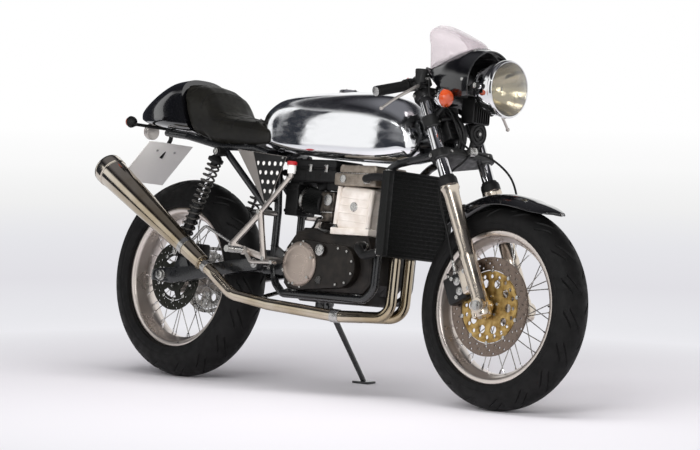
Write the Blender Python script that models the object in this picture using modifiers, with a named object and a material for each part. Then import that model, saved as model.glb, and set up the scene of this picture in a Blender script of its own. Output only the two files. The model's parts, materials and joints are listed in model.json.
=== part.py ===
"""A cafe racer motorcycle, leaning to its left on its side stand.

Lengths are in metres and angles in degrees. The machine's own frame has X forward from the rear axle,
Y to the machine's left and Z up from the floor line in its own middle plane. Everything is modelled
upright in that frame, hangs on one empty that leans it over, and is at last set down with the middle
of its box's underside at the origin.
"""
import math

import bmesh
import bpy
from mathutils import Matrix, Vector

# Driving dimensions of the whole machine
LEAN = 7.5
WHEELBASE = 1.380
RAKE = 26.0
FORK_OFFSET = 0.045
STEPS = 32
GAP = 0.0003
RUNNING_GAP = 0.0015
BORE_GAP = 0.001

# Wheels and tyres
FRONT_TYRE_RADIUS = 0.3105
FRONT_TYRE_WIDTH = 0.120
REAR_TYRE_RADIUS = 0.3285
REAR_TYRE_WIDTH = 0.144
FLANGE_RADIUS = 0.2325
BEAD_RADIUS = FLANGE_RADIUS - 0.0145
RIM_INNER_RADIUS = FLANGE_RADIUS - 0.0335
RIM_LIP = 0.006
FRONT_RIM_HALF = 0.047
REAR_RIM_HALF = 0.055
SPOKE_COUNT = 36
SPOKE_RADIUS = 0.0026
SPOKE_SWEEP = 52.0
AXLE_RADIUS = 0.0085
HUB_RADIUS = 0.027
HUB_FLANGE_RADIUS = 0.052
HUB_FLANGE_HALF = 0.036
HUB_FLANGE_THICK = 0.011
HUB_BOSS_RADIUS = 0.040
DISC_THICK = 0.005
FRONT_DISC_RADIUS = 0.150
FRONT_DISC_INNER = 0.108
FRONT_DISC_Y = 0.063
REAR_DISC_RADIUS = 0.112
REAR_DISC_INNER = 0.078
REAR_DISC_Y = 0.066
SPROCKET_RADIUS = 0.098
SPROCKET_Y = 0.088
SPROCKET_THICK = 0.006

# Fork, yokes and bars
LEG_Y = 0.100
SLIDER_RADIUS = 0.027
STANCHION_RADIUS = 0.0205
SLIDER_TOP = 0.415
SLIDER_FOOT = -0.034
LEG_TOP = 0.768
YOKE_THICK = 0.024
LOWER_YOKE_AT = 0.500
TOP_YOKE_AT = 0.701
CLAMP_RADIUS = 0.033
STEM_RADIUS = 0.0150
HEADSTOCK_RADIUS = 0.032
BAR_AT = 0.744
BAR_RADIUS = 0.011
BAR_END_Y = 0.275
BAR_DROOP = 15.0
BAR_SWEEP = 8.0
GRIP_RADIUS = 0.0165
GRIP_START_Y = 0.158
CALIPER_FRONT = -0.048
CALIPER_MIDDLE = 0.094
CALIPER_LENGTH = 0.078
CALIPER_HEIGHT = 0.086
CALIPER_OUTER_Y = 0.096
CALIPER_INNER_Y = 0.0375
PAD_GAP = 0.005
CALIPER_TOP = CALIPER_MIDDLE + CALIPER_HEIGHT / 2
LUG_MIDDLE = CALIPER_FRONT + 0.030 + GAP
LUG_TOP = CALIPER_MIDDLE + 0.040
HOSE_RADIUS = 0.0035

# Headlamp, its bracket and the indicators; distances forward are from the front axle
LAMP_CENTRE = (WHEELBASE - 0.062, 0.975)
LAMP_RADIUS = 0.089
LAMP_LUG_BACK = 0.045
BRACKET_AT = 0.610
BRACKET_BOSS = 0.0065
BRACKET_Y = 0.093
COWL_STUB = (WHEELBASE - 0.138, 0.967, 0.1057)
BRACKET_BEND = (WHEELBASE - 0.200, 0.938)
INDICATOR_AT = (WHEELBASE - 0.186, 0.140, 0.930)
INDICATOR_RADIUS = 0.029
HORN_RADIUS = 0.038
HORN_Y = 0.034
BOX_LENGTH = 0.058
BOX_WIDTH = 0.078
BOX_Y = 0.030
BOX_HEIGHT = 0.078
COWL_SECTIONS = (
    # distance ahead of the front axle, half width, low, high
    (-0.303, 0.106, 1.026, 1.068), (-0.262, 0.112, 0.985, 1.080), (-0.225, 0.116, 0.955, 1.091),
    (-0.180, 0.117, 0.940, 1.097), (-0.150, 0.114, 0.940, 1.094), (-0.128, 0.110, 0.945, 1.089),
)
SCREEN_LEVELS = (
    # height, middle ahead of the front axle, length, half width
    (1.076, -0.278, 0.122, 0.093), (1.0985, -0.286, 0.118, 0.092), (1.118, -0.297, 0.108, 0.089),
    (1.138, -0.312, 0.080, 0.079), (1.156, -0.322, 0.046, 0.058), (1.168, -0.328, 0.020, 0.030),
)

# Frame, swingarm and rear springs
FRAME_TUBE = 0.0125
BACKBONE_TUBE = 0.022
BACKBONE_Z = 0.800
CRADLE_FLOOR = 0.3005
SIDE_TUBE_Y = 0.080
PIVOT_TUBE_Y = 0.055
PIVOT_X = 0.430
PIVOT_Z = 0.390
ARM_Y = 0.117
ARM_HALF_WIDTH = 0.014
SHOCK_Y = 0.124
SHOCK_TOP = (0.215, 0.745)
SHOCK_FOOT = (0.065, 0.410)
COIL_RADIUS = 0.0250
COIL_WIRE = 0.0050
COIL_TURNS = 7
COIL_STEPS = 6
HEADSTOCK_FLOOR = LOWER_YOKE_AT + YOKE_THICK / 2 + GAP
HEADSTOCK_ROOF = TOP_YOKE_AT - YOKE_THICK / 2 - GAP
BACKBONE_END = 0.400
CROSS_TUBE_RADIUS = 0.016
CROSS_TUBE_Z = 0.746
RAIL_Y = 0.095
RAIL_TUBE = 0.011
PIVOT_PIN = 0.008
CHAIN_THICK = 0.014
CHAIN_DEPTH = 0.012
GEARBOX_AT = (0.535, 0.398)
GEARBOX_SPROCKET = 0.034
HANGER_Y = 0.142
HANGER_THICK = 0.008
RESERVOIR_X = 0.572
RESERVOIR_FLOOR = 0.681

# Engine
CASE_HALF = 0.078
CASE_FLOOR = 0.317
CLUTCH_AT = (0.612, 0.398)
CLUTCH_RADIUS = 0.072
CRANK_AT = (0.785, 0.398)
BARREL_FLOOR = 0.500
HEAD_FLOOR = 0.655
HEAD_ROOF = 0.722
INTAKE_X = 0.708
INTAKE_Z = 0.598
HEADER_RADIUS = 0.0175
PIPE_RADIUS = 0.019
HEAD_HALF = 0.083
HEADER_Y = 0.034
HEADER_PORT_Z = 0.677
SILENCER_REAR = Vector((-0.250, -0.190, 0.675))
SILENCER_FRONT = Vector((0.255, -0.190, 0.376))
SILENCER_LINE = (SILENCER_REAR - SILENCER_FRONT).normalized()
SILENCER_RADIUS = 0.0525
AIRBOX_REAR = 0.470
AIRBOX_FRONT = 0.692
AIRBOX_HALF = 0.066
AIRBOX_FLOOR = 0.664
AIRBOX_ROOF = 0.736

# Bodywork
TANK_TUNNEL_HALF = 0.045
TANK_TUNNEL_ROOF = 0.836
SHEET_METAL = 0.004
MUDGUARD_RADIUS = 0.345
TANK_SECTIONS = (
    # x, half width, low, high, squareness of the underside
    (0.335, 0.042, 0.790, 0.862, 3.2), (0.346, 0.064, 0.776, 0.886, 3.2), (0.376, 0.088, 0.766, 0.911, 3.5),
    (0.440, 0.110, 0.758, 0.937, 4.5), (0.560, 0.129, 0.747, 0.951, 5.5), (0.720, 0.134, 0.741, 0.959, 5.5),
    (0.850, 0.127, 0.738, 0.956, 5.5), (0.930, 0.112, 0.739, 0.938, 4.2), (0.972, 0.098, 0.744, 0.908, 3.2),
    (1.000, 0.082, 0.750, 0.868, 3.2), (1.018, 0.060, 0.768, 0.832, 3.2),
)
CAP_X = 0.660
CAP_ROOF = 0.968
CAP_RADIUS = 0.032
SEAT_GAP = 0.002
SEAT_SECTIONS = (
    # x at the lower edge, slant, half width, low, high
    (0.424, 0.00, 0.116, 0.778, 0.836), (0.406, 0.00, 0.121, 0.7745, 0.846), (0.340, 0.00, 0.124, 0.7745, 0.853),
    (0.240, 0.00, 0.126, 0.7745, 0.862), (0.180, 0.02, 0.128, 0.778, 0.872), (0.152, 0.06, 0.128, 0.782, 0.882),
    (0.141, 0.15, 0.128, 0.786, 0.908), (0.131, 0.18, 0.128, 0.790, 0.940), (0.112, 0.26, 0.127, 0.796, 0.963),
    (0.060, 0.42, 0.125, 0.806, 0.988),
)
TAIL_SECTIONS = (
    # x at the lower edge, slant, half width, low, high
    (0.0596, 0.42, 0.126, 0.8061, 0.991), (-0.010, 0.42, 0.123, 0.812, 0.981), (-0.080, 0.38, 0.112, 0.819, 0.959),
    (-0.150, 0.30, 0.093, 0.827, 0.933), (-0.215, 0.22, 0.066, 0.837, 0.907), (-0.270, 0.12, 0.032, 0.850, 0.886),
    (-0.290, 0.10, 0.012, 0.858, 0.879),
)
TAIL_BAR_Z = 0.8258
PLATE_STEM_TOP = 0.8265
TAIL_LAMP_Z = 0.8155
PANEL_Y = 0.1085
PANEL_OUTLINE = [(0.285, 0.757), (0.512, 0.738), (0.448, 0.585), (0.436, 0.578)]
STAND_PIVOT = (0.535, 0.119, 0.280)
STAND_FOOT_X = 0.590
STAND_FOOT_Y = 0.265

# Colours and surfaces: sRGB red, green and blue, roughness, metallic
BLACK_PAINT = (0.02, 0.02, 0.025, 0.20, 0.0)
DARK_STEEL = (0.06, 0.06, 0.06, 0.45, 0.6)
POLISHED_ALUMINIUM = (0.80, 0.81, 0.83, 0.18, 1.0)
CAST_ALUMINIUM = (0.72, 0.70, 0.67, 0.45, 0.9)
CHROME = (0.86, 0.86, 0.87, 0.07, 1.0)
GOLD_ALUMINIUM = (0.62, 0.48, 0.24, 0.35, 0.9)
TYRE_RUBBER = (0.03, 0.03, 0.03, 0.80, 0.0)
BLACK_RUBBER = (0.02, 0.02, 0.02, 0.60, 0.0)
BLACK_LEATHER = (0.05, 0.05, 0.045, 0.50, 0.0)
SMOKED_PLASTIC = (0.35, 0.33, 0.34, 0.10, 0.0)
ORANGE_PLASTIC = (0.85, 0.25, 0.06, 0.20, 0.0)
RED_PLASTIC = (0.60, 0.05, 0.06, 0.30, 0.0)
PALE_PLASTIC = (0.80, 0.79, 0.77, 0.45, 0.0)

LEAN_ANGLE = math.radians(LEAN)
RAKE_ANGLE = math.radians(RAKE)


def axle_height(radius, width):
    """Height of an axle in the leaning frame, so that the round crown just meets the floor."""
    crown = width / 2
    return radius - crown + crown / math.cos(LEAN_ANGLE)


FRONT_AXLE = Vector((WHEELBASE, 0, axle_height(FRONT_TYRE_RADIUS, FRONT_TYRE_WIDTH)))
REAR_AXLE = Vector((0, 0, axle_height(REAR_TYRE_RADIUS, REAR_TYRE_WIDTH)))

# The fork's frame: origin on the front axle, Z up along the legs, X square to them and forward
FORK_FRAME = Matrix.Translation(FRONT_AXLE) @ Matrix.Rotation(-RAKE_ANGLE, 4, "Y")
STEERING_FRAME = FORK_FRAME @ Matrix.Translation((-FORK_OFFSET, 0, 0))

# A flat outline's frame: its X along the machine, its Y upward, its thickness across the machine
SIDE_VIEW = Matrix.Rotation(math.radians(90), 4, "X")

for old in list(bpy.data.objects):
    bpy.data.objects.remove(old, do_unlink=True)

parts = bpy.data.collections.new("cafe_racer_motorcycle")
workshop = bpy.data.collections.new("workshop")
bpy.context.scene.collection.children.link(parts)
bpy.context.scene.collection.children.link(workshop)


def fork_point(forward, left, up):
    """A point of the fork's frame, in the machine's frame."""
    return FORK_FRAME @ Vector((forward, left, up))


def from_mesh(bm):
    """A workshop object made from a bmesh, which is freed."""
    bmesh.ops.recalc_face_normals(bm, faces=bm.faces)
    mesh = bpy.data.meshes.new("piece")
    bm.to_mesh(mesh)
    bm.free()
    piece = bpy.data.objects.new("piece", mesh)
    workshop.objects.link(piece)
    return piece


def baked(piece):
    """A plain welded mesh object in place of a curve or of an object with modifiers."""
    bpy.context.view_layer.update()
    graph = bpy.context.evaluated_depsgraph_get()
    mesh = bpy.data.meshes.new_from_object(piece.evaluated_get(graph))
    mesh.transform(piece.matrix_world)
    bm = bmesh.new()
    bm.from_mesh(mesh)
    bmesh.ops.remove_doubles(bm, verts=bm.verts, dist=0.00002)
    bpy.data.objects.remove(piece, do_unlink=True)
    bpy.data.meshes.remove(mesh)
    return from_mesh(bm)


def along(start, end):
    """The matrix that puts a shape along local Z midway between two points."""
    start = Vector(start)
    end = Vector(end)
    turn = (end - start).to_track_quat("Z", "Y").to_matrix().to_4x4()
    return Matrix.Translation((start + end) / 2) @ turn


def block(size, at, turn=Matrix(), bevel=0.0):
    """A box with its middle at a point, turned by a matrix, its edges chamfered by the bevel."""
    bm = bmesh.new()
    bmesh.ops.create_cube(bm, size=1.0, matrix=Matrix.Diagonal((*size, 1)))
    if bevel:
        bmesh.ops.bevel(bm, geom=bm.edges[:], offset=bevel, segments=2, profile=0.5, affect="EDGES")
    bmesh.ops.transform(bm, matrix=Matrix.Translation(at) @ turn, verts=bm.verts)
    return from_mesh(bm)


def rod(start, end, radius, end_radius=None, sides=10):
    """A round bar or cone between two points."""
    bm = bmesh.new()
    length = (Vector(end) - Vector(start)).length
    bmesh.ops.create_cone(
        bm, cap_ends=True, segments=sides, depth=length, radius1=radius,
        radius2=radius if end_radius is None else end_radius, matrix=along(start, end))
    return from_mesh(bm)


def ball(at, radius, sides=10):
    """A sphere about a point."""
    bm = bmesh.new()
    bmesh.ops.create_uvsphere(bm, u_segments=sides, v_segments=sides // 2, radius=radius,
                              matrix=Matrix.Translation(at))
    return from_mesh(bm)


def turned(profile, place, closed=True, steps=STEPS):
    """A profile of (radius, height) points turned about local Z, then put in place by a matrix."""
    bm = bmesh.new()
    points = [bm.verts.new((radius, 0, height)) for radius, height in profile]
    for first, second in zip(points, points[1:]):
        bm.edges.new((first, second))
    if closed:
        bm.edges.new((points[-1], points[0]))
    mesh = bpy.data.meshes.new("profile")
    bm.to_mesh(mesh)
    bm.free()
    piece = bpy.data.objects.new("profile", mesh)
    workshop.objects.link(piece)
    screw = piece.modifiers.new("turn", "SCREW")
    screw.steps = screw.render_steps = steps
    screw.use_merge_vertices = True
    screw.merge_threshold = 0.00005
    piece.matrix_world = place
    return baked(piece)


def across(at):
    """The matrix that lays a turned shape's axis across the machine, its height to the left."""
    return Matrix.Translation(at) @ Matrix.Rotation(math.radians(-90), 4, "X")


def facing_forward(at):
    """The matrix that lays a turned shape's axis along the machine, its height forward."""
    return Matrix.Translation(at) @ Matrix.Rotation(math.radians(90), 4, "Y")


def rounded(points, bend, steps=3):
    """A route whose inner corners are arcs of one radius."""
    points = [Vector(point) for point in points]
    route = [points[0]]
    for before, corner, after in zip(points, points[1:], points[2:]):
        back = (before - corner).normalized()
        ahead = (after - corner).normalized()
        half = back.angle(ahead) / 2
        reach = min(bend / math.tan(half), 0.48 * (before - corner).length, 0.48 * (after - corner).length)
        radius = reach * math.tan(half)
        middle = corner + (back + ahead).normalized() * radius / math.sin(half)
        first = (corner + back * reach - middle).normalized()
        last = (corner + ahead * reach - middle).normalized()
        route += [middle + first.slerp(last, step / steps) * radius for step in range(steps + 1)]
    return route + [points[-1]]


def flowing(points, count):
    """Points evenly spread on a smooth curve through a route's own points."""
    points = [Vector(point) for point in points]
    padded = [2 * points[0] - points[1], *points, 2 * points[-1] - points[-2]]
    spans = len(points) - 1
    route = []
    for step in range(count + 1):
        place = min(step * spans / count, spans - 1e-9)
        span = int(place)
        share = place - span
        a, b, c, d = padded[span:span + 4]
        route.append(((2 * b) + (c - a) * share + (2 * a - 5 * b + 4 * c - d) * share ** 2
                      + (3 * b - a - 3 * c + d) * share ** 3) / 2)
    return route


def tube(route, radius, resolution=1):
    """A round tube along a route of points."""
    curve = bpy.data.curves.new("tube", "CURVE")
    curve.dimensions = "3D"
    curve.bevel_depth = radius
    curve.bevel_resolution = resolution
    curve.use_fill_caps = True
    spline = curve.splines.new("POLY")
    spline.points.add(len(route) - 1)
    for point, place in zip(spline.points, route):
        point.co = (*place, 1)
    piece = bpy.data.objects.new("tube", curve)
    workshop.objects.link(piece)
    return baked(piece)


def sheet(outlines, thickness, place):
    """A flat plate: the first outline is its edge, the others are holes, and it is put in place."""
    curve = bpy.data.curves.new("sheet", "CURVE")
    curve.dimensions = "2D"
    curve.fill_mode = "BOTH"
    curve.extrude = thickness / 2
    for outline in outlines:
        spline = curve.splines.new("POLY")
        spline.points.add(len(outline) - 1)
        spline.use_cyclic_u = True
        for point, (x, y) in zip(spline.points, outline):
            point.co = (x, y, 0, 1)
    piece = bpy.data.objects.new("sheet", curve)
    workshop.objects.link(piece)
    piece.matrix_world = place
    return baked(piece)


def arc(centre, radius, start, end, steps):
    """Points of an arc in a flat outline, from one angle to another."""
    return [(centre[0] + radius * math.cos(math.radians(start + (end - start) * step / steps)),
             centre[1] + radius * math.sin(math.radians(start + (end - start) * step / steps)))
            for step in range(steps + 1)]


def circle(centre, radius, steps):
    """Points of a whole circle in a flat outline."""
    return arc(centre, radius, 0, 360 - 360 / steps, steps - 1)


def capsule(first, first_radius, second, second_radius, steps):
    """An outline round two circles and along the straight lines that touch both."""
    reach = Vector(second) - Vector(first)
    heading = math.degrees(math.atan2(reach.y, reach.x))
    opening = math.degrees(math.acos((first_radius - second_radius) / reach.length))
    return (arc(second, second_radius, heading - opening, heading + opening, steps)
            + arc(first, first_radius, heading + opening, heading + 360 - opening, steps))


def rounded_outline(corners, radius, steps):
    """The outline at one distance outside a convex outline whose corners run anticlockwise."""
    outline = []
    for before, corner, after in zip(corners[-1:] + corners[:-1], corners, corners[1:] + corners[:1]):
        arriving = math.degrees(math.atan2(corner[1] - before[1], corner[0] - before[0])) - 90
        leaving = math.degrees(math.atan2(after[1] - corner[1], after[0] - corner[0])) - 90
        outline += arc(corner, radius, arriving, arriving + (leaving - arriving) % 360, steps)
    return outline


def loft(rings):
    """A solid skinned over closed rings of equally many points, with flat ends."""
    bm = bmesh.new()
    rows = [[bm.verts.new(point) for point in ring] for ring in rings]
    for row, following in zip(rows, rows[1:]):
        for index in range(len(row)):
            onward = (index + 1) % len(row)
            bm.faces.new((row[index], row[onward], following[onward], following[index]))
    bm.faces.new(rows[0])
    bm.faces.new(rows[-1])
    return from_mesh(bm)


def shell(rows, thickness):
    """A sheet of some thickness laid outside a grid of points."""
    bm = bmesh.new()
    grid = [[bm.verts.new(point) for point in row] for row in rows]
    for row, following in zip(grid, grid[1:]):
        for index in range(len(row) - 1):
            bm.faces.new((row[index], row[index + 1], following[index + 1], following[index]))
    piece = from_mesh(bm)
    solidify = piece.modifiers.new("thickness", "SOLIDIFY")
    solidify.thickness = thickness
    solidify.offset = 0
    solidify.use_even_offset = True
    return baked(piece)


def combined(target, others, operation):
    """The union of a solid with others, or what is left of it when they are cut away."""
    tools = bpy.data.collections.new("tools")
    bpy.context.scene.collection.children.link(tools)
    for other in others:
        workshop.objects.unlink(other)
        tools.objects.link(other)
        other.hide_render = True
        other.display_type = "WIRE"
    boolean = target.modifiers.new("combine", "BOOLEAN")
    boolean.operation = operation
    boolean.solver = "EXACT"
    boolean.operand_type = "COLLECTION"
    boolean.collection = tools
    result = baked(target)
    for other in others:
        bpy.data.objects.remove(other, do_unlink=True)
    bpy.data.collections.remove(tools)
    return result


def joined(*pieces):
    return combined(pieces[0], pieces[1:], "UNION")


def cut(piece, *cutters):
    return combined(piece, cutters, "DIFFERENCE")


def material(name, paint):
    """A material of its own for one sub-part."""
    red, green, blue, roughness, metallic = paint
    surface = bpy.data.materials.new(name)
    surface.use_nodes = True
    shader = surface.node_tree.nodes["Principled BSDF"]
    linear = [((value + 0.055) / 1.055) ** 2.4 if value > 0.04 else value / 12.92
              for value in (red, green, blue)]
    shader.inputs["Base Color"].default_value = (*linear, 1)
    shader.inputs["Roughness"].default_value = roughness
    shader.inputs["Metallic"].default_value = metallic
    return surface


def empty(name, place, parent=None):
    """An empty at a place in the machine's frame, carried by another empty."""
    holder = bpy.data.objects.new(name, None)
    parts.objects.link(holder)
    holder.parent = parent
    holder.matrix_local = parent_place(parent).inverted() @ place
    holder["place"] = [value for row in place for value in row]
    return holder


def parent_place(holder):
    """Where an empty stands in the machine's frame."""
    if holder is None or "place" not in holder:
        return Matrix()
    values = list(holder["place"])
    return Matrix([values[0:4], values[4:8], values[8:12], values[12:16]])


def finish(piece, name, paint, holder=None):
    """Names and paints a piece and hangs it on an empty, on whose axis it then turns."""
    holder = holder or machine
    piece.name = name
    piece.data.name = name
    piece.data.transform(parent_place(holder).inverted())
    piece.data.materials.append(material(name, paint))
    piece.data.shade_smooth()
    piece.data.set_sharp_from_angle(angle=math.radians(32))
    piece.parent = holder
    workshop.objects.unlink(piece)
    parts.objects.link(piece)
    return piece


machine = bpy.data.objects.new("machine", None)
parts.objects.link(machine)
machine.rotation_euler = (-LEAN_ANGLE, 0, 0)
steering = empty("steering", STEERING_FRAME, machine)
front_spin = empty("front_wheel_axis", Matrix.Translation(FRONT_AXLE), steering)
rear_spin = empty("rear_wheel_axis", Matrix.Translation(REAR_AXLE), machine)


# Wheels

def tyre(radius, width, rim_half, axle):
    """A tyre: a round crown that has a point where it meets the floor, and beads inside the rim."""
    crown = width / 2
    last = math.degrees(math.acos((FLANGE_RADIUS + 0.004 - radius + crown) / crown))
    right = [(radius - crown + crown * math.cos(math.radians(LEAN + (last - LEAN) * step / 4)),
              crown * math.sin(math.radians(LEAN + (last - LEAN) * step / 4))) for step in range(5)]
    bead = rim_half - RIM_LIP - GAP
    right += [(FLANGE_RADIUS + GAP, right[-1][1] - 0.006), (FLANGE_RADIUS + GAP, bead), (BEAD_RADIUS + GAP, bead)]
    left = [(distance, -height) for distance, height in reversed(right)]
    return turned(left + right, across(axle))


def spoke(index, axle):
    """One spoke from a hub flange, at a slant, to the middle of the rim."""
    side = 1 if index % 2 else -1
    lead = 1 if index // 2 % 2 else -1
    outer = math.radians(360 / SPOKE_COUNT * index)
    inner = outer + math.radians(SPOKE_SWEEP) * lead
    flange = HUB_FLANGE_RADIUS - 0.006
    hub_end = axle + Vector((flange * math.cos(inner), side * (HUB_FLANGE_HALF + 0.0032 * lead),
                             flange * math.sin(inner)))
    rim = RIM_INNER_RADIUS + 0.006
    rim_end = axle + Vector((rim * math.cos(outer), side * 0.009, rim * math.sin(outer)))
    return rod(hub_end, rim_end, SPOKE_RADIUS, sides=3)


def hub(axle, left_boss, right_boss):
    """A hub with two spoke flanges, and bosses that carry the discs or sprocket at either end."""
    inner = HUB_FLANGE_HALF - HUB_FLANGE_THICK / 2
    outer = HUB_FLANGE_HALF + HUB_FLANGE_THICK / 2
    bore = AXLE_RADIUS + BORE_GAP
    profile = [(bore, left_boss), (HUB_BOSS_RADIUS, left_boss), (HUB_BOSS_RADIUS, outer),
               (HUB_FLANGE_RADIUS, outer), (HUB_FLANGE_RADIUS, inner), (HUB_RADIUS, inner),
               (HUB_RADIUS, -inner), (HUB_FLANGE_RADIUS, -inner), (HUB_FLANGE_RADIUS, -outer),
               (HUB_BOSS_RADIUS, -outer), (HUB_BOSS_RADIUS, -right_boss), (bore, -right_boss)]
    return turned(profile, across(axle), steps=12)


def spoked_rim(rim_half, axle, left_boss, right_boss):
    """A rim, its spokes and its hub as one built wheel."""
    half = [(RIM_INNER_RADIUS, 0.022), (BEAD_RADIUS - 0.006, rim_half), (FLANGE_RADIUS, rim_half),
            (FLANGE_RADIUS, rim_half - RIM_LIP), (BEAD_RADIUS, rim_half - RIM_LIP)]
    other = [(distance, -height) for distance, height in reversed(half)]
    rim = turned(half + other, across(axle))
    spokes = [spoke(index, axle) for index in range(SPOKE_COUNT)]
    return joined(rim, hub(axle, left_boss, right_boss), *spokes)


def disc(radius, inner, windows, y, thickness, axle):
    """A brake disc or sprocket on a carrier with windows, flat across the machine."""
    hole_reach = inner - 0.006
    holes = []
    for index in range(windows):
        start = 360 / windows * index + 9
        end = 360 / windows * (index + 1) - 9
        holes.append(arc((0, 0), hole_reach, start, end, 3)
                     + list(reversed(arc((0, 0), HUB_BOSS_RADIUS + 0.008, start + 6, end - 6, 1))))
    outlines = [circle((0, 0), radius, STEPS), circle((0, 0), AXLE_RADIUS + BORE_GAP, 16), *holes]
    return sheet(outlines, thickness, Matrix.Translation(axle + Vector((0, y, 0))) @ SIDE_VIEW)


def wheels():
    front_boss = FRONT_DISC_Y - DISC_THICK / 2 - GAP
    finish(tyre(FRONT_TYRE_RADIUS, FRONT_TYRE_WIDTH, FRONT_RIM_HALF, FRONT_AXLE), "front_tyre", TYRE_RUBBER,
           front_spin)
    finish(spoked_rim(FRONT_RIM_HALF, FRONT_AXLE, front_boss, front_boss), "front_spoked_rim",
           POLISHED_ALUMINIUM, front_spin)
    finish(disc(FRONT_DISC_RADIUS, FRONT_DISC_INNER, 6, -FRONT_DISC_Y, DISC_THICK, FRONT_AXLE), "front_brake_disc",
           GOLD_ALUMINIUM, front_spin)
    finish(tyre(REAR_TYRE_RADIUS, REAR_TYRE_WIDTH, REAR_RIM_HALF, REAR_AXLE), "rear_tyre", TYRE_RUBBER, rear_spin)
    finish(spoked_rim(REAR_RIM_HALF, REAR_AXLE, SPROCKET_Y - SPROCKET_THICK / 2 - GAP,
                      REAR_DISC_Y - DISC_THICK / 2 - GAP), "rear_spoked_rim", POLISHED_ALUMINIUM, rear_spin)
    finish(disc(REAR_DISC_RADIUS, REAR_DISC_INNER, 5, -REAR_DISC_Y, DISC_THICK, REAR_AXLE),
           "rear_brake_disc", DARK_STEEL, rear_spin)
    finish(disc(SPROCKET_RADIUS, REAR_DISC_INNER, 5, SPROCKET_Y, SPROCKET_THICK, REAR_AXLE),
           "rear_sprocket", DARK_STEEL, rear_spin)


# Front end

def fork_leg(sign):
    """One telescopic leg, with the axle's lug, the brake's lug and a dust seal on the slider."""
    y = sign * LEG_Y
    slider = rod(fork_point(0, y, SLIDER_FOOT), fork_point(0, y, SLIDER_TOP), SLIDER_RADIUS, sides=16)
    seal = rod(fork_point(0, y, SLIDER_TOP - 0.030), fork_point(0, y, SLIDER_TOP + 0.012),
               SLIDER_RADIUS + 0.004, SLIDER_RADIUS, sides=16)
    stanchion = rod(fork_point(0, y, SLIDER_TOP - 0.01), fork_point(0, y, LEG_TOP), STANCHION_RADIUS, sides=16)
    lug = block((0.060, 0.030, 0.080), fork_point(LUG_MIDDLE, y, CALIPER_MIDDLE),
                FORK_FRAME.to_3x3().to_4x4())
    leg = joined(slider, seal, stanchion, lug)
    return cut(leg, rod(FRONT_AXLE + Vector((0, sign * 0.05, 0)), FRONT_AXLE + Vector((0, sign * 0.15, 0)),
                        AXLE_RADIUS + GAP))


def yoke(height):
    """A fork yoke: a plate round both legs and the stem, without its holes for the legs."""
    outline = rounded_outline([(0, LEG_Y), (-FORK_OFFSET, 0), (0, -LEG_Y)], CLAMP_RADIUS, 4)
    return sheet([outline], YOKE_THICK, FORK_FRAME @ Matrix.Translation((0, 0, height)))


def yokes():
    stem = rod(fork_point(-FORK_OFFSET, 0, LOWER_YOKE_AT), fork_point(-FORK_OFFSET, 0, TOP_YOKE_AT + 0.024),
               STEM_RADIUS)
    both = joined(yoke(LOWER_YOKE_AT), yoke(TOP_YOKE_AT), stem)
    holes = [rod(fork_point(0, sign * LEG_Y, LOWER_YOKE_AT - 0.05), fork_point(0, sign * LEG_Y, LEG_TOP + 0.05),
                 STANCHION_RADIUS + GAP, sides=16) for sign in (1, -1)]
    finish(cut(both, *holes), "fork_yokes", DARK_STEEL, steering)


def bar_point(sign, y, forward=0.0, up=0.0):
    """A point along a clip-on bar, which droops and sweeps back from its leg."""
    reach = y - LEG_Y
    start = fork_point(0, sign * LEG_Y, BAR_AT)
    return start + Vector((forward - reach * math.tan(math.radians(BAR_SWEEP)), sign * reach,
                           up - reach * math.tan(math.radians(BAR_DROOP))))


def handlebar(sign):
    """A clip-on: its clamp round the leg, the bar, the grip, the switchgear and the lever."""
    clamp = rod(fork_point(0, sign * LEG_Y, BAR_AT - 0.014), fork_point(0, sign * LEG_Y, BAR_AT + 0.014),
                CLAMP_RADIUS, sides=16)
    bar = rod(bar_point(sign, LEG_Y + 0.024), bar_point(sign, BAR_END_Y - 0.004), BAR_RADIUS)
    grip = rod(bar_point(sign, GRIP_START_Y), bar_point(sign, BAR_END_Y), GRIP_RADIUS)
    switches = rod(bar_point(sign, GRIP_START_Y - 0.024), bar_point(sign, GRIP_START_Y - 0.002), 0.021)
    perch = rod(bar_point(sign, GRIP_START_Y - 0.015), bar_point(sign, GRIP_START_Y - 0.010, 0.045, 0.002), 0.009)
    lever = tube(flowing([bar_point(sign, GRIP_START_Y - 0.012, 0.042), bar_point(sign, 0.190, 0.062, -0.005),
                          bar_point(sign, 0.245, 0.061, -0.022), bar_point(sign, 0.298, 0.055, -0.048)], 6), 0.006)
    pieces = [bar, clamp, grip, switches, perch, lever]
    if sign < 0:
        pieces.append(rod(bar_point(sign, GRIP_START_Y - 0.020, 0.040, 0.004),
                          bar_point(sign, GRIP_START_Y - 0.020, 0.040, 0.046), 0.020))
    solid = joined(*pieces)
    return cut(solid, rod(fork_point(0, sign * LEG_Y, BAR_AT - 0.05), fork_point(0, sign * LEG_Y, LEG_TOP + 0.05),
                          STANCHION_RADIUS + GAP, sides=16))


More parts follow.
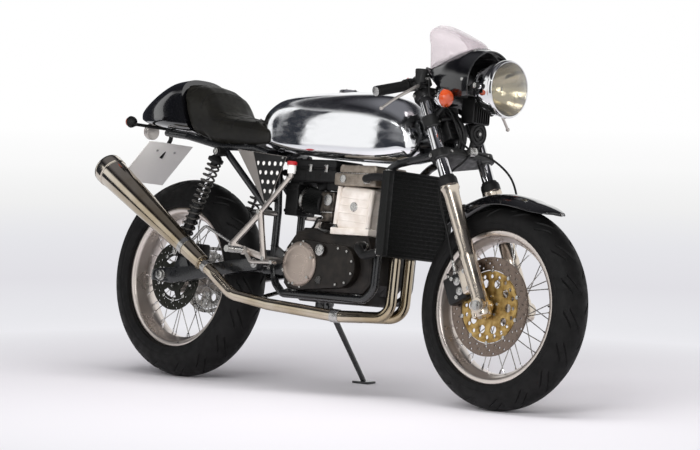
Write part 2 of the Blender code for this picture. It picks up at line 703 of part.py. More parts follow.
def caliper(sign):
    """A brake caliper behind the leg that straddles the disc without touching it."""
    turn = FORK_FRAME.to_3x3().to_4x4()
    middle_y = sign * (CALIPER_OUTER_Y + CALIPER_INNER_Y) / 2
    body = block((CALIPER_LENGTH, CALIPER_OUTER_Y - CALIPER_INNER_Y, CALIPER_HEIGHT),
                 fork_point(CALIPER_FRONT - CALIPER_LENGTH / 2, middle_y, CALIPER_MIDDLE), turn, 0.008)
    near = sign * (FRONT_DISC_Y - DISC_THICK / 2 - PAD_GAP)
    far = sign * (FRONT_DISC_Y + DISC_THICK / 2 + PAD_GAP)
    slot = rod(FRONT_AXLE + Vector((0, near, 0)), FRONT_AXLE + Vector((0, far, 0)),
               FRONT_DISC_RADIUS + PAD_GAP, sides=STEPS)
    spokes = rod(FRONT_AXLE, FRONT_AXLE + Vector((0, sign * FRONT_DISC_Y, 0)), FRONT_DISC_INNER + 0.002, sides=STEPS)
    return cut(body, slot, spokes)


def front_mudguard():
    """An arched guard over the tyre that narrows to a tip in front, with tabs to the legs."""
    angles = [-40, -28, -14, 0, 12, 22, 29, 34]
    half_widths = [0.060, 0.067, 0.067, 0.067, 0.066, 0.058, 0.042, 0.014]
    rows = []
    for angle, half_width in zip(angles, half_widths):
        tilt = math.radians(angle)
        row = []
        for step in range(-3, 4):
            share = step / 3
            radius = MUDGUARD_RADIUS - 0.034 * share ** 4 * half_width / 0.067 + 0.012 * max(0, angle - 20) / 14
            row.append(FRONT_AXLE + Vector((radius * math.sin(tilt), share * half_width, radius * math.cos(tilt))))
        rows.append(row)
    guard = shell(rows, 0.003)
    reach = LEG_Y - SLIDER_RADIUS - GAP
    tabs = [block((0.030, 0.012, 0.020), fork_point(0, sign * (reach - 0.006), 0.322),
                  FORK_FRAME.to_3x3().to_4x4()) for sign in (1, -1)]
    guard = joined(guard, *tabs)
    legs = [rod(fork_point(0, sign * LEG_Y, 0.2), fork_point(0, sign * LEG_Y, 0.5), SLIDER_RADIUS + GAP, sides=16)
            for sign in (1, -1)]
    finish(cut(guard, *legs), "front_mudguard", BLACK_PAINT, steering)


def headlamp():
    """A round chrome lamp: a bowl behind, a rim and a slightly domed glass in front."""
    profile = [(0, 0.026), (0.050, 0.022), (LAMP_RADIUS, 0.010), (LAMP_RADIUS, -0.008),
               (LAMP_RADIUS - 0.010, -0.040), (LAMP_RADIUS - 0.025, -0.072), (LAMP_RADIUS - 0.050, -0.094),
               (0, -0.104)]
    place = facing_forward((LAMP_CENTRE[0], 0, LAMP_CENTRE[1]))
    reach = BRACKET_Y - BRACKET_BOSS - GAP
    at = (LAMP_CENTRE[0] - LAMP_LUG_BACK, LAMP_CENTRE[1])
    lugs = rod((at[0], -reach, at[1]), (at[0], reach, at[1]), 0.009)
    finish(joined(turned(profile, place, closed=False, steps=24), lugs), "headlamp", CHROME, steering)


def lamp_bracket():
    """Two clamps on the legs with arms to the headlamp, and a bar with a box and a horn on it."""
    pieces = []
    for sign in (1, -1):
        clamp = fork_point(0, sign * LEG_Y, BRACKET_AT)
        side = Vector((LAMP_CENTRE[0] - LAMP_LUG_BACK, sign * BRACKET_Y, LAMP_CENTRE[1]))
        pieces.append(rod(fork_point(0, sign * LEG_Y, BRACKET_AT - 0.018),
                          fork_point(0, sign * LEG_Y, BRACKET_AT + 0.018), STANCHION_RADIUS + 0.007, sides=12))
        pieces.append(tube(rounded([clamp, (BRACKET_BEND[0], side.y, BRACKET_BEND[1]), side], 0.05), 0.006))
        pieces.append(rod(side - Vector((0, sign * BRACKET_BOSS, 0)), side + Vector((0, sign * 0.010, 0)), 0.011))
        stub = Vector((COWL_STUB[0], side.y, COWL_STUB[1]))
        pieces.append(rod(stub, (stub.x, sign * COWL_STUB[2], stub.z), 0.004, sides=12))
    bar = fork_point(0.040, 0, BRACKET_AT)
    ends = [fork_point(0.010, sign * (LEG_Y - 0.012), BRACKET_AT) for sign in (1, -1)]
    pieces.append(tube(rounded([ends[0], (bar.x, 0.05, bar.z), (bar.x, -0.05, bar.z), ends[1]], 0.02), 0.008))
    box = Vector((bar.x + BOX_LENGTH / 2, BOX_Y, bar.z + BOX_HEIGHT / 2 - 0.009))
    pieces.append(block((BOX_LENGTH, BOX_WIDTH, BOX_HEIGHT), box, Matrix(), 0.010))
    horn = Vector((bar.x + 0.036, HORN_Y, bar.z - HORN_RADIUS))
    pieces.append(rod(horn - Vector((0.022, 0, 0)), horn + Vector((0.014, 0, 0)), HORN_RADIUS, sides=14))
    legs = [rod(fork_point(0, sign * LEG_Y, 0.5), fork_point(0, sign * LEG_Y, 0.7), STANCHION_RADIUS + GAP, sides=16)
            for sign in (1, -1)]
    finish(cut(joined(*pieces), *legs), "headlamp_bracket", DARK_STEEL, steering)


def front_indicator(sign):
    """A round indicator: a cup on a stalk that starts beside the lamp bracket's arm."""
    x, y, z = INDICATOR_AT
    middle = Vector((x, sign * y, z))
    profile = [(0, 0.024), (INDICATOR_RADIUS * 0.72, 0.019), (INDICATOR_RADIUS, 0.008), (INDICATOR_RADIUS, -0.006),
               (INDICATOR_RADIUS * 0.6, -0.030), (0, -0.038)]
    cup = turned(profile, facing_forward(middle), closed=False, steps=14)
    stalk = rod((x - 0.016, sign * (y - 0.010), z), (x - 0.016, sign * (BRACKET_Y + 0.0075), z), 0.0055, sides=8)
    return joined(cup, stalk)


def fairing_rows(margin):
    """Rows of points round the fairing from one side to the other, some way outside its middle sheet."""
    rows = []
    for ahead, half_width, low, high in COWL_SECTIONS:
        middle = high - half_width
        reach = half_width + margin
        start = math.degrees(math.asin((low - middle) / reach))
        rows.append([Vector((FRONT_AXLE.x + ahead, y, z))
                     for y, z in arc((0, middle), reach, start, 180 - start, 10)])
    return rows


def fairing():
    """A small cowl round the lamp, open behind and below, that carries the screen."""
    finish(shell(fairing_rows(0), SHEET_METAL), "fairing", BLACK_PAINT, steering)


def windscreen():
    """A smoked bubble that stands on the fairing's top and leans back."""
    rows = []
    for height, middle, length, half_width in SCREEN_LEVELS:
        turns = [math.radians(-100 + 200 * step / 10) for step in range(11)]
        rows.append([Vector((FRONT_AXLE.x + middle + length * math.cos(turn), half_width * math.sin(turn), height))
                     for turn in turns])
    below = loft(fairing_rows(SHEET_METAL / 2 + GAP * 1.5))
    finish(cut(shell(rows, 0.003), below), "windscreen", SMOKED_PLASTIC, steering)


def instruments():
    """Two round dials on a plate above the top yoke, tilted to the rider."""
    lean_back = Matrix.Rotation(math.radians(-42), 4, "Y")
    pieces = []
    for sign in (1, -1):
        dial = Vector((FRONT_AXLE.x - 0.275, sign * 0.035, 1.020))
        axis = lean_back.to_3x3() @ Vector((0, 0, 1))
        pieces.append(rod(dial - axis * 0.028, dial + axis * 0.012, 0.032, sides=20))
    pieces.append(block((0.080, 0.080, 0.006), (FRONT_AXLE.x - 0.288, 0, 0.997), lean_back))
    pieces.append(rod(fork_point(0.010, 0, TOP_YOKE_AT + YOKE_THICK / 2 + GAP), fork_point(0.010, 0, 0.760), 0.009))
    finish(joined(*pieces), "instruments", DARK_STEEL, steering)


def brake_hoses():
    """The brake's hose over a block on the lower yoke, and a cable from there to the left leg's lug."""
    size = 0.022
    junction = fork_point(CLAMP_RADIUS + size / 2 + GAP, 0, LOWER_YOKE_AT)
    split = block((size, 0.030, size), junction, FORK_FRAME.to_3x3().to_4x4())
    start = bar_point(-1, GRIP_START_Y - 0.020, 0.0615, 0.020)
    route = [start + Vector((0.010, 0, 0)), (1.122, -0.128, 0.940), (1.135, -0.100, 0.926), (1.156, -0.070, 0.900),
             (1.174, -0.060, 0.862), fork_point(0.052, -0.054, 0.560), fork_point(0.050, -0.042, 0.520)]
    pieces = [split, tube([start, *flowing(route, 10), junction], HOSE_RADIUS)]
    outside = LEG_Y + SLIDER_RADIUS + 0.010
    brake = [(0.030, -0.040, 0.468), (0.000, -0.056, 0.455), (-0.046, -0.078, 0.425), (-0.056, -0.092, 0.360),
             (-0.058, -0.092, 0.280), (-0.070, -0.085, 0.210), (CALIPER_FRONT - 0.030, -0.082, CALIPER_TOP + 0.012)]
    cable = [(0.075, 0.050, 0.465), (0.100, 0.082, 0.390), (0.060, outside - 0.012, 0.310), (0.010, outside, 0.265),
             (-0.030, outside - 0.010, 0.225), (LUG_MIDDLE - 0.018, LEG_Y + 0.004, 0.180),
             (LUG_MIDDLE - 0.018, LEG_Y, LUG_TOP + 0.012)]
    for route, seat in ((brake, CALIPER_TOP + GAP), (cable, LUG_TOP + GAP)):
        forward, left, up = route[-1]
        middle = [fork_point(*place) for place in route]
        pieces.append(tube([*flowing([junction, *middle], 14), fork_point(forward, left, seat)], HOSE_RADIUS))
    finish(joined(*pieces), "brake_hoses", BLACK_RUBBER, steering)


def front_end():
    yokes()
    for side, sign in (("left", 1), ("right", -1)):
        finish(fork_leg(sign), f"fork_leg_{side}", CHROME, steering)
        finish(handlebar(sign), f"handlebar_{side}", BLACK_RUBBER, steering)
        finish(front_indicator(sign), f"front_indicator_{side}", ORANGE_PLASTIC, steering)
    finish(caliper(-1), "front_caliper", DARK_STEEL, steering)
    reach = LEG_Y + SLIDER_RADIUS + 0.008
    axle = rod(FRONT_AXLE - Vector((0, reach, 0)), FRONT_AXLE + Vector((0, reach, 0)), AXLE_RADIUS)
    nuts = [rod(FRONT_AXLE + Vector((0, sign * (LEG_Y + SLIDER_RADIUS + GAP), 0)),
                FRONT_AXLE + Vector((0, sign * reach, 0)), 0.014, sides=6) for sign in (1, -1)]
    finish(joined(axle, *nuts), "front_axle", DARK_STEEL, steering)
    front_mudguard()
    headlamp()
    lamp_bracket()
    fairing()
    windscreen()
    instruments()
    brake_hoses()


# Frame

def headstock_core(radius, margin=0.0):
    return rod(fork_point(-FORK_OFFSET, 0, HEADSTOCK_FLOOR - margin), fork_point(-FORK_OFFSET, 0, HEADSTOCK_ROOF + margin),
               radius, sides=16)


def backbone():
    """The steering head, the main tube under the tank and the cross tube behind it."""
    start = fork_point(-FORK_OFFSET - 0.010, 0, 0.590)
    main = tube(rounded([start, (0.96, 0, BACKBONE_Z), (BACKBONE_END + 0.090, 0, BACKBONE_Z - 0.005),
                         (BACKBONE_END, 0, CROSS_TUBE_Z)], 0.05), BACKBONE_TUBE)
    gusset = sheet([[(0.900, BACKBONE_Z), (start.x, start.z + 0.010), (start.x + 0.026, start.z - 0.045),
                     (start.x - 0.012, start.z - 0.062), (0.945, 0.742)]], 0.010, SIDE_VIEW)
    rear = rod((BACKBONE_END, -RAIL_Y, CROSS_TUBE_Z), (BACKBONE_END, RAIL_Y, CROSS_TUBE_Z), CROSS_TUBE_RADIUS)
    reach = TANK_TUNNEL_HALF - GAP
    rests = [rod((x, -reach, BACKBONE_Z), (x, reach, BACKBONE_Z), 0.012) for x in (0.560, 0.900)]
    solid = joined(headstock_core(HEADSTOCK_RADIUS), main, gusset, rear, *rests)
    finish(cut(solid, headstock_core(STEM_RADIUS + RUNNING_GAP, 0.02)), "frame_backbone", BLACK_PAINT)


def cradle(sign):
    """One side's tube: from the steering head in front of the engine, under it and up behind it."""
    side = sign * SIDE_TUBE_Y
    inner = sign * PIVOT_TUBE_Y
    route = [(FRONT_AXLE.x - 0.285, sign * 0.022, 0.770), (0.965, side * 0.95, 0.7285), (0.925, side, 0.700), (0.918, side, 0.335),
             (0.880, side, CRADLE_FLOOR), (0.520, side, CRADLE_FLOOR), (0.455, inner, 0.335), (0.440, inner, 0.400),
             (0.442, inner, 0.560), (0.428, inner, 0.715)]
    bent = tube(rounded(route, 0.045, 2), FRAME_TUBE)
    plate = sheet([[(0.405, 0.360), (0.500, 0.360), (0.505, 0.425), (0.460, 0.450), (0.405, 0.430)]], 0.012,
                  Matrix.Translation((0, inner, 0)) @ SIDE_VIEW)
    rise = CASE_FLOOR - GAP - CRADLE_FLOOR
    mounts = [block((0.036, 0.014, rise), (x, sign * (CASE_HALF - 0.008), CRADLE_FLOOR + rise / 2)) for x in (0.840, 0.560)]
    solid = joined(bent, plate, *mounts, *(stand_lug() if sign > 0 else ()))
    pin = rod((PIVOT_X, inner - 0.03, PIVOT_Z), (PIVOT_X, inner + 0.03, PIVOT_Z), PIVOT_PIN + GAP)
    return cut(solid, headstock_core(HEADSTOCK_RADIUS + GAP), pin,
               rod((BACKBONE_END, -0.2, CROSS_TUBE_Z), (BACKBONE_END, 0.2, CROSS_TUBE_Z), CROSS_TUBE_RADIUS + GAP))


def seat_rail(sign):
    """One side's rail under the seat, the stay below it and the pin that carries the rear spring."""
    y = sign * RAIL_Y
    rail = tube(rounded([(BACKBONE_END - 0.0165, y, CROSS_TUBE_Z), (0.345, y, 0.7632), (0.20, y, 0.7632),
                         (0.03, y * 0.98, 0.7945), (-0.100, sign * 0.070, 0.806)], 0.08, 2), 0.011)
    stay = tube([Vector((0.205, y, 0.760)), Vector((0.418, sign * 0.078, 0.566))], 0.011)
    pin = rod((SHOCK_TOP[0], y, SHOCK_TOP[1]), (SHOCK_TOP[0], sign * (SHOCK_Y + 0.018), SHOCK_TOP[1]), 0.006)
    shoulder = rod((SHOCK_TOP[0], y, SHOCK_TOP[1]), (SHOCK_TOP[0], sign * (SHOCK_Y - 0.0145 - GAP), SHOCK_TOP[1]), 0.013)
    foot = rod((0.418, sign * 0.0682, 0.564), (0.418, sign * 0.090, 0.564), 0.012)
    pads = [rod((x, sign * left, z), (x, sign * left, z + 0.030), 0.010, sides=8)
            for x, left, z in ((0.310, RAIL_Y, 0.764), (0.120, RAIL_Y, 0.778), (-0.080, 0.075, 0.803))]
    solid = joined(rail, stay, pin, shoulder, foot, *pads)
    above = [loft(padded_rings(sections, GAP)) for sections in (SEAT_SECTIONS, TAIL_SECTIONS)]
    return cut(solid, rod((BACKBONE_END, -0.2, CROSS_TUBE_Z), (BACKBONE_END, 0.2, CROSS_TUBE_Z), CROSS_TUBE_RADIUS + GAP), *above)


def swingarm():
    """Two arms, the tube between them, the pivot pin and a bracket for each rear spring."""
    pieces = [rod((0.372, -ARM_Y, 0.382), (0.372, ARM_Y, 0.382), 0.019),
              rod((PIVOT_X, -ARM_Y - 0.018, PIVOT_Z), (PIVOT_X, ARM_Y + 0.018, PIVOT_Z), PIVOT_PIN)]
    for sign in (1, -1):
        y = sign * ARM_Y
        outline = [(-0.045, 0.312), (0.045, 0.305), (0.36, 0.357), (0.44, 0.368), (0.450, 0.390), (0.44, 0.410),
                   (0.36, 0.400), (0.10, 0.362), (-0.02, 0.352), (-0.045, 0.345)]
        pieces.append(sheet([outline], 2 * ARM_HALF_WIDTH, Matrix.Translation((0, y, 0)) @ SIDE_VIEW))
        pieces.append(sheet([[(0.030, 0.345), (0.110, 0.350), (SHOCK_FOOT[0] + 0.016, SHOCK_FOOT[1] - 0.006),
                              (SHOCK_FOOT[0], SHOCK_FOOT[1] + 0.014), (SHOCK_FOOT[0] - 0.014, SHOCK_FOOT[1])]],
                            0.006, Matrix.Translation((0, sign * (SHOCK_Y - 0.0145 - GAP - 0.003), 0)) @ SIDE_VIEW))
        pieces.append(rod((SHOCK_FOOT[0], sign * (SHOCK_Y - 0.018), SHOCK_FOOT[1]),
                          (SHOCK_FOOT[0], sign * (SHOCK_Y + 0.018), SHOCK_FOOT[1]), 0.006))
    axle_hole = rod((0, -0.2, REAR_AXLE.z), (0, 0.2, REAR_AXLE.z), AXLE_RADIUS + GAP)
    finish(cut(joined(*pieces), axle_hole), "swingarm", CAST_ALUMINIUM)


def shock(sign):
    """A rear spring and damper: two eyes, the damper's body and a coil between two seats."""
    top = Vector((SHOCK_TOP[0], sign * SHOCK_Y, SHOCK_TOP[1]))
    foot = Vector((SHOCK_FOOT[0], sign * SHOCK_Y, SHOCK_FOOT[1]))
    line = (top - foot).normalized()
    eyes = [rod(end - Vector((0, 0.014, 0)), end + Vector((0, 0.014, 0)), 0.015) for end in (top, foot)]
    body = rod(foot, top, 0.010, sides=8)
    seats = [rod(foot + line * 0.026, foot + line * 0.036, 0.0262, sides=12),
             rod(top - line * 0.036, top - line * 0.026, 0.0262, sides=12)]
    low = foot + line * 0.033
    length = (top - foot).length - 0.066
    side = line.orthogonal().normalized()
    front = line.cross(side)
    count = COIL_TURNS * COIL_STEPS
    coil = []
    for step in range(count + 1):
        turn = 2 * math.pi * step / COIL_STEPS
        coil.append(low + line * (length * step / count)
                    + (side * math.cos(turn) + front * math.sin(turn)) * (COIL_RADIUS - COIL_WIRE))
    spring = tube(coil, COIL_WIRE, 0)
    solid = joined(body, *eyes, *seats, spring)
    pins = [rod(end - Vector((0, 0.03, 0)), end + Vector((0, 0.03, 0)), 0.006 + GAP) for end in (top, foot)]
    return cut(solid, *pins)


def chain():
    """The drive chain as one loop round both sprockets."""
    rear = (REAR_AXLE.x, REAR_AXLE.z)
    inner = capsule(rear, SPROCKET_RADIUS + RUNNING_GAP, GEARBOX_AT, GEARBOX_SPROCKET + RUNNING_GAP, 14)
    outer = capsule(rear, SPROCKET_RADIUS + RUNNING_GAP + CHAIN_DEPTH, GEARBOX_AT,
                    GEARBOX_SPROCKET + RUNNING_GAP + CHAIN_DEPTH, 14)
    finish(sheet([outer, inner], CHAIN_THICK, Matrix.Translation((0, SPROCKET_Y, 0)) @ SIDE_VIEW),
           "drive_chain", DARK_STEEL)


def rear_axle():
    reach = ARM_Y + ARM_HALF_WIDTH + 0.012
    axle = rod((0, -reach, REAR_AXLE.z), (0, reach, REAR_AXLE.z), AXLE_RADIUS)
    nuts = [rod((0, sign * (ARM_Y + ARM_HALF_WIDTH + GAP), REAR_AXLE.z), (0, sign * reach, REAR_AXLE.z), 0.016, sides=6)
            for sign in (1, -1)]
    finish(joined(axle, *nuts), "rear_axle", DARK_STEEL)


def rear_caliper():
    """The rear brake's caliper over the disc, on a bracket that reaches the right arm."""
    near = REAR_DISC_Y - DISC_THICK / 2 - PAD_GAP
    far = REAR_DISC_Y + DISC_THICK / 2 + PAD_GAP
    body = block((0.070, 0.056, 0.060), (0.095, -(0.040 + 0.096) / 2, 0.412), Matrix(), 0.006)
    bracket = block((0.044, ARM_Y - ARM_HALF_WIDTH - GAP - 0.078, 0.032),
                    (0.088, -(ARM_Y - ARM_HALF_WIDTH - GAP + 0.078) / 2, 0.378))
    slot = rod((0, -near, REAR_AXLE.z), (0, -far, REAR_AXLE.z), REAR_DISC_RADIUS + PAD_GAP, sides=STEPS)
    spokes = rod((0, 0, REAR_AXLE.z), (0, -REAR_DISC_Y, REAR_AXLE.z), REAR_DISC_INNER + 0.004, sides=STEPS)
    finish(cut(joined(body, bracket), slot, spokes), "rear_caliper", DARK_STEEL)


def footrest_hanger(sign):
    """An open triangular plate with its footrest, a forward stay and two bosses to the frame."""
    top, rear, front = (0.452, 0.555), (0.327, 0.443), (0.484, 0.408)
    strip = 0.008
    place = Matrix.Translation((0, sign * HANGER_Y, 0)) @ SIDE_VIEW
    pieces = [sheet([capsule(first, strip, second, strip * 0.999, 2)], HANGER_THICK, place)
              for first, second in ((top, rear), (rear, front), (front, top),
                            (top, (RESERVOIR_X - 0.001, RESERVOIR_FLOOR - 0.009)))]
    pieces.append(rod((top[0] - 0.008, sign * (PIVOT_TUBE_Y + FRAME_TUBE + GAP), top[1]),
                      (top[0] - 0.008, sign * HANGER_Y, top[1]), 0.009))
    pieces.append(rod((front[0] - 0.002, sign * (PIVOT_TUBE_Y + 0.006 + GAP), front[1] - 0.002),
                      (front[0] - 0.002, sign * HANGER_Y, front[1] - 0.002), 0.009))
    pieces.append(rod((0.395, sign * HANGER_Y, 0.428), (0.395, sign * (HANGER_Y + 0.085), 0.428), 0.011, sides=14))
    pieces.append(tube(rounded([(0.405, sign * (HANGER_Y + 0.008), 0.425), (0.440, sign * (HANGER_Y + 0.016), 0.392),
                                (0.545, sign * (HANGER_Y + 0.018), 0.395)], 0.02), 0.006))
    if sign < 0:
        pieces.append(rod((RESERVOIR_X, -HANGER_Y, RESERVOIR_FLOOR - 0.012), (RESERVOIR_X, -HANGER_Y, RESERVOIR_FLOOR),
                          0.009))
    return joined(*pieces)


def frame_and_rear():
    backbone()
    for side, sign in (("left", 1), ("right", -1)):
        finish(cradle(sign), f"frame_cradle_{side}", BLACK_PAINT)
        finish(seat_rail(sign), f"frame_seat_rail_{side}", BLACK_PAINT)
        finish(shock(sign), f"rear_shock_{side}", DARK_STEEL)
        finish(footrest_hanger(sign), f"footrest_hanger_{side}", POLISHED_ALUMINIUM)
    swingarm()
    chain()
    rear_axle()
    rear_caliper()


# Engine

def crankcase():
    """The engine's case with a bulge each side, the sump and the gearbox sprocket's boss."""
    outline = [(0.515, 0.335), (0.535, CASE_FLOOR), (0.865, CASE_FLOOR), (0.898, 0.350), (0.898, 0.440),
               (0.870, BARREL_FLOOR), (0.690, BARREL_FLOOR), (0.640, 0.515), (0.560, 0.505), (0.515, 0.450)]
    case = sheet([outline], 2 * CASE_HALF, SIDE_VIEW)
    sump = block((0.300, 0.110, 0.060), (0.710, 0, 0.313), Matrix(), 0.010)
    bulges = []
    for sign, rear_radius, front_radius in ((-1, CLUTCH_RADIUS + 0.009, 0.066), (1, 0.045, 0.075)):
        bulges.append(sheet([capsule(CLUTCH_AT if sign < 0 else (0.640, 0.398), rear_radius, CRANK_AT, front_radius, 8)],
                            0.040, Matrix.Translation((0, sign * (CASE_HALF + 0.010), 0)) @ SIDE_VIEW))
    boss = rod((GEARBOX_AT[0], CASE_HALF - 0.008, GEARBOX_AT[1]), (GEARBOX_AT[0], SPROCKET_Y + 0.006, GEARBOX_AT[1]),
               GEARBOX_SPROCKET, sides=20)
    filler = rod((0.702, -0.09, 0.447), (0.702, -0.122, 0.447), 0.020)
    finish(joined(case, sump, *bulges, boss, filler), "crankcase", CAST_ALUMINIUM)


def side_cover(at, radius, sign):
    """A domed round cover on the crankcase's side."""
    start = CASE_HALF + 0.030 + GAP
    profile = [(0, 0.016), (radius * 0.6, 0.014), (radius * 0.88, 0.009), (radius, 0), (0, 0)]
    place = Matrix.Translation((at[0], sign * start, at[1])) @ Matrix.Rotation(math.radians(-90 * sign), 4, "X")
    return turned(profile, place, closed=False, steps=24)


def barrel():
    """The cylinder block, tipped a little forward, with a flange at its foot."""
    lean = math.radians(4)
    middle_x = 0.782
    foot = block((0.166, 0.150, 0.022), (middle_x, 0, BARREL_FLOOR + GAP + 0.011), Matrix(), 0.004)
    body = block((0.140, 0.140, HEAD_FLOOR - BARREL_FLOOR + 0.03),
                 (middle_x + 0.005, 0, (HEAD_FLOOR + BARREL_FLOOR) / 2 + 0.005), Matrix.Rotation(lean, 4, "Y"), 0.018)
    roof = block((0.3, 0.3, 0.1), (middle_x, 0, HEAD_FLOOR - GAP + 0.05))
    floor = block((0.3, 0.3, 0.1), (middle_x, 0, BARREL_FLOOR + GAP - 0.05))
    intake = rod((middle_x, 0, INTAKE_Z), (INTAKE_X, 0, INTAKE_Z), 0.027, sides=20)
    finish(cut(joined(body, foot, intake), roof, floor), "cylinder_barrel", CAST_ALUMINIUM)


def head():
    """The cylinder head with a narrower cam cover on it."""
    lower = block((0.180, 2 * HEAD_HALF, 0.040), (0.795, 0, HEAD_FLOOR + 0.020), Matrix(), 0.006)
    cover = block((0.160, 0.150, HEAD_ROOF - HEAD_FLOOR - 0.030), (0.795, 0, (HEAD_ROOF + HEAD_FLOOR + 0.030) / 2),
                  Matrix(), 0.012)
    ports = [rod((0.870, sign * HEADER_Y, HEADER_PORT_Z), (0.897, sign * HEADER_Y, HEADER_PORT_Z), 0.024)
             for sign in (1, -1)]
    finish(joined(lower, cover, *ports), "cylinder_head", CAST_ALUMINIUM)


def exhaust():
    """Two header pipes that meet under the engine, and the pipe that leads to the silencer."""
    pieces = []
    for sign in (1, -1):
        route = [(0.897 + GAP, sign * HEADER_Y, HEADER_PORT_Z), (0.948, sign * HEADER_Y, HEADER_PORT_Z),
                 (0.952, sign * 0.032, 0.430), (0.948, sign * 0.032, 0.252), (0.790, -0.088, 0.2435)]
        pieces.append(tube(rounded(route, 0.050), HEADER_RADIUS, 2))
    main = [(0.850, -0.050, 0.247), (0.780, -0.095, 0.243), (0.520, -0.138, 0.262), (0.370, -0.158, 0.283),
            SILENCER_FRONT - SILENCER_LINE * 0.055, SILENCER_FRONT - SILENCER_LINE * GAP]
    pieces.append(tube(rounded(main, 0.070), PIPE_RADIUS, 2))
    finish(joined(*pieces), "exhaust_pipes", CHROME)


def silencer():
    """A cone-shaped silencer that widens to the rear, open at its end, on a strap to the seat rail."""
    length = (SILENCER_REAR - SILENCER_FRONT).length
    profile = [(0.024, 0), (0.027, 0.060), (SILENCER_RADIUS - 0.002, length - 0.030), (SILENCER_RADIUS, length - 0.012),
               (SILENCER_RADIUS - 0.004, length), (0.034, length - 0.004), (0.030, length - 0.070), (0, length - 0.070)]
    turn = SILENCER_LINE.to_track_quat("Z", "Y").to_matrix().to_4x4()
    can = turned([(0, 0), *profile], Matrix.Translation(SILENCER_FRONT) @ turn, closed=False, steps=24)
    lug_at = SILENCER_FRONT + SILENCER_LINE * 0.10
    face = -HANGER_Y + HANGER_THICK / 2 + GAP
    strap = tube(rounded([lug_at + Vector((0, 0.012, 0.010)), (0.205, -0.145, 0.500), (0.300, -0.115, 0.452),
                          (0.327, -0.115, 0.443), (0.327, face, 0.443)], 0.012), 0.005)
    finish(joined(can, strap), "silencer", CHROME)


def carburettor():
    """The carburettor with its stub to the engine and a round filter behind."""
    z = INTAKE_Z
    stub = rod((INTAKE_X - GAP, 0, z), (0.640, 0, z), 0.022)
    body = block((0.060, 0.062, 0.070), (0.632, 0, z + 0.006), Matrix(), 0.006)
    bowl = block((0.050, 0.056, 0.040), (0.632, 0, z - 0.040), Matrix(), 0.006)
    air_filter = rod((0.610, 0, z), (0.520, 0, z + 0.012), 0.040, 0.046, sides=24)
    finish(joined(stub, body, bowl, air_filter), "carburettor", DARK_STEEL)


def airbox():
    """The box under the tank that the engine breathes from, on two posts against the frame's rear tubes."""
    middle = ((AIRBOX_REAR + AIRBOX_FRONT) / 2, 0, (AIRBOX_FLOOR + AIRBOX_ROOF) / 2)
    body = block((AIRBOX_FRONT - AIRBOX_REAR, 2 * AIRBOX_HALF, AIRBOX_ROOF - AIRBOX_FLOOR), middle, Matrix(), 0.010)
    posts = [rod((AIRBOX_REAR + 0.010, sign * PIVOT_TUBE_Y, 0.690), (0.430, sign * PIVOT_TUBE_Y, 0.690), 0.008)
             for sign in (1, -1)]
    tubes = [rod((0.4447, sign * PIVOT_TUBE_Y, 0.530), (0.4262, sign * PIVOT_TUBE_Y, 0.735), FRAME_TUBE + GAP, sides=8)
             for sign in (1, -1)]
    finish(cut(joined(body, *posts), *tubes), "airbox", BLACK_RUBBER)


def radiator():
    """The radiator's core with a tank down each side, and the pipes that join it to the engine."""
    x, low, high = 0.992, 0.438, 0.706
    core = block((0.026, 0.270, high - low), (x, 0, (low + high) / 2))
    tanks = [block((0.032, 0.026, high - low - 0.004), (x, sign * 0.143, (low + high) / 2), Matrix(), 0.006)
             for sign in (1, -1)]
    upper = tube(rounded([(x - 0.008, -0.112, high - 0.022), (0.900, -0.112, high - 0.022), (0.862, -0.112, 0.677),
                          (0.862, -HEAD_HALF - GAP, 0.677)], 0.02), 0.013)
    lower = tube(rounded([(x - 0.008, -0.120, low + 0.020), (0.900, -0.125, low - 0.002), (0.866, -0.125, 0.468),
                          (0.866, -CASE_HALF - GAP, 0.468)], 0.02), 0.014)
    mounts = [rod((x - 0.010, sign * SIDE_TUBE_Y, z), (0.9375, sign * SIDE_TUBE_Y, z), 0.007, sides=10)
              for sign in (1, -1) for z in (low + 0.030, high - 0.050)]
    solid = joined(core, *tanks, upper, lower, *mounts)
    tubes = [tube([Vector((0.926, sign * SIDE_TUBE_Y, 0.74)), Vector((0.917, sign * SIDE_TUBE_Y, 0.32))], FRAME_TUBE + 0.0015)
             for sign in (1, -1)]
    finish(cut(solid, *tubes), "radiator", DARK_STEEL)


def engine():
    crankcase()
    finish(side_cover(CLUTCH_AT, CLUTCH_RADIUS, -1), "clutch_cover", CAST_ALUMINIUM)
    finish(side_cover(CRANK_AT, 0.066, 1), "generator_cover", CAST_ALUMINIUM)
    barrel()
    head()
    exhaust()
    silencer()
    carburettor()
    airbox()
    radiator()


# Bodywork

def rounded_ring(x, half_width, low, high, slant, count, upper, lower):
    """A closed ring across the machine: a superellipse whose upper and lower halves differ."""
    middle = low + (high - low) * 0.40
    ring = []
    for step in range(count):
        turn = 2 * math.pi * step / count
        power = upper if math.sin(turn) > 0 else lower
        height = high - middle if math.sin(turn) > 0 else middle - low
        y = half_width * math.copysign(abs(math.cos(turn)) ** (2 / power), math.cos(turn))
        z = middle + height * math.copysign(abs(math.sin(turn)) ** (2 / power), math.sin(turn))
        ring.append(Vector((x - slant * (z - low), y, z)))
    return ring


def tank_rings(margin):
    """Rings across the machine that bound the tank, or a shape a little larger than its rear."""
    return [rounded_ring(x - margin, half_width + margin, low, high, 0, 16, 2.5, squareness)
            for x, half_width, low, high, squareness in TANK_SECTIONS]


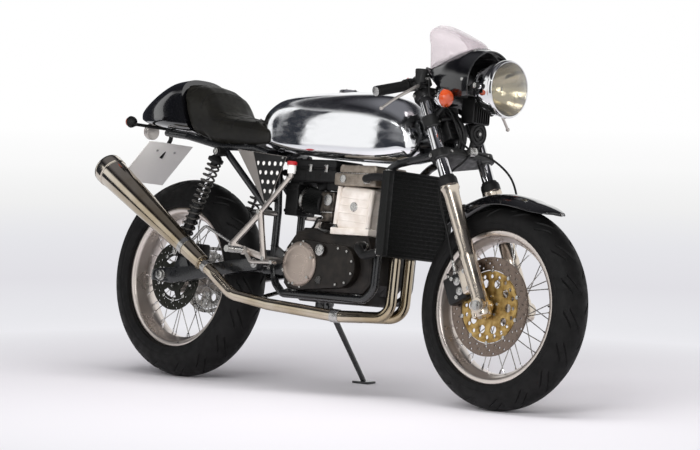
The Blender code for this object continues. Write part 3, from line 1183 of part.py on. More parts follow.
def fuel_tank():
    """The tank, skinned over its rings, with a tunnel for the frame under it and a filler cap."""
    length = 0.8
    tunnel = block((length, 2 * TANK_TUNNEL_HALF, 0.2), (0.7, 0, TANK_TUNNEL_ROOF - 0.1))
    neck = headstock_core(HEADSTOCK_RADIUS + 0.006, 0.02)
    cross = block((0.060, 0.24, 0.06), (BACKBONE_END, 0, CROSS_TUBE_Z - 0.012))
    cap = rod((CAP_X, 0, CAP_ROOF - 0.018), (CAP_X, 0, CAP_ROOF), CAP_RADIUS, CAP_RADIUS - 0.003, sides=24)
    solid = joined(loft(tank_rings(0)), cap)
    finish(cut(solid, tunnel, neck, cross), "fuel_tank", POLISHED_ALUMINIUM)


def padded_rings(sections, drop):
    """Rings across the machine that bound the seat or the tail, lowered by a margin."""
    return [rounded_ring(x, half_width, low - drop, high - drop, slant, 16, 2.7, 5.0)
            for x, slant, half_width, low, high in sections]


def seat_and_tail():
    """The padded seat with its hump, and the painted tail behind the slanting seam."""
    for name, paint, sections in (("seat", BLACK_LEATHER, SEAT_SECTIONS), ("tail_cowl", BLACK_PAINT, TAIL_SECTIONS)):
        solid = loft(padded_rings(sections, 0))
        if name == "seat":
            solid = cut(solid, loft(tank_rings(SEAT_GAP)))
        finish(solid, name, paint)


def side_panel(sign):
    """A triangular panel with a raised black part that is pierced by rows of holes."""
    place = Matrix.Translation((0, sign * PANEL_Y, 0)) @ SIDE_VIEW
    base = sheet([PANEL_OUTLINE], SHEET_METAL, place)
    holes = []
    for row, count in enumerate((5, 4, 3, 2)):
        for index in range(count):
            holes.append(circle((0.3875 + 0.0135 * row + 0.026 * index, 0.714 - 0.030 * row), 0.007, 6))
    raised = sheet([[(0.362, 0.7495), (0.511, 0.737), (0.447, 0.586), (0.437, 0.580)], *holes], SHEET_METAL,
                   Matrix.Translation((0, sign * (PANEL_Y + SHEET_METAL * 0.75), 0)) @ SIDE_VIEW)
    boss = rod((0.440, sign * (PIVOT_TUBE_Y + FRAME_TUBE + GAP), 0.598), (0.440, sign * PANEL_Y, 0.598), 0.006)
    return joined(base, raised, boss)


def tail_fittings():
    """The blank number plate on its bracket, the lamp above it and the two rear indicators."""
    bar = Vector((-0.180, 0, TAIL_BAR_Z))
    plate_top = Vector((-0.150, 0, 0.776))
    plate_low = Vector((-0.285, 0, 0.641))
    middle = (plate_top + plate_low) / 2
    slope = Matrix.Rotation(math.radians(-45), 4, "Y")
    plate = block(((plate_top - plate_low).length, 0.200, 0.003), middle, slope)
    arm = tube(rounded([(-0.155, 0, PLATE_STEM_TOP), (-0.155, 0, 0.790), middle + Vector((0.020, 0, 0.020))], 0.02), 0.007)
    finish(joined(plate, arm), "number_plate", PALE_PLASTIC)
    pieces = [rod(bar - Vector((0, 0.150, 0)), bar + Vector((0, 0.150, 0)), 0.0055, sides=12)]
    pieces += [ball(bar + Vector((0, sign * 0.163, 0.006)), 0.020) for sign in (1, -1)]
    finish(joined(*pieces), "rear_indicators", BLACK_RUBBER)
    lamp = turned([(0, 0.012), (0.022, 0.008), (0.028, 0), (0.028, -0.018), (0, -0.018)],
                  Matrix.Translation((-0.262, 0, TAIL_LAMP_Z)) @ Matrix.Rotation(math.radians(-90), 4, "Y"),
                  closed=False, steps=24)
    finish(lamp, "tail_lamp", RED_PLASTIC)


def reservoir():
    """The rear brake's fluid pot with its round cap, in front of the right side panel."""
    foot = Vector((RESERVOIR_X, -HANGER_Y, RESERVOIR_FLOOR + GAP))
    pot = rod(foot, foot + Vector((0, 0, 0.030)), 0.013)
    cap = rod(foot + Vector((0, 0, 0.027)), foot + Vector((0, 0, 0.040)), 0.016)
    finish(joined(pot, cap), "brake_reservoir", RED_PLASTIC)


# Side stand

def floor_point(x, left, up=0.0):
    """A point given above the floor and to the left of the tyres' line, in the machine's frame."""
    return Matrix.Rotation(LEAN_ANGLE, 3, "X") @ Vector((x, left, up))


def side_stand():
    pivot = Vector(STAND_PIVOT)
    foot = floor_point(STAND_FOOT_X, STAND_FOOT_Y, 0.004)
    ankle = floor_point(STAND_FOOT_X, STAND_FOOT_Y, 0.006)
    leg = tube([pivot, ankle], 0.010)
    shoe = block((0.070, 0.040, 0.008), foot, Matrix.Rotation(LEAN_ANGLE, 4, "X"))
    knuckle = rod(pivot - STAND_AXIS * 0.012, pivot + STAND_AXIS * 0.012, 0.016)
    turning = empty("side_stand_axis", Matrix.Translation(pivot), machine)
    finish(joined(leg, shoe, knuckle), "side_stand", DARK_STEEL, turning)


def stand_lug():
    """The lug below the left cradle tube that the stand's knuckle turns against."""
    pivot = Vector(STAND_PIVOT)
    face = pivot - STAND_AXIS * (0.012 + GAP)
    plate = block((0.040, 0.012, 0.052), (pivot.x, SIDE_TUBE_Y + 0.004, 0.276))
    return [plate, rod(face - STAND_AXIS * 0.022, face, 0.013)]


STAND_DOWN = (floor_point(STAND_FOOT_X, STAND_FOOT_Y) - Vector(STAND_PIVOT)).normalized()
STAND_FOLDED = Vector((-0.985, 0.110, -0.130)).normalized()
STAND_AXIS = STAND_DOWN.cross(STAND_FOLDED).normalized()

wheels()
front_end()
frame_and_rear()
engine()
fuel_tank()
seat_and_tail()
for side_name, side_sign in (("left", 1), ("right", -1)):
    finish(side_panel(side_sign), f"side_panel_{side_name}", DARK_STEEL)
tail_fittings()
reservoir()
side_stand()

bpy.context.view_layer.update()
corners = [piece.matrix_world @ vertex.co for piece in parts.objects if piece.type == "MESH"
           for vertex in piece.data.vertices]
machine.location = (-(min(c.x for c in corners) + max(c.x for c in corners)) / 2,
                    -(min(c.y for c in corners) + max(c.y for c in corners)) / 2,
                    -min(c.z for c in corners))
bpy.data.collections.remove(workshop)
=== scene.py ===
# %% [markdown]
# # Dressing a cafe racer motorcycle
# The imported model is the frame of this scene: every node already lies where it belongs, and every joint
# is known. What follows puts a finely made piece over each plain one, gives each surface a material of
# its own, and sets up the studio. Pieces are modelled in the machine's own upright frame, because that
# is how a motorcycle is drawn, and are laid over by its lean at the end.

# %% Load the frame
import json
import math

import bmesh
import bpy
from mathutils import Matrix, Vector


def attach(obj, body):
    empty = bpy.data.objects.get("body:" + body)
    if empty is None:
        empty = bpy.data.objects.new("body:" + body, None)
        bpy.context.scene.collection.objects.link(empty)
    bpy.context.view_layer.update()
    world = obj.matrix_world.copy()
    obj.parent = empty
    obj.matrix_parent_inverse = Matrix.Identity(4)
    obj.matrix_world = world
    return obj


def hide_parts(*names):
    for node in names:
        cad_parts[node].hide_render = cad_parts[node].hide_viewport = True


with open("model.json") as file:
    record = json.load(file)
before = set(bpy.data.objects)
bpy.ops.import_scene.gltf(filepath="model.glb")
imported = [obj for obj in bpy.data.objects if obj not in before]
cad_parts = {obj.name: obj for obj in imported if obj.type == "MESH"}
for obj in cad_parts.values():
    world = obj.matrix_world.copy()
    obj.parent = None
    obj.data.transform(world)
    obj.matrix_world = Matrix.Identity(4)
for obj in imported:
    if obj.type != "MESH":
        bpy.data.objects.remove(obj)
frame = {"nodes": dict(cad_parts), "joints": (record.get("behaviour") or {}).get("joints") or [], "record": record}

scene = bpy.context.scene
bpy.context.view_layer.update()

# %% [markdown]
# ## Frames of reference
# The rear wheel's joint gives the rear axle and the direction across the machine, so the lean is read
# from it. The fork's frame stands on the front axle with its Z up along the legs, and whatever steers is
# drawn in it: the legs, yokes and clamps then have round numbers.

# %% The machine's frame and the fork's
WHEELBASE = 1.380
RAKE = 26.0
FORK_OFFSET = 0.045
FRONT_RADIUS, FRONT_CROWN = 0.3105, 0.060
REAR_RADIUS, REAR_CROWN = 0.3285, 0.072

joints = {joint["name"]: joint for joint in frame["joints"]}
across = Vector(joints["rear_wheel_spin"]["axis"])
lean = math.atan2(-across.z, across.y)
FRONT_AXLE = Vector((WHEELBASE, 0, FRONT_RADIUS - FRONT_CROWN + FRONT_CROWN / math.cos(lean)))
REAR_AXLE = Vector((0, 0, REAR_RADIUS - REAR_CROWN + REAR_CROWN / math.cos(lean)))


def shift(x, y, z):
    return Matrix.Translation((x, y, z))


def turn(degrees, axis):
    return Matrix.Rotation(math.radians(degrees), 4, axis)


MACHINE = shift(*joints["rear_wheel_spin"]["pos_m"]) @ Matrix.Rotation(-lean, 4, "X") @ shift(*-REAR_AXLE)
FORK = shift(*FRONT_AXLE) @ turn(-RAKE, "Y")
SIDES = (("left", 1), ("right", -1))
ACROSS = turn(-90, "X")
AHEAD = turn(90, "Y")
print("the machine leans", round(math.degrees(lean), 2), "degrees")


def fork(forward, left, up):
    """A point of the fork's frame, in the machine's frame."""
    return FORK @ Vector((forward, left, up))


# %% [markdown]
# ## Colours and nodes
# Colours are written as sRGB hex values, the way a paint chart gives them, and one function makes them
# linear for the shader. One small function adds a node with its values and links. Every surface starts
# from a Principled shader whose plain values sit on its own sockets.

# %% Colour, node and surface helpers
def linear(code):
    """A hex colour as linear red, green, blue and alpha."""
    values = [int(code[place:place + 2], 16) / 255 for place in (1, 3, 5)]
    return (*[v / 12.92 if v <= 0.04045 else ((v + 0.055) / 1.055) ** 2.4 for v in values], 1.0)


def add(tree, kind, inputs=None, **settings):
    """Adds a node: settings are its properties, and inputs are values or other nodes' outputs."""
    made = tree.nodes.new(kind)
    for name, value in settings.items():
        setattr(made, name, value)
    for name, value in (inputs or {}).items():
        if isinstance(value, bpy.types.NodeSocket):
            tree.links.new(value, made.inputs[name])
        else:
            made.inputs[name].default_value = value
    return made


def surface(name, colour, roughness, metallic=0.0, **sockets):
    """A material with a Principled shader: its name, colour, roughness and other sockets."""
    made = bpy.data.materials.new(name)
    made.use_nodes = True
    shader = made.node_tree.nodes["Principled BSDF"]
    plain = {"Base Color": linear(colour), "Roughness": roughness, "Metallic": metallic}
    plain.update({key.replace("_", " "): value for key, value in sockets.items()})
    for socket, value in plain.items():
        shader.inputs[socket].default_value = value
    return made


def parts_of(made):
    """A material's tree, its shader and the Object coordinates that its patterns read."""
    tree = made.node_tree
    place = add(tree, "ShaderNodeTexCoord").outputs["Object"]
    return tree, tree.nodes["Principled BSDF"], place


def banded(tree, source, first, last, between=()):
    """A colour ramp on a value: its two ends and the stops between, each a position and a colour."""
    made = add(tree, "ShaderNodeValToRGB", {"Fac": source})
    ends = made.color_ramp.elements
    ends[0].position, ends[0].color = first[0], linear(first[1])
    ends[1].position, ends[1].color = last[0], linear(last[1])
    for position, colour in between:
        ends.new(position).color = linear(colour)
    return made.outputs["Color"]


def rough(made, scale, low, high, stretch=(1, 1, 1)):
    """Lets the roughness wander between two values in patches of about 1/scale metres."""
    tree, shader, place = parts_of(made)
    laid = add(tree, "ShaderNodeMapping", {"Vector": place, "Scale": stretch})
    patches = add(tree, "ShaderNodeTexNoise", {"Vector": laid.outputs[0], "Scale": scale, "Detail": 4.0})
    spread = add(tree, "ShaderNodeMapRange", {"Value": patches.outputs["Fac"], "From Min": 0.35,
                                              "From Max": 0.65, "To Min": low, "To Max": high})
    tree.links.new(spread.outputs[0], shader.inputs["Roughness"])


def mottled(made, scale, first, second):
    """Lets the colour wander between two colours in patches of about 1/scale metres."""
    tree, shader, place = parts_of(made)
    patches = add(tree, "ShaderNodeTexNoise", {"Vector": place, "Scale": scale, "Detail": 5.0})
    blend = banded(tree, patches.outputs["Fac"], (0.36, first), (0.64, second))
    tree.links.new(blend, shader.inputs["Base Color"])


def grained(made, scale, depth, kind="ShaderNodeTexNoise", **values):
    """Adds a bump from a texture: its grain is about 1/scale metres, its depth in metres."""
    tree, shader, place = parts_of(made)
    inputs = {"Vector": place, "Scale": scale}
    inputs.update({key.replace("_", " "): value for key, value in values.items()})
    grain = add(tree, kind, inputs)
    height = grain.outputs["Distance"] if kind == "ShaderNodeTexVoronoi" else grain.outputs[0]
    bump = add(tree, "ShaderNodeBump", {"Height": height, "Distance": depth, "Strength": 1.0})
    before = shader.inputs["Normal"].links
    if before:
        tree.links.new(before[0].from_socket, bump.inputs["Normal"])
    tree.links.new(bump.outputs[0], shader.inputs["Normal"])


# %% [markdown]
# ## The finishes of the machine
# Polished and cast aluminium, chrome, painted and stove-enamelled steel, tyre rubber, moulded rubber,
# leather, acrylic and glass. Each is named for what it is, and its pattern is scaled from a real size:
# sand-casting grain is about 1 mm, leather pebbles 2 mm, and hand polishing leaves marks of 5 to 20 mm.

# %% Metals
# Hand-polished sheet aluminium: near-mirror, with soft wandering marks from the mop
polished_tank = surface("polished_aluminium_sheet", "#f4f5f7", 0.10, 1.0)
rough(polished_tank, 22, 0.07, 0.17, stretch=(1, 1, 3))
grained(polished_tank, 7, 0.0006, Detail=2.0)
# Polished rim section: brighter and tighter than the tank
polished_rim = surface("polished_aluminium_rim", "#d6cdc6", 0.28, 1.0)
rough(polished_rim, 18, 0.26, 0.32)
# Polished fork sliders: a warmer casting alloy
slider_polish = surface("polished_slider_casting", "#d3c8ba", 0.2, 1.0)
rough(slider_polish, 16, 0.19, 0.25)
# Bead-blasted and lacquered castings: pale, slightly warm, with a fine grain of about 1 mm
cast = surface("cast_aluminium", "#948a7d", 0.42, 0.8)
mottled(cast, 34, "#847a6e", "#a59b8f")
rough(cast, 90, 0.34, 0.52)
grained(cast, 900, 0.00012, Detail=2.0)
# The barrel's casting is paler and chalkier than the case
pale_cast = surface("pale_cast_aluminium", "#e6ddd3", 0.55, 0.08)
mottled(pale_cast, 26, "#ddd3c8", "#ede6de")
grained(pale_cast, 800, 0.00015, Detail=2.0)
# The lower crankcase is darker with oil and road film
dark_cast = surface("oiled_cast_aluminium", "#1f1b18", 0.42, 0.5)
mottled(dark_cast, 20, "#171412", "#2a2521")
rough(dark_cast, 60, 0.28, 0.55)
grained(dark_cast, 800, 0.00015, Detail=2.0)
# Machined covers: satin with a soft sheen
satin = surface("satin_aluminium", "#c9c3bd", 0.34, 0.9)
rough(satin, 45, 0.28, 0.40)
grained(satin, 1200, 0.00004, Detail=1.0)
# The plates round the covers, darkened by heat and oil
dark_cover = surface("darkened_cover_aluminium", "#1d1916", 0.36, 0.5)
mottled(dark_cover, 40, "#171411", "#25201c")
grained(dark_cover, 900, 0.00006, Detail=1.0)
# The raised middle of each cover is a pinkish, worn satin
worn_satin = surface("worn_satin_aluminium", "#a4978d", 0.36, 0.75)
rough(worn_satin, 45, 0.26, 0.40)
# Bright chrome plate with faint haze
chrome = surface("chrome_plate", "#e9e9ea", 0.05, 1.0)
rough(chrome, 30, 0.03, 0.09)
# Polished stainless exhaust: warmer than chrome, browned by heat along its length
stainless = surface("heated_stainless_steel", "#c3b8a6", 0.12, 1.0)
mottled(stainless, 5, "#a8997f", "#d2c9bb")
rough(stainless, 30, 0.08, 0.16)
# Zinc-plated and bare steel fasteners, spokes and pins
steel = surface("bright_steel", "#b9b8b5", 0.25, 1.0)
rough(steel, 200, 0.18, 0.34)
# Cast carburettor bodies and dark fittings
dark_metal = surface("dark_zinc_casting", "#4b453e", 0.42, 0.85)
mottled(dark_metal, 60, "#2f2b27", "#6a625a")
grained(dark_metal, 900, 0.0001, Detail=1.0)
# Gold-anodised disc carriers
bronze = surface("gold_anodised_aluminium", "#a98a52", 0.36, 0.95)
mottled(bronze, 50, "#8a6d3c", "#c2a468")
# Brake discs: ground steel with fine rings that the pads leave
disc_steel = surface("ground_disc_steel", "#7a6d64", 0.3, 1.0)
rough(disc_steel, 120, 0.24, 0.40)
# The rear disc and its carrier have gone dark
dark_disc = surface("darkened_disc_steel", "#24251f", 0.38, 0.7)
rough(dark_disc, 80, 0.30, 0.48)
# Springs and chain plates: black steel given a dark grey colour, a painted reflection
spring_with_painted_reflection = surface("black_spring_painted_grey", "#4c4a47", 0.25, 0.6)
rough(spring_with_painted_reflection, 90, 0.2, 0.34)

# %% Paint, rubber, leather and plastics
# Stove enamel on the frame
enamel = surface("black_stove_enamel", "#101113", 0.28, 0.0, Coat_Weight=0.5, Coat_Roughness=0.1)
rough(enamel, 50, 0.22, 0.36)
# Gloss black bodywork under clear lacquer, with a faint orange peel about 2 mm across
gloss_black = surface("gloss_black_lacquer", "#08080a", 0.16, 0.0, Coat_Weight=1.0, Coat_Roughness=0.03)
grained(gloss_black, 450, 0.00003, Detail=1.0)
# Satin black for brackets and calipers
satin_black = surface("satin_black_paint", "#0d0d0d", 0.42, 0.0, Specular_IOR_Level=0.35)
rough(satin_black, 70, 0.34, 0.5)
grained(satin_black, 900, 0.00005, Detail=1.0)
# Tyre rubber: dark, dry on the walls, with a fine moulding grain
tyre_rubber = surface("tyre_rubber", "#060606", 0.62, 0.0, Specular_IOR_Level=0.22)
mottled(tyre_rubber, 30, "#050505", "#0a0909")
rough(tyre_rubber, 40, 0.5, 0.72)
grained(tyre_rubber, 700, 0.0001, Detail=3.0)
# Moulded rubber for grips and hoses
rubber = surface("moulded_rubber", "#0b0b0b", 0.5, 0.0, Specular_IOR_Level=0.3)
rough(rubber, 80, 0.42, 0.6)
# Black leather with a pebble grain about 2 mm across and an olive-grey sheen
leather = surface("black_leather", "#0c0b08", 0.40, 0.0, Specular_IOR_Level=0.3, Sheen_Weight=0.06,
                  Sheen_Roughness=0.5,
                  Sheen_Tint=linear("#8c8a78"))
mottled(leather, 14, "#0a0907", "#100f0b")
rough(leather, 60, 0.42, 0.56)
grained(leather, 480, 0.00025, "ShaderNodeTexVoronoi")
# Smoked acrylic for the screen
acrylic = surface("smoked_acrylic", "#d8d0d3", 0.05, 0.0, Transmission_Weight=0.72, IOR=1.3)
grained(acrylic, 6, 0.0001, Detail=1.0)
# The lamp's reflector, its silver dimmed to yellow-brown as painted shade and reflection; clear lamp glass, amber
# and red lenses
dimmed_reflector = surface("reflector_with_painted_reflection", "#a39a84", 0.14, 1.0)
rough(dimmed_reflector, 30, 0.1, 0.2)
glass = surface("clear_lamp_glass", "#fbfbfa", 0.02, 0.0, Transmission_Weight=1.0, IOR=1.5)
grained(glass, 60, 0.00008, Detail=1.0)
amber = surface("amber_lens", "#d2501c", 0.12, 0.0, Transmission_Weight=0.25, Coat_Weight=1.0)
grained(amber, 500, 0.0002, "ShaderNodeTexVoronoi")
red_lens = surface("red_lens", "#8a0f12", 0.12, 0.0, Transmission_Weight=0.25, Coat_Weight=1.0)
grained(red_lens, 500, 0.0002, "ShaderNodeTexVoronoi")
red_cap = surface("red_moulded_cap", "#a81a20", 0.3, 0.0)
grained(red_cap, 900, 0.00005, Detail=1.0)
plate_white = surface("satin_white_plate", "#f7f5f0", 0.4, 0.0)
rough(plate_white, 40, 0.34, 0.48)
panel_grey = surface("silver_grey_paint", "#8a8580", 0.3, 0.35, Coat_Weight=0.4)
grained(panel_grey, 1500, 0.00003, Detail=1.0)
fin_black = surface("radiator_black", "#060706", 0.5, 0.0, Specular_IOR_Level=0.25)
rough(fin_black, 90, 0.4, 0.6)
dial_face = surface("dial_face", "#e8e6df", 0.5, 0.0)
grained(dial_face, 900, 0.00002, Detail=1.0)
print(len(bpy.data.materials), "materials")

# %% [markdown]
# ## Shapes
# Nearly everything on a motorcycle is turned, bent from tube, cut from plate or cast as a block. So the
# helpers follow the workshop: a lathe spins a profile, a bar is a bevelled cylinder, a tube follows a
# smooth route, a plate is a filled outline given thickness, and a block has its edges rounded.

# %% Shapes in a bmesh
def put(target, shape, place=Matrix(), paint=0):
    """Adds one shape to a piece at a place, in one of the piece's material slots, and frees it."""
    bmesh.ops.remove_doubles(shape, verts=shape.verts, dist=0.000005)
    bmesh.ops.recalc_face_normals(shape, faces=shape.faces)
    for face in shape.faces:
        face.material_index = paint
    carrier = bpy.data.meshes.new("carrier")
    shape.to_mesh(carrier)
    shape.free()
    carrier.transform(place)
    target.from_mesh(carrier)
    bpy.data.meshes.remove(carrier)


def round_edges(shape, width, segments=2, limit=40):
    """Rounds the edges of a shape that are sharper than a limit."""
    sharp = [edge for edge in shape.edges
             if len(edge.link_faces) == 2 and edge.calc_face_angle(0) > math.radians(limit)]
    bmesh.ops.bevel(shape, geom=sharp, offset=width, segments=segments, profile=0.5, affect="EDGES",
                    material=-1, clamp_overlap=True)


def lathe(target, profile, place=Matrix(), steps=64, closed=False, paint=0):
    """Turns a profile of (radius, height) points about local Z."""
    shape = bmesh.new()
    points = [shape.verts.new((radius, 0, height)) for radius, height in profile]
    edges = [shape.edges.new(pair) for pair in zip(points, points[1:])]
    if closed:
        edges.append(shape.edges.new((points[-1], points[0])))
    bmesh.ops.spin(shape, geom=points + edges, cent=(0, 0, 0), axis=(0, 0, 1), dvec=(0, 0, 0),
                   angle=2 * math.pi, steps=steps, use_merge=True)
    put(target, shape, place, paint)


def along(start, end):
    """The matrix that lays local Z from one point toward another, starting at the first."""
    start, end = Vector(start), Vector(end)
    return Matrix.Translation(start) @ (end - start).to_track_quat("Z", "Y").to_matrix().to_4x4()


def bar(target, start, end, radius, end_radius=None, sides=24, edge=0.0008, paint=0, place=Matrix()):
    """A round bar or cone between two points, its end edges rounded."""
    shape = bmesh.new()
    length = (Vector(end) - Vector(start)).length
    bmesh.ops.create_cone(shape, cap_ends=True, segments=sides, depth=length, radius1=radius,
                          radius2=radius if end_radius is None else end_radius,
                          matrix=shift(0, 0, length / 2))
    if edge:
        caps = [e for e in shape.edges if any(len(face.verts) > 4 for face in e.link_faces)]
        bmesh.ops.bevel(shape, geom=caps, offset=edge, segments=2, profile=0.5, affect="EDGES", material=-1)
    put(target, shape, place @ along(start, end), paint)


def block(target, size, place, edge=0.002, segments=3, paint=0):
    """A box with rounded edges."""
    shape = bmesh.new()
    bmesh.ops.create_cube(shape, size=1.0, matrix=Matrix.Diagonal((*size, 1)))
    bmesh.ops.bevel(shape, geom=shape.edges[:], offset=edge, segments=segments, profile=0.5, affect="EDGES",
                    material=-1)
    put(target, shape, place, paint)


def flowing(points, count):
    """Points evenly spread on a smooth curve through a route's own points."""
    points = [Vector(point) for point in points]
    padded = [2 * points[0] - points[1], *points, 2 * points[-1] - points[-2]]
    spans = len(points) - 1
    route = []
    for step in range(count + 1):
        at = min(step * spans / count, spans - 1e-9)
        share = at - int(at)
        a, b, c, d = padded[int(at):int(at) + 4]
        route.append(((2 * b) + (c - a) * share + (2 * a - 5 * b + 4 * c - d) * share ** 2
                      + (3 * b - a - 3 * c + d) * share ** 3) / 2)
    return route


def rounded(points, bend, steps=8):
    """A route whose inner corners are arcs of one radius, as a tube bender makes them."""
    points = [Vector(point) for point in points]
    route = [points[0]]
    for before, corner, after in zip(points, points[1:], points[2:]):
        back, ahead = (before - corner).normalized(), (after - corner).normalized()
        half = back.angle(ahead) / 2
        reach = min(bend / math.tan(half), 0.48 * (before - corner).length, 0.48 * (after - corner).length)
        radius = reach * math.tan(half)
        middle = corner + (back + ahead).normalized() * radius / math.sin(half)
        first = (corner + back * reach - middle).normalized()
        last = (corner + ahead * reach - middle).normalized()
        route += [middle + first.slerp(last, step / steps) * radius for step in range(steps + 1)]
    return route + [points[-1]]


def tube(target, route, radius, resolution=4, paint=0):
    """A round tube along a route; the radius may be a list with one value a point."""
    curve = bpy.data.curves.new("route", "CURVE")
    curve.dimensions = "3D"
    curve.bevel_depth = 1.0
    curve.bevel_resolution = resolution
    curve.use_fill_caps = True
    spline = curve.splines.new("POLY")
    spline.points.add(len(route) - 1)
    radii = radius if isinstance(radius, list) else [radius] * len(route)
    for point, at, size in zip(spline.points, route, radii):
        point.co = (*at, 1)
        point.radius = size
    holder = bpy.data.objects.new("route", curve)
    scene.collection.objects.link(holder)
    mesh = bpy.data.meshes.new_from_object(holder.evaluated_get(bpy.context.evaluated_depsgraph_get()))
    bpy.data.objects.remove(holder, do_unlink=True)
    bpy.data.curves.remove(curve)
    shape = bmesh.new()
    shape.from_mesh(mesh)
    bpy.data.meshes.remove(mesh)
    put(target, shape, paint=paint)


def ring_of(centre, radius, count):
    """Points of a circle in a flat outline."""
    return [(centre[0] + radius * math.cos(2 * math.pi * step / count),
             centre[1] + radius * math.sin(2 * math.pi * step / count)) for step in range(count)]


def plate(target, outlines, thickness, place, edge=0.0006, paint=0):
    """A flat plate: the first outline is its edge, the others are holes; its middle plane is local XY."""
    shape = bmesh.new()
    edges = []
    for outline in outlines:
        corners = [shape.verts.new((x, y, -thickness / 2)) for x, y in outline]
        edges += [shape.edges.new(pair) for pair in zip(corners, corners[1:] + corners[:1])]
    bmesh.ops.triangle_fill(shape, edges=edges, use_beauty=True, use_dissolve=False)
    if len(outlines) == 1:
        bmesh.ops.dissolve_limit(shape, angle_limit=0.001, verts=shape.verts, edges=shape.edges,
                                 delimit={"NORMAL"})
    raised = bmesh.ops.extrude_face_region(shape, geom=shape.faces[:])
    top = [item for item in raised["geom"] if isinstance(item, bmesh.types.BMVert)]
    bmesh.ops.translate(shape, vec=(0, 0, thickness), verts=top)
    bmesh.ops.recalc_face_normals(shape, faces=shape.faces)
    if edge:
        round_edges(shape, edge, 2, 60)
    put(target, shape, place, paint)


def arc(centre, radius, start, end, steps):
    """Points of an arc in a flat outline, its angles in degrees."""
    return [(centre[0] + radius * math.cos(math.radians(start + (end - start) * step / steps)),
             centre[1] + radius * math.sin(math.radians(start + (end - start) * step / steps)))
            for step in range(steps + 1)]


def capsule(first, first_radius, second, second_radius, steps=16):
    """An outline round two circles and along the straight lines that touch both."""
    reach = Vector(second) - Vector(first)
    heading = math.degrees(math.atan2(reach.y, reach.x))
    opening = math.degrees(math.acos((first_radius - second_radius) / reach.length))
    return (arc(second, second_radius, heading - opening, heading + opening, steps)
            + arc(first, first_radius, heading + opening, heading + 360 - opening, steps))


def hull_outline(corners, radius, steps=6):
    """The outline at one distance outside a convex outline whose corners run anticlockwise."""
    outline = []
    for before, corner, after in zip(corners[-1:] + corners[:-1], corners, corners[1:] + corners[:1]):
        arriving = math.degrees(math.atan2(corner[1] - before[1], corner[0] - before[0])) - 90
        leaving = math.degrees(math.atan2(after[1] - corner[1], after[0] - corner[0])) - 90
        outline += arc(corner, radius, arriving, arriving + (leaving - arriving) % 360, steps)
    return outline


def skin(target, rings, place=Matrix(), paint=0):
    """A skin bridged over rings of equally many points, each a loop of edges, with its ends filled."""
    shape = bmesh.new()
    loops = []
    for ring in rings:
        corners = [shape.verts.new(point) for point in ring]
        loops.append([shape.edges.new(pair) for pair in zip(corners, corners[1:] + corners[:1])])
    for first, second in zip(loops, loops[1:]):
        bmesh.ops.bridge_loops(shape, edges=first + second)
    for loop in (loops[0], loops[-1]):
        bmesh.ops.contextual_create(shape, geom=loop)
    put(target, shape, place, paint)


def sheet(target, rows, thickness, merge=False):
    """Joins rows of verts into one skin, merges those that coincide if asked, and thickens it."""
    for row, following in zip(rows, rows[1:]):
        for index in range(len(row) - 1):
            target.faces.new((row[index], row[index + 1], following[index + 1], following[index]))
    if merge:
        bmesh.ops.remove_doubles(target, verts=target.verts, dist=0.00001)
    bmesh.ops.recalc_face_normals(target, faces=target.faces)
    bmesh.ops.solidify(target, geom=target.faces[:], thickness=thickness)


def bolt(target, at, direction, radius=0.005, height=0.005, paint=0):
    """A hexagon head on a washer, at a point, pointing a way."""
    at, direction = Vector(at), Vector(direction).normalized()
    bar(target, at, at + direction * height * 0.3, radius * 1.35, sides=20, edge=0.0003, paint=paint)
    bar(target, at + direction * height * 0.2, at + direction * height, radius, sides=6, edge=0.0005,
        paint=paint)


def screw(target, at, direction, radius=0.004, height=0.004, paint=0, place=Matrix()):
    """A socket-head screw, with its socket sunk in."""
    shape = bmesh.new()
    bmesh.ops.create_cone(shape, cap_ends=True, segments=16, depth=height, radius1=radius, radius2=radius,
                          matrix=shift(0, 0, height / 2))
    top = [face for face in shape.faces if face.normal.z > 0.9]
    bmesh.ops.inset_region(shape, faces=top, thickness=radius * 0.42, depth=0)
    bmesh.ops.inset_region(shape, faces=[face for face in top if face.is_valid], thickness=0.0001,
                           depth=-height * 0.5)
    at = Vector(at)
    put(target, shape, place @ along(at, at + Vector(direction)), paint)


# %% [markdown]
# A finished piece is one object at the origin, so its place is laid into its mesh. It rides on a body,
# says which solids it stands for, and takes the finishes it is given.

# %% Finishing a piece
def finish(name, body, bm, surfaces, nodes=(), place=MACHINE, sharp=34):
    """Makes a piece from a bmesh, in place, on its body; sharp is the angle above which an edge stays hard."""
    mesh = bpy.data.meshes.new(name)
    bm.to_mesh(mesh)
    bm.free()
    mesh.transform(place)
    piece = bpy.data.objects.new(name, mesh)
    scene.collection.objects.link(piece)
    for made in surfaces:
        mesh.materials.append(made)
    mesh.shade_smooth()
    mesh.set_sharp_from_angle(angle=math.radians(sharp))
    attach(piece, body)
    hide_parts(*nodes)
    print(name, len(mesh.polygons), "faces")
    return piece


# %% [markdown]
# ## The camera
# The photograph looks at the machine's right side from in front, from just above hub height, through a
# long lens. The view was fitted to the wheels, axles and tank, so it is used as found.

# %% Camera
AZIMUTH, ELEVATION, DISTANCE = 43.58, 3.40, 9.201
azimuth, elevation = math.radians(AZIMUTH), math.radians(ELEVATION)
look = Vector((-math.sin(azimuth) * math.cos(elevation), math.cos(azimuth) * math.cos(elevation),
               -math.sin(elevation)))
origin = MACHINE @ Vector((0, 0, 0))
target = Vector((origin.x + 0.780, origin.y, 0.537))
camera = bpy.data.objects.new("camera", bpy.data.cameras.new("camera"))
camera.data.lens, camera.data.sensor_width = 150.5, 36.0
camera.location = target - look * DISTANCE
camera.rotation_euler = look.to_track_quat("-Z", "Y").to_euler()
camera.data.clip_end = 200
scene.collection.objects.link(camera)
scene.camera = camera
print("camera at", [round(value, 3) for value in camera.location])

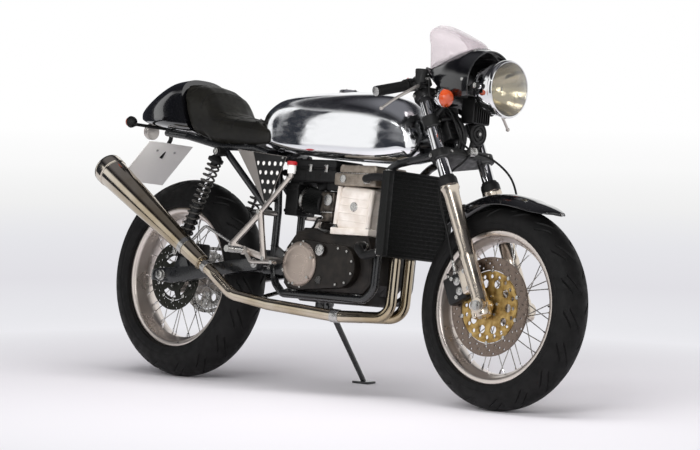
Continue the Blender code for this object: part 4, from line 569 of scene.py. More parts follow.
# %% [markdown]
# ## Tyres
# The cross-section is a round crown that narrows to the bead. The grid of faces is sheared round the
# wheel in proportion to the distance from the middle, so a groove sunk along one column of faces runs
# diagonally, as moulded tread does. Grooves are inset runs of faces, 3 mm deep, on alternate sides.

# %% Tyres with diagonal grooves
FLANGE, BEAD, RIM_INNER = 0.2325, 0.218, 0.199
TREAD_STEPS = 144


def tyre(name, body, node, radius, width, bead_half, axle):
    crown = width / 2
    wall = math.degrees(math.acos((FLANGE + 0.004 - radius + crown) / crown))
    dips = {84: 0.0, 86: 0.0011, 88: 0.0011, 90: 0.0}
    angles = [0, 5, 10, 16, 22, 28, 34, 40, 46, 52, 58, 64, 70, 76, 80, *dips, 94, 97]
    angles = [angle for angle in angles if angle < wall - 2] + [wall]
    half = []
    for angle in angles:
        reach = crown - dips.get(angle, 0)
        half.append((radius - crown + reach * math.cos(math.radians(angle)),
                     reach * math.sin(math.radians(angle))))
    half += [(FLANGE + 0.0012, half[-1][1] - 0.004), (FLANGE + 0.0003, half[-1][1] - 0.007),
             (FLANGE + 0.0003, bead_half), (BEAD + 0.0003, bead_half)]
    profile = [(distance, -height) for distance, height in reversed(half[1:])] + half
    bm = bmesh.new()
    points = [bm.verts.new((distance, 0, height)) for distance, height in profile]
    edges = [bm.edges.new(pair) for pair in zip(points, points[1:] + points[:1])]
    bmesh.ops.spin(bm, geom=points + edges, cent=(0, 0, 0), axis=(0, 0, 1), dvec=(0, 0, 0),
                   angle=2 * math.pi, steps=TREAD_STEPS, use_merge=True)
    bmesh.ops.remove_doubles(bm, verts=bm.verts, dist=0.00001)
    grooves = []
    for face in bm.faces:
        middle = face.calc_center_median()
        column = int((math.atan2(middle.y, middle.x) % (2 * math.pi)) / (2 * math.pi) * TREAD_STEPS)
        angle = math.degrees(math.atan2(middle.z, math.hypot(middle.x, middle.y) - radius + crown))
        if (column % 8 == 0 and 5 < angle < 46) or (column % 8 == 4 and -46 < angle < -5):
            grooves.append(face)
        elif (column % 8 == 3 and 34 < angle < 64) or (column % 8 == 7 and -64 < angle < -34):
            grooves.append(face)
    for vert in bm.verts:
        angle = math.atan2(vert.co.z, math.hypot(vert.co.x, vert.co.y) - radius + crown)
        vert.co = Matrix.Rotation(-0.30 * abs(angle), 3, "Z") @ vert.co
    bmesh.ops.recalc_face_normals(bm, faces=bm.faces)
    bmesh.ops.inset_region(bm, faces=grooves, thickness=0.0036, depth=-0.003, use_even_offset=True)
    finish(name, body, bm, [tyre_rubber], [node], MACHINE @ shift(*axle) @ ACROSS, sharp=30)


FRONT_RIM, REAR_RIM = 0.047, 0.055
tyre("front_tyre_tread", "front_wheel", "front_tyre", FRONT_RADIUS, 0.120, FRONT_RIM - 0.0063, FRONT_AXLE)
tyre("rear_tyre_tread", "rear_wheel", "rear_tyre", REAR_RADIUS, 0.144, REAR_RIM - 0.0063, REAR_AXLE)

# %% [markdown]
# ## Spoked wheels
# A polished rim with rolled lips and a dropped well, a turned hub with two flanges, and 36 spokes laced
# three-cross: each leaves its flange at a slant, reaches the well at a chromed nipple and has its
# bent head on the flange.

# %% Rims, spokes and hubs
def wheel(name, body, node, rim_half, axle, left_boss, right_boss):
    bm = bmesh.new()
    place = shift(*axle) @ ACROSS
    half = [(RIM_INNER, 0), (RIM_INNER, 0.013), (0.2003, 0.019), (0.2045, 0.025), (0.2100, rim_half - 0.014),
            (0.2140, rim_half - 0.0045), (0.2180, rim_half - 0.0014), (0.2250, rim_half - 0.0003),
            (0.2300, rim_half), (0.2320, rim_half - 0.0010), (FLANGE, rim_half - 0.0030),
            (0.2318, rim_half - 0.0050), (0.2300, rim_half - 0.0060), (0.2183, rim_half - 0.0060)]
    profile = half + [(distance, -height) for distance, height in reversed(half[1:])]
    lathe(bm, profile, place, 128, closed=True)
    flange, inner, outer, boss = 0.052, 0.0305, 0.0415, 0.040
    hub = [(0.0095, left_boss), (0.022, left_boss), (0.023, left_boss - 0.002), (0.032, left_boss - 0.002),
           (0.033, left_boss), (boss - 0.001, left_boss), (boss, left_boss - 0.001), (boss, outer + 0.003),
           (0.043, outer), (flange - 0.001, outer), (flange, outer - 0.001), (flange, inner + 0.001),
           (flange - 0.001, inner), (0.040, inner), (0.031, inner - 0.005), (0.0275, inner - 0.014),
           (0.027, 0.006)]
    other = [(distance, -height) for distance, height in reversed(hub)]
    other = [(distance, height if height > -outer - 0.001 else min(-outer, height + left_boss - right_boss))
             for distance, height in other]
    lathe(bm, hub + other, place, 64, closed=True, paint=1)
    for index in range(36):
        side = 1 if index % 2 else -1
        lead = 1 if index // 2 % 2 else -1
        outside = math.radians(10 * index)
        inside = outside + math.radians(52) * lead
        foot = axle + Vector((0.046 * math.cos(inside), side * (0.036 + 0.0066 * lead),
                              0.046 * math.sin(inside)))
        end = axle + Vector((0.2005 * math.cos(outside), side * 0.009, 0.2005 * math.sin(outside)))
        line = (end - foot).normalized()
        bar(bm, foot, end, 0.0016, sides=10, edge=0, paint=2)
        bar(bm, end - line * 0.016, end, 0.0026, 0.0034, sides=8, edge=0.0003, paint=3)
        bar(bm, foot - Vector((0, side * lead * 0.001, 0)), foot + Vector((0, side * lead * 0.0022, 0)), 0.0032,
            sides=10, edge=0.0005, paint=2)
    valve = axle + Vector((0.200 * math.cos(0.09), 0, 0.200 * math.sin(0.09)))
    bar(bm, valve, valve + (axle - valve).normalized() * 0.026, 0.0035, 0.0028, sides=12, paint=4)
    finish(name, body, bm, [polished_rim, satin, steel, chrome, rubber], [node], sharp=32)


wheel("front_wheel_spokes", "front_wheel", "front_spoked_rim", FRONT_RIM, FRONT_AXLE, 0.0602, 0.0602)
wheel("rear_wheel_spokes", "rear_wheel", "rear_spoked_rim", REAR_RIM, REAR_AXLE, 0.0847, 0.0632)

# %% [markdown]
# ## Discs, sprocket and chain
# Each disc is a ring drilled in a repeating pattern of three, on a carrier that ten bobbins hold. The front
# carrier is pierced with round holes, and the rear one has open windows.
# The sprocket has a tooth for each roller, and the chain is laid link by link round both sprockets, its
# pitch of 15.9 mm adjusted so that a whole number of links closes the loop.

# %% Brake discs
def disc(name, body, node, radius, inner, y, axle, arms, drillings, slot):
    bm = bmesh.new()
    place = shift(axle.x, y, axle.z) @ turn(90, "X")
    holes = []
    for index in range(drillings):
        for part, share in enumerate((0.2, 0.5, 0.8)):
            angle = 2 * math.pi * (index + part / 3) / drillings
            reach = inner + 0.004 + (radius - inner - 0.004) * share
            holes.append(ring_of((reach * math.cos(angle), reach * math.sin(angle)), 0.0033, 10))
    plate(bm, [ring_of((0, 0), radius, 96), ring_of((0, 0), inner + 0.003, 72), *holes], 0.0046, place, 0.0004)
    windows = [] if arms else [ring_of(centre, size, 20)
                               for reach, count, size in ((0.092, 20, 0.0062), (0.072, 10, 0.0125))
                               for centre in ring_of((0, 0), reach, count)]
    for index in range(arms):
        start, end = 360 / arms * index + 8, 360 / arms * (index + 1) - 8
        windows.append(arc((0, 0), inner - 0.008, start, end, 8)
                       + list(reversed(arc((0, 0), 0.050, start + 7, end - 7, 4))))
    plate(bm, [ring_of((0, 0), inner + 0.0005, 72), ring_of((0, 0), 0.0095, 32), *windows], 0.005, place,
          0.0007, paint=1)
    for index in range(10):
        angle = 2 * math.pi * (index + 0.5) / 10
        at = place @ Vector((inner * 1.012 * math.cos(angle), inner * 1.012 * math.sin(angle), 0))
        bar(bm, at - Vector((0, 0.0031, 0)), at + Vector((0, 0.0031, 0)), 0.0062, sides=20, edge=0.0006,
            paint=2)
    for index in range(6):
        angle = 2 * math.pi * index / 6 + 0.3
        at = Vector((axle.x + 0.033 * math.cos(angle), y, axle.z + 0.033 * math.sin(angle)))
        screw(bm, at + Vector((0, math.copysign(0.002, y), 0)), (0, math.copysign(1, y), 0), 0.0045, 0.0042,
              paint=2)
    gold = slot == "gold_aluminium"
    finish(name, body, bm, [disc_steel, bronze, steel] if gold else [dark_disc, dark_disc, steel], [node])


disc("front_disc", "front_wheel", "front_brake_disc", 0.150, 0.108, -0.063, FRONT_AXLE, 0, 20, "gold_aluminium")
disc("rear_disc", "rear_wheel", "rear_brake_disc", 0.112, 0.078, -0.066, REAR_AXLE, 5, 15, "dark_steel")

# %% Sprocket and chain
CHAIN_Y = 0.088
CHAIN_LINE = 0.0995 + 0.006
GEARBOX = Vector((0.535, 0, 0.398))
TEETH = 41

bm = bmesh.new()
outline = []
for tooth in range(TEETH):
    for share, reach in ((0.0, 0.0915), (0.14, 0.0918), (0.30, 0.0965), (0.42, 0.0980), (0.58, 0.0980),
                         (0.70, 0.0965), (0.86, 0.0918)):
        angle = 2 * math.pi * (tooth + share) / TEETH
        outline.append((reach * math.cos(angle), reach * math.sin(angle)))
windows = [ring_of((0.066 * math.cos(a), 0.066 * math.sin(a)), 0.0125, 24)
           for a in (2 * math.pi * i / 6 for i in range(6))]
windows += [ring_of((0.080 * math.cos(a), 0.080 * math.sin(a)), 0.0045, 14)
            for a in (2 * math.pi * (i + 0.5) / 6 for i in range(6))]
plate(bm, [outline, ring_of((0, 0), 0.0095, 32), *windows], 0.006,
      shift(REAR_AXLE.x, CHAIN_Y, REAR_AXLE.z) @ turn(90, "X"), 0.0006)
for index in range(6):
    angle = 2 * math.pi * index / 6
    bolt(bm, (REAR_AXLE.x + 0.034 * math.cos(angle), CHAIN_Y + 0.003, REAR_AXLE.z + 0.034 * math.sin(angle)),
         (0, 1, 0), 0.0055, 0.006, paint=1)
finish("rear_sprocket_teeth", "rear_wheel", bm, [steel, chrome], ["rear_sprocket"])

loop = [Vector((x, CHAIN_Y, z)) for x, z in capsule((REAR_AXLE.x, REAR_AXLE.z), CHAIN_LINE,
                                                    (GEARBOX.x, GEARBOX.z), 0.0355 + 0.006, 48)]
loop.append(loop[0])
lengths = [0.0]
for first, second in zip(loop, loop[1:]):
    lengths.append(lengths[-1] + (second - first).length)
count = 2 * round(lengths[-1] / 0.015875 / 2)


def at_length(value):
    """The point of the chain's loop some way along it."""
    value %= lengths[-1]
    index = max(i for i, reached in enumerate(lengths[:-1]) if reached <= value)
    share = (value - lengths[index]) / (lengths[index + 1] - lengths[index])
    return loop[index].lerp(loop[index + 1], share)


bm = bmesh.new()
pitch = lengths[-1] / count
for index in range(count):
    start, end = at_length(index * pitch), at_length((index + 1) * pitch)
    outer = index % 2
    reach = (end - start).length
    tilt = math.atan2(end.z - start.z, end.x - start.x)
    place = Matrix.Translation(start) @ Matrix.Rotation(-tilt, 4, "Y") @ turn(90, "X")
    for y in (-1, 1):
        plate(bm, [capsule((0, 0), 0.0053, (reach, 0), 0.005299, 6)], 0.0014,
              place @ shift(0, 0, y * (0.0061 if outer else 0.0045)), 0, paint=outer)
    bar(bm, start - Vector((0, 0.0037, 0)), start + Vector((0, 0.0037, 0)), 0.0048, sides=12, edge=0, paint=1)
    bar(bm, start - Vector((0, 0.0069, 0)), start + Vector((0, 0.0069, 0)), 0.0024, sides=10, edge=0.0003,
        paint=1)
print("the chain has", count, "links of", round(pitch * 1000, 2), "mm")
finish("drive_chain_links", "chassis", bm, [dark_metal, steel], ["drive_chain"])

# %% [markdown]
# ## The fork
# The legs are drawn in the fork's frame. A slider is a cast tube with a foot that clamps the axle, a lug
# for the brake and a rubber dust seal, and the chromed stanchion runs up from it through both yokes.

# %% Fork legs
LEG_Y = 0.100
LEG = [(0.0, -0.034), (0.020, -0.034), (0.0235, -0.031), (0.0250, -0.022), (0.0262, 0.026), (0.0252, 0.030),
       (0.0252, 0.150), (0.0262, 0.156), (0.0262, 0.168), (0.0250, 0.174), (0.0250, 0.362), (0.0262, 0.368),
       (0.0270, 0.376), (0.0310, 0.384), (0.0310, 0.392), (0.0296, 0.394)]
for side, sign in SIDES:
    bm = bmesh.new()
    leg = shift(0, sign * LEG_Y, 0)
    lathe(bm, LEG, leg, 48)
    lathe(bm, [(0.0296, 0.394), (0.0300, 0.396), (0.0300, 0.412), (0.0285, 0.419), (0.0240, 0.4225),
               (0.0240, 0.4265), (0.0206, 0.4270)], leg, 48, paint=1)
    lathe(bm, [(0.0205, 0.420), (0.0205, 0.7640), (0.0195, 0.7655), (0, 0.7655)], leg, 48, paint=2)
    lathe(bm, [(0, 0.768), (0.0095, 0.768), (0.0105, 0.767), (0.0105, 0.7655)], leg, 6, paint=3)
    block(bm, (0.050, 0.028, 0.078), shift(-0.0227, sign * LEG_Y, 0.094), 0.006)
    bar(bm, (0, sign * 0.0735, 0), (0, sign * 0.1265, 0), 0.0245, sides=40, edge=0.0015)
    block(bm, (0.016, 0.044, 0.028), shift(-0.023, sign * LEG_Y, -0.018), 0.004)
    for up in (-0.026, -0.010):
        screw(bm, (-0.0305, sign * LEG_Y, up), (-1, 0, 0), 0.0042, 0.005, paint=3)
    for up in (0.066, 0.122):
        bolt(bm, (-0.020, sign * (LEG_Y + 0.0135), up), (0, sign, 0), 0.006, 0.006, paint=3)
    screw(bm, (0, sign * LEG_Y, -0.034), (0, 0, -1), 0.007, 0.0005, paint=3)
    finish(f"fork_leg_{side}_turned", "front_end", bm, [slider_polish, rubber, chrome, steel],
           [f"fork_leg_{side}"], MACHINE @ FORK, sharp=36)

# %% [markdown]
# The yokes are plates round both legs and the stem, with pockets and pinch bolts. The axle has a hexagon
# at each end, in washers.

# %% Yokes and front axle
LOWER_YOKE, TOP_YOKE, CLAMP = 0.500, 0.701, 0.033
bm = bmesh.new()
corners = [(0, LEG_Y), (-FORK_OFFSET, 0), (0, -LEG_Y)]
for up in (LOWER_YOKE, TOP_YOKE):
    holes = [ring_of((0, sign * LEG_Y), 0.0208, 32) for sign in (1, -1)]
    pocket = [hull_outline([(-0.004, sign * 0.050), (-0.020, sign * 0.030), (-0.004, sign * 0.030)][::sign],
                           0.006)
              for sign in (1, -1)] if up == TOP_YOKE else []
    plate(bm, [hull_outline(corners, CLAMP, 12), *holes, *pocket], 0.024, shift(0, 0, up), 0.0025)
    for sign in (1, -1):
        bolt(bm, (0.030, sign * 0.084, up), (1, 0, 0), 0.005, 0.006, paint=1)
        bolt(bm, (-0.012, sign * 0.1325, up), (-0.2, sign, 0), 0.0045, 0.0045, paint=1)
bar(bm, (-FORK_OFFSET, 0, LOWER_YOKE), (-FORK_OFFSET, 0, 0.712), 0.0150, sides=32)
lathe(bm, [(0.0110, 0.713), (0.0190, 0.713), (0.0200, 0.7145), (0.0200, 0.7235), (0.0190, 0.7250),
           (0.0110, 0.7250), (0.0100, 0.7235)], shift(-FORK_OFFSET, 0, 0), 6, closed=True, paint=1)
finish("fork_yokes_machined", "front_end", bm, [satin_black, steel], ["fork_yokes"],
       MACHINE @ FORK)

bm = bmesh.new()
bar(bm, (0, -0.134, 0), (0, 0.134, 0), 0.0085, sides=32)
for sign in (1, -1):
    bar(bm, (0, sign * 0.1273, 0), (0, sign * 0.1285, 0), 0.0160, sides=32, edge=0.0003)
    bar(bm, (0, sign * 0.1284, 0), (0, sign * 0.1350, 0), 0.0140, sides=6, edge=0.0010)
finish("front_axle_turned", "front_end", bm, [steel], ["front_axle"], MACHINE @ FORK)

# %% [markdown]
# ## Refined copies
# Where the solid already has the right form, such as a caliper cut round its disc, the piece starts as a
# copy of it: its loose triangles are merged, flat areas joined, and its edges rounded with a bevel.

# %% A refined copy of a solid
def refined(name, body, node, surfaces, edge=0.0015, extra=None):
    """A copy of a solid with merged faces and rounded edges; extra is a bmesh in the machine's frame."""
    bm = bmesh.new()
    bm.from_mesh(frame["nodes"][node].data)
    bm.transform(MACHINE.inverted() @ frame["nodes"][node].matrix_world)
    bmesh.ops.remove_doubles(bm, verts=bm.verts, dist=0.00003)
    bmesh.ops.dissolve_limit(bm, angle_limit=math.radians(1.5), verts=bm.verts, edges=bm.edges)
    bmesh.ops.recalc_face_normals(bm, faces=bm.faces)
    if edge:
        round_edges(bm, edge, 2, 30)
    for face in bm.faces:
        face.material_index = 0
    if extra:
        details = bpy.data.meshes.new("details")
        extra.to_mesh(details)
        extra.free()
        bm.from_mesh(details)
        bpy.data.meshes.remove(details)
    return finish(name, body, bm, surfaces, [node], sharp=38)


# %% [markdown]
# ## Brakes
# Both calipers are copies of their solids, whose slots already clear the discs. They gain bridge bolts, a
# bleed nipple, the banjo that the hose ends in, and the pads' pin.

# %% Calipers
extra = bmesh.new()
for up in (0.064, 0.124):
    screw(extra, (-0.086, -0.096, up), (0, -1, 0), 0.0062, 0.004, paint=1, place=FORK)
for up in (0.078, 0.110):
    lathe(extra, [(0, 0.0025), (0.0115, 0.0025), (0.0130, 0.0012), (0.0130, -0.001)],
          FORK @ shift(-0.070, -0.0962, up) @ turn(90, "X"), 28, paint=1)
bar(extra, (-0.078, -0.082, 0.137), (-0.078, -0.082, 0.146), 0.0075, sides=20, paint=1, place=FORK)
bar(extra, (-0.108, -0.082, 0.136), (-0.108, -0.082, 0.150), 0.0030, sides=12, paint=1, place=FORK)
bar(extra, (-0.108, -0.082, 0.146), (-0.108, -0.082, 0.152), 0.0040, sides=12, paint=2, place=FORK)
refined("front_caliper_cast", "front_end", "front_caliper", [satin_black, steel, rubber], 0.0025,
        extra=extra)
extra = bmesh.new()
for x in (0.070, 0.120):
    screw(extra, (x, -0.0958, 0.428), (0, -1, 0), 0.0055, 0.004, paint=1)
bar(extra, (0.112, -0.082, 0.440), (0.112, -0.082, 0.452), 0.0030, sides=12, paint=1)
refined("rear_caliper_cast", "chassis", "rear_caliper", [satin_black, steel], 0.002, extra=extra)

# %% [markdown]
# ## Front mudguard
# The guard is a sheet swept round the tyre, domed across, whose half width closes to a tip in front. Its
# sections are interpolated, so the outline flows, and the sheet gains thickness and a rolled edge.

# %% Front mudguard
GUARD = [(-40, 0.060), (-28, 0.067), (-14, 0.067), (0, 0.067), (12, 0.066), (22, 0.058), (29, 0.042),
         (34, 0.014)]
bm = bmesh.new()
path = flowing([(angle, width, 0) for angle, width in GUARD], 56)
rows = []
for angle, half_width, _ in path:
    tilt = math.radians(angle)
    row = []
    for step in range(-9, 10):
        share = step / 9
        radius = 0.345 - 0.034 * share ** 4 * half_width / 0.067 + 0.012 * max(0, angle - 20) / 14
        row.append(bm.verts.new(FRONT_AXLE + Vector((radius * math.sin(tilt), share * half_width,
                                                     radius * math.cos(tilt)))))
    rows.append(row)
sheet(bm, rows, 0.0026)
rim = [flowing([row[end].co for row in rows[::4]] + [rows[-1][end].co], 80) for end in (0, -1)]
for route in rim:
    tube(bm, [point + (FRONT_AXLE - point).normalized() * 0.0012 for point in route], 0.0021, 3)
for sign in (1, -1):
    block(bm, (0.030, 0.012, 0.020), FORK @ shift(0, sign * 0.0665, 0.322), 0.002)
    bolt(bm, fork(0.004, sign * 0.0600, 0.322), (0, -sign, 0), 0.005, 0.003, paint=1)
finish("front_mudguard_sheet", "front_end", bm, [gloss_black, steel], ["front_mudguard"],
       sharp=40)

# %% [markdown]
# ## Headlamp and indicators
# The lamp is a spun chrome bowl with a rim and a fluted glass in front, and a reflector and bulb can be
# seen through the glass. The indicators are small chrome bowls with amber lenses.

# %% Headlamp
LAMP = Vector((WHEELBASE - 0.062, 0, 0.975))
LAMP_R = 0.089
bm = bmesh.new()
place = Matrix.Translation(LAMP) @ AHEAD
bowl = [(0.0, -0.1035), (0.020, -0.1025), (0.038, -0.0985), (0.054, -0.0905), (0.066, -0.0790),
        (0.0745, -0.0640), (0.0800, -0.0450), (0.0835, -0.0250), (0.0845, -0.0080), (0.0845, -0.0060),
        (0.0868, -0.0055), (0.0885, -0.0040), (LAMP_R, -0.0010), (LAMP_R, 0.0060), (0.0875, 0.0100),
        (0.0850, 0.0115), (0.0825, 0.0105), (0.0818, 0.0080)]
lathe(bm, bowl, place, 72)
reflector = [(0.0818, 0.0080), (0.078, 0.0010), (0.068, -0.0180), (0.055, -0.0360), (0.040, -0.0500),
             (0.025, -0.0590), (0.016, -0.0620), (0.0125, -0.0600), (0.0110, -0.0450), (0.0, -0.0430)]
lathe(bm, reflector, place, 72, paint=1)
bar(bm, LAMP + Vector((-0.046, 0, 0)), LAMP + Vector((-0.020, 0, 0)), 0.0095, 0.0080, sides=24, paint=2)
for sign in (1, -1):
    bar(bm, LAMP + Vector((-0.045, sign * 0.076, 0)), LAMP + Vector((-0.045, sign * 0.0862, 0)), 0.009,
        sides=24)
screw(bm, LAMP + Vector((0.002, 0, -0.0885)), (0, 0, -1), 0.003, 0.0015, paint=3)
finish("headlamp_bowl", "front_end", bm, [chrome, dimmed_reflector, glass, steel], ["headlamp"])

bm = bmesh.new()
lens = [(0.0, 0.0255), (0.020, 0.0248), (0.040, 0.0226), (0.058, 0.0188), (0.072, 0.0144), (0.0820, 0.0095),
        (0.0820, 0.0070), (0.071, 0.0112), (0.057, 0.0156), (0.040, 0.0194), (0.020, 0.0216), (0.0, 0.0223)]
shape = bmesh.new()
points = [shape.verts.new((radius, 0, height)) for radius, height in lens]
edges = [shape.edges.new(pair) for pair in zip(points, points[1:])]
bmesh.ops.spin(shape, geom=points + edges, cent=(0, 0, 0), axis=(0, 0, 1), dvec=(0, 0, 0), angle=2 * math.pi,
               steps=96, use_merge=True)
bmesh.ops.remove_doubles(shape, verts=shape.verts, dist=0.00001)
for vert in shape.verts:
    inside = vert.co.z < 0.0224 - 0.0125 * (math.hypot(vert.co.x, vert.co.y) / 0.082) ** 2
    if inside and math.hypot(vert.co.x, vert.co.y) < 0.080:
        vert.co.z += 0.0006 * math.cos(vert.co.y / 0.0040 * math.pi)
put(bm, shape, place)
finish("headlamp_glass", "front_end", bm, [glass], [], sharp=50)

# %% Front indicators
for side, sign in SIDES:
    bm = bmesh.new()
    at = Vector((1.194, sign * 0.140, 0.930))
    place = Matrix.Translation(at) @ AHEAD
    lathe(bm, [(0, -0.0375), (0.0080, -0.0365), (0.0150, -0.0330), (0.0210, -0.0260), (0.0255, -0.0170),
               (0.0280, -0.0080), (0.0290, -0.0050), (0.0290, -0.0010), (0.0280, 0.0006), (0.0268, 0.0000),
               (0.0268, -0.0060)], place, 48)
    lathe(bm, [(0.0268, -0.0040), (0.0272, 0.0010), (0.0268, 0.0060), (0.0250, 0.0120), (0.0215, 0.0175),
               (0.0160, 0.0212), (0.0090, 0.0233), (0, 0.0240)], place, 48, paint=1)
    bar(bm, at + Vector((-0.016, -sign * 0.010, 0)), at + Vector((-0.016, -sign * 0.0395, 0)), 0.0055, 0.0062,
        sides=20, paint=2)
    lathe(bm, [(0.0085, 0), (0.0085, 0.004), (0.0062, 0.006)],
          shift(1.178, sign * 0.1010, 0.930) @ turn(-90 * sign, "X"), 24, paint=2)
    finish(f"front_indicator_{side}_lamp", "front_end", bm, [chrome, amber, satin_black],
           [f"front_indicator_{side}"])

# %% [markdown]
# The bracket that carries the lamp is two split clamps on the stanchions with bent arms. The horn hangs
# from its cross bar, a pressed dish with a grille of rings.

# %% Lamp bracket and horn
bm = bmesh.new()
UP = 0.610
for sign in (1, -1):
    leg = FORK @ shift(0, sign * LEG_Y, UP)
    lathe(bm, [(0.0209, -0.018), (0.0268, -0.018), (0.0277, -0.017), (0.0277, 0.017), (0.0268, 0.018),
               (0.0209, 0.018)],
          leg, 40, closed=True)
    for up in (-0.009, 0.009):
        screw(bm, fork(0.0265, sign * (LEG_Y - 0.004), UP + up), FORK.to_3x3() @ Vector((1, 0, 0)), 0.0036,
              0.004, paint=1)
    lug = LAMP + Vector((-0.045, sign * 0.093, 0))
    clamp = fork(0, sign * LEG_Y, UP)
    middle = Vector((WHEELBASE - 0.200, lug.y, 0.938))
    start = clamp + (middle - clamp).normalized() * 0.024
    tube(bm, rounded([start, middle, lug], 0.05), 0.006, 6)
    bar(bm, lug - Vector((0, sign * 0.0065, 0)), lug + Vector((0, sign * 0.0070, 0)), 0.011, sides=28)
    bolt(bm, lug + Vector((0, sign * 0.0068, 0)), (0, sign, 0), 0.006, 0.0034, paint=1)
    bar(bm, (WHEELBASE - 0.138, sign * 0.093, 0.967), (WHEELBASE - 0.138, sign * 0.1055, 0.967), 0.004,
        sides=16, paint=1)
ends = [fork(0.024, sign * (LEG_Y - 0.016), UP) for sign in (1, -1)]
cross = fork(0.040, 0, UP)
tube(bm, rounded([ends[0], (cross.x, 0.05, cross.z), (cross.x, -0.05, cross.z), ends[1]], 0.02), 0.008, 6)
horn = cross + Vector((0.036, 0.034, -0.038))
lathe(bm, [(0, -0.022), (0.016, -0.022), (0.018, -0.020), (0.019, -0.010), (0.034, -0.005), (0.0372, -0.002),
           (0.0380, 0.002), (0.0372, 0.006), (0.0330, 0.0085), (0.0310, 0.006), (0.0255, 0.006),
           (0.0235, 0.010), (0.0205, 0.010), (0.0185, 0.007), (0.0130, 0.007), (0.0112, 0.0115), (0, 0.0115)],
      Matrix.Translation(horn) @ AHEAD, 48, paint=2)
bolt(bm, horn + Vector((0.0115, 0, 0)), (1, 0, 0), 0.004, 0.0024, paint=1)
case = shift(cross.x + 0.026, 0.030, cross.z + 0.030)
block(bm, (0.052, 0.078, 0.078), case, 0.004)
block(bm, (0.056, 0.070, 0.006), case @ shift(0, 0, 0.0345), 0.0015)
for fin in range(7):
    block(bm, (0.009, 0.0030, 0.062), case @ shift(0.0275, -0.030 + 0.010 * fin, -0.004), 0.0008, 2, paint=2)
for y, z in ((-0.033, 0.029), (0.033, 0.029)):
    screw(bm, (0.0258, y, z), (1, 0, 0), 0.0034, 0.0026, paint=1, place=case)
for y in (-0.020, 0.006):
    block(bm, (0.020, 0.018, 0.012), case @ shift(-0.004, y, 0.0405), 0.002, 2, paint=2)
tube(bm, flowing([case @ Vector((-0.004, 0.020, 0.038)), case @ Vector((0.004, 0.022, 0.052)),
                  case @ Vector((0.030, 0.012, 0.062)), case @ Vector((0.046, -0.010, 0.066))], 20), 0.0032, 4,
     paint=2)
tube(bm, flowing([horn + Vector((-0.018, 0, 0.012)), horn + Vector((-0.026, 0.004, 0.024)),
                  case @ Vector((-0.024, 0.012, -0.038))], 14),
     0.0026, 4, paint=2)
# The fuse box and the fat wiring loom fill the room between the stanchions
fuse = FORK @ shift(0.018, -0.036, 0.600)
block(bm, (0.034, 0.066, 0.112), fuse, 0.004)
block(bm, (0.038, 0.070, 0.020), fuse @ shift(0, 0, 0.044), 0.003)
for rib in range(4):
    block(bm, (0.004, 0.050, 0.004), fuse @ shift(0.0175, 0, -0.036 + 0.016 * rib), 0.001, 2, paint=2)
for side, reach, thick in ((-1, 0.030, 0.0085), (1, 0.020, 0.0075), (-1, 0.052, 0.0055), (1, 0.058, 0.0060)):
    tube(bm, flowing([fork(0.020, side * reach, 0.655), fork(0.040, side * reach * 1.1, 0.625),
                      fork(0.052, side * reach * 0.9, 0.585), fork(0.048, side * reach * 0.8, 0.545),
                      fork(0.024, side * reach * 0.8, 0.512)], 30), thick, 5, paint=2)
finish("headlamp_bracket_bent", "front_end", bm, [satin_black, steel, satin_black], ["headlamp_bracket"])

# %% [markdown]
# ## Cowl and screen
# The cowl is a thin moulding round the lamp. Its sections are interpolated into a smooth skin, with a
# soft edge bead in front. The bubble screen stands on it, held by small bright screws in washers.

# %% Cowl
COWL_ROWS, COWL_STEPS = 30, 40
COWL = [(-0.303, 0.106, 1.026, 1.068), (-0.262, 0.112, 0.985, 1.080), (-0.225, 0.116, 0.955, 1.091),
        (-0.180, 0.117, 0.940, 1.097), (-0.150, 0.114, 0.940, 1.094), (-0.128, 0.110, 0.945, 1.089)]
COWL = [(WHEELBASE + ahead, width, low, high) for ahead, width, low, high in COWL]
XWH = flowing([(x, width, high) for x, width, low, high in COWL], COWL_ROWS)
LOWS = flowing([(x, low, 0) for x, width, low, high in COWL], COWL_ROWS)


def cowl_ring(index, margin):
    """One section of the cowl, from its right edge over the top to its left edge."""
    x, half_width, high = XWH[index]
    ring = []
    for step in range(COWL_STEPS + 1):
        angle = math.radians(-22 + 224 * step / COWL_STEPS)
        reach = half_width + margin
        ring.append(Vector((x, reach * math.cos(angle),
                            max(high - half_width + reach * math.sin(angle), LOWS[index].y))))
    return ring


bm = bmesh.new()
rows = [[bm.verts.new(point) for point in cowl_ring(index, 0.002)] for index in range(COWL_ROWS + 1)]
sheet(bm, rows, 0.0036, merge=True)
tube(bm, cowl_ring(COWL_ROWS, 0.0003), 0.0024, 4)
tube(bm, cowl_ring(0, 0.0003), 0.0022, 4)
for sign in (1, -1):
    for index, degrees in ((9, 56), (21, 66), (25, 6)):
        x, half_width, high = XWH[index]
        out = Vector((0, sign * math.cos(math.radians(degrees)), math.sin(math.radians(degrees))))
        screw(bm, Vector((x, 0, high - half_width)) + out * (half_width + 0.0018), out, 0.0050, 0.0026, paint=1)
finish("fairing_cowl", "front_end", bm, [gloss_black, steel], ["fairing"], sharp=40)

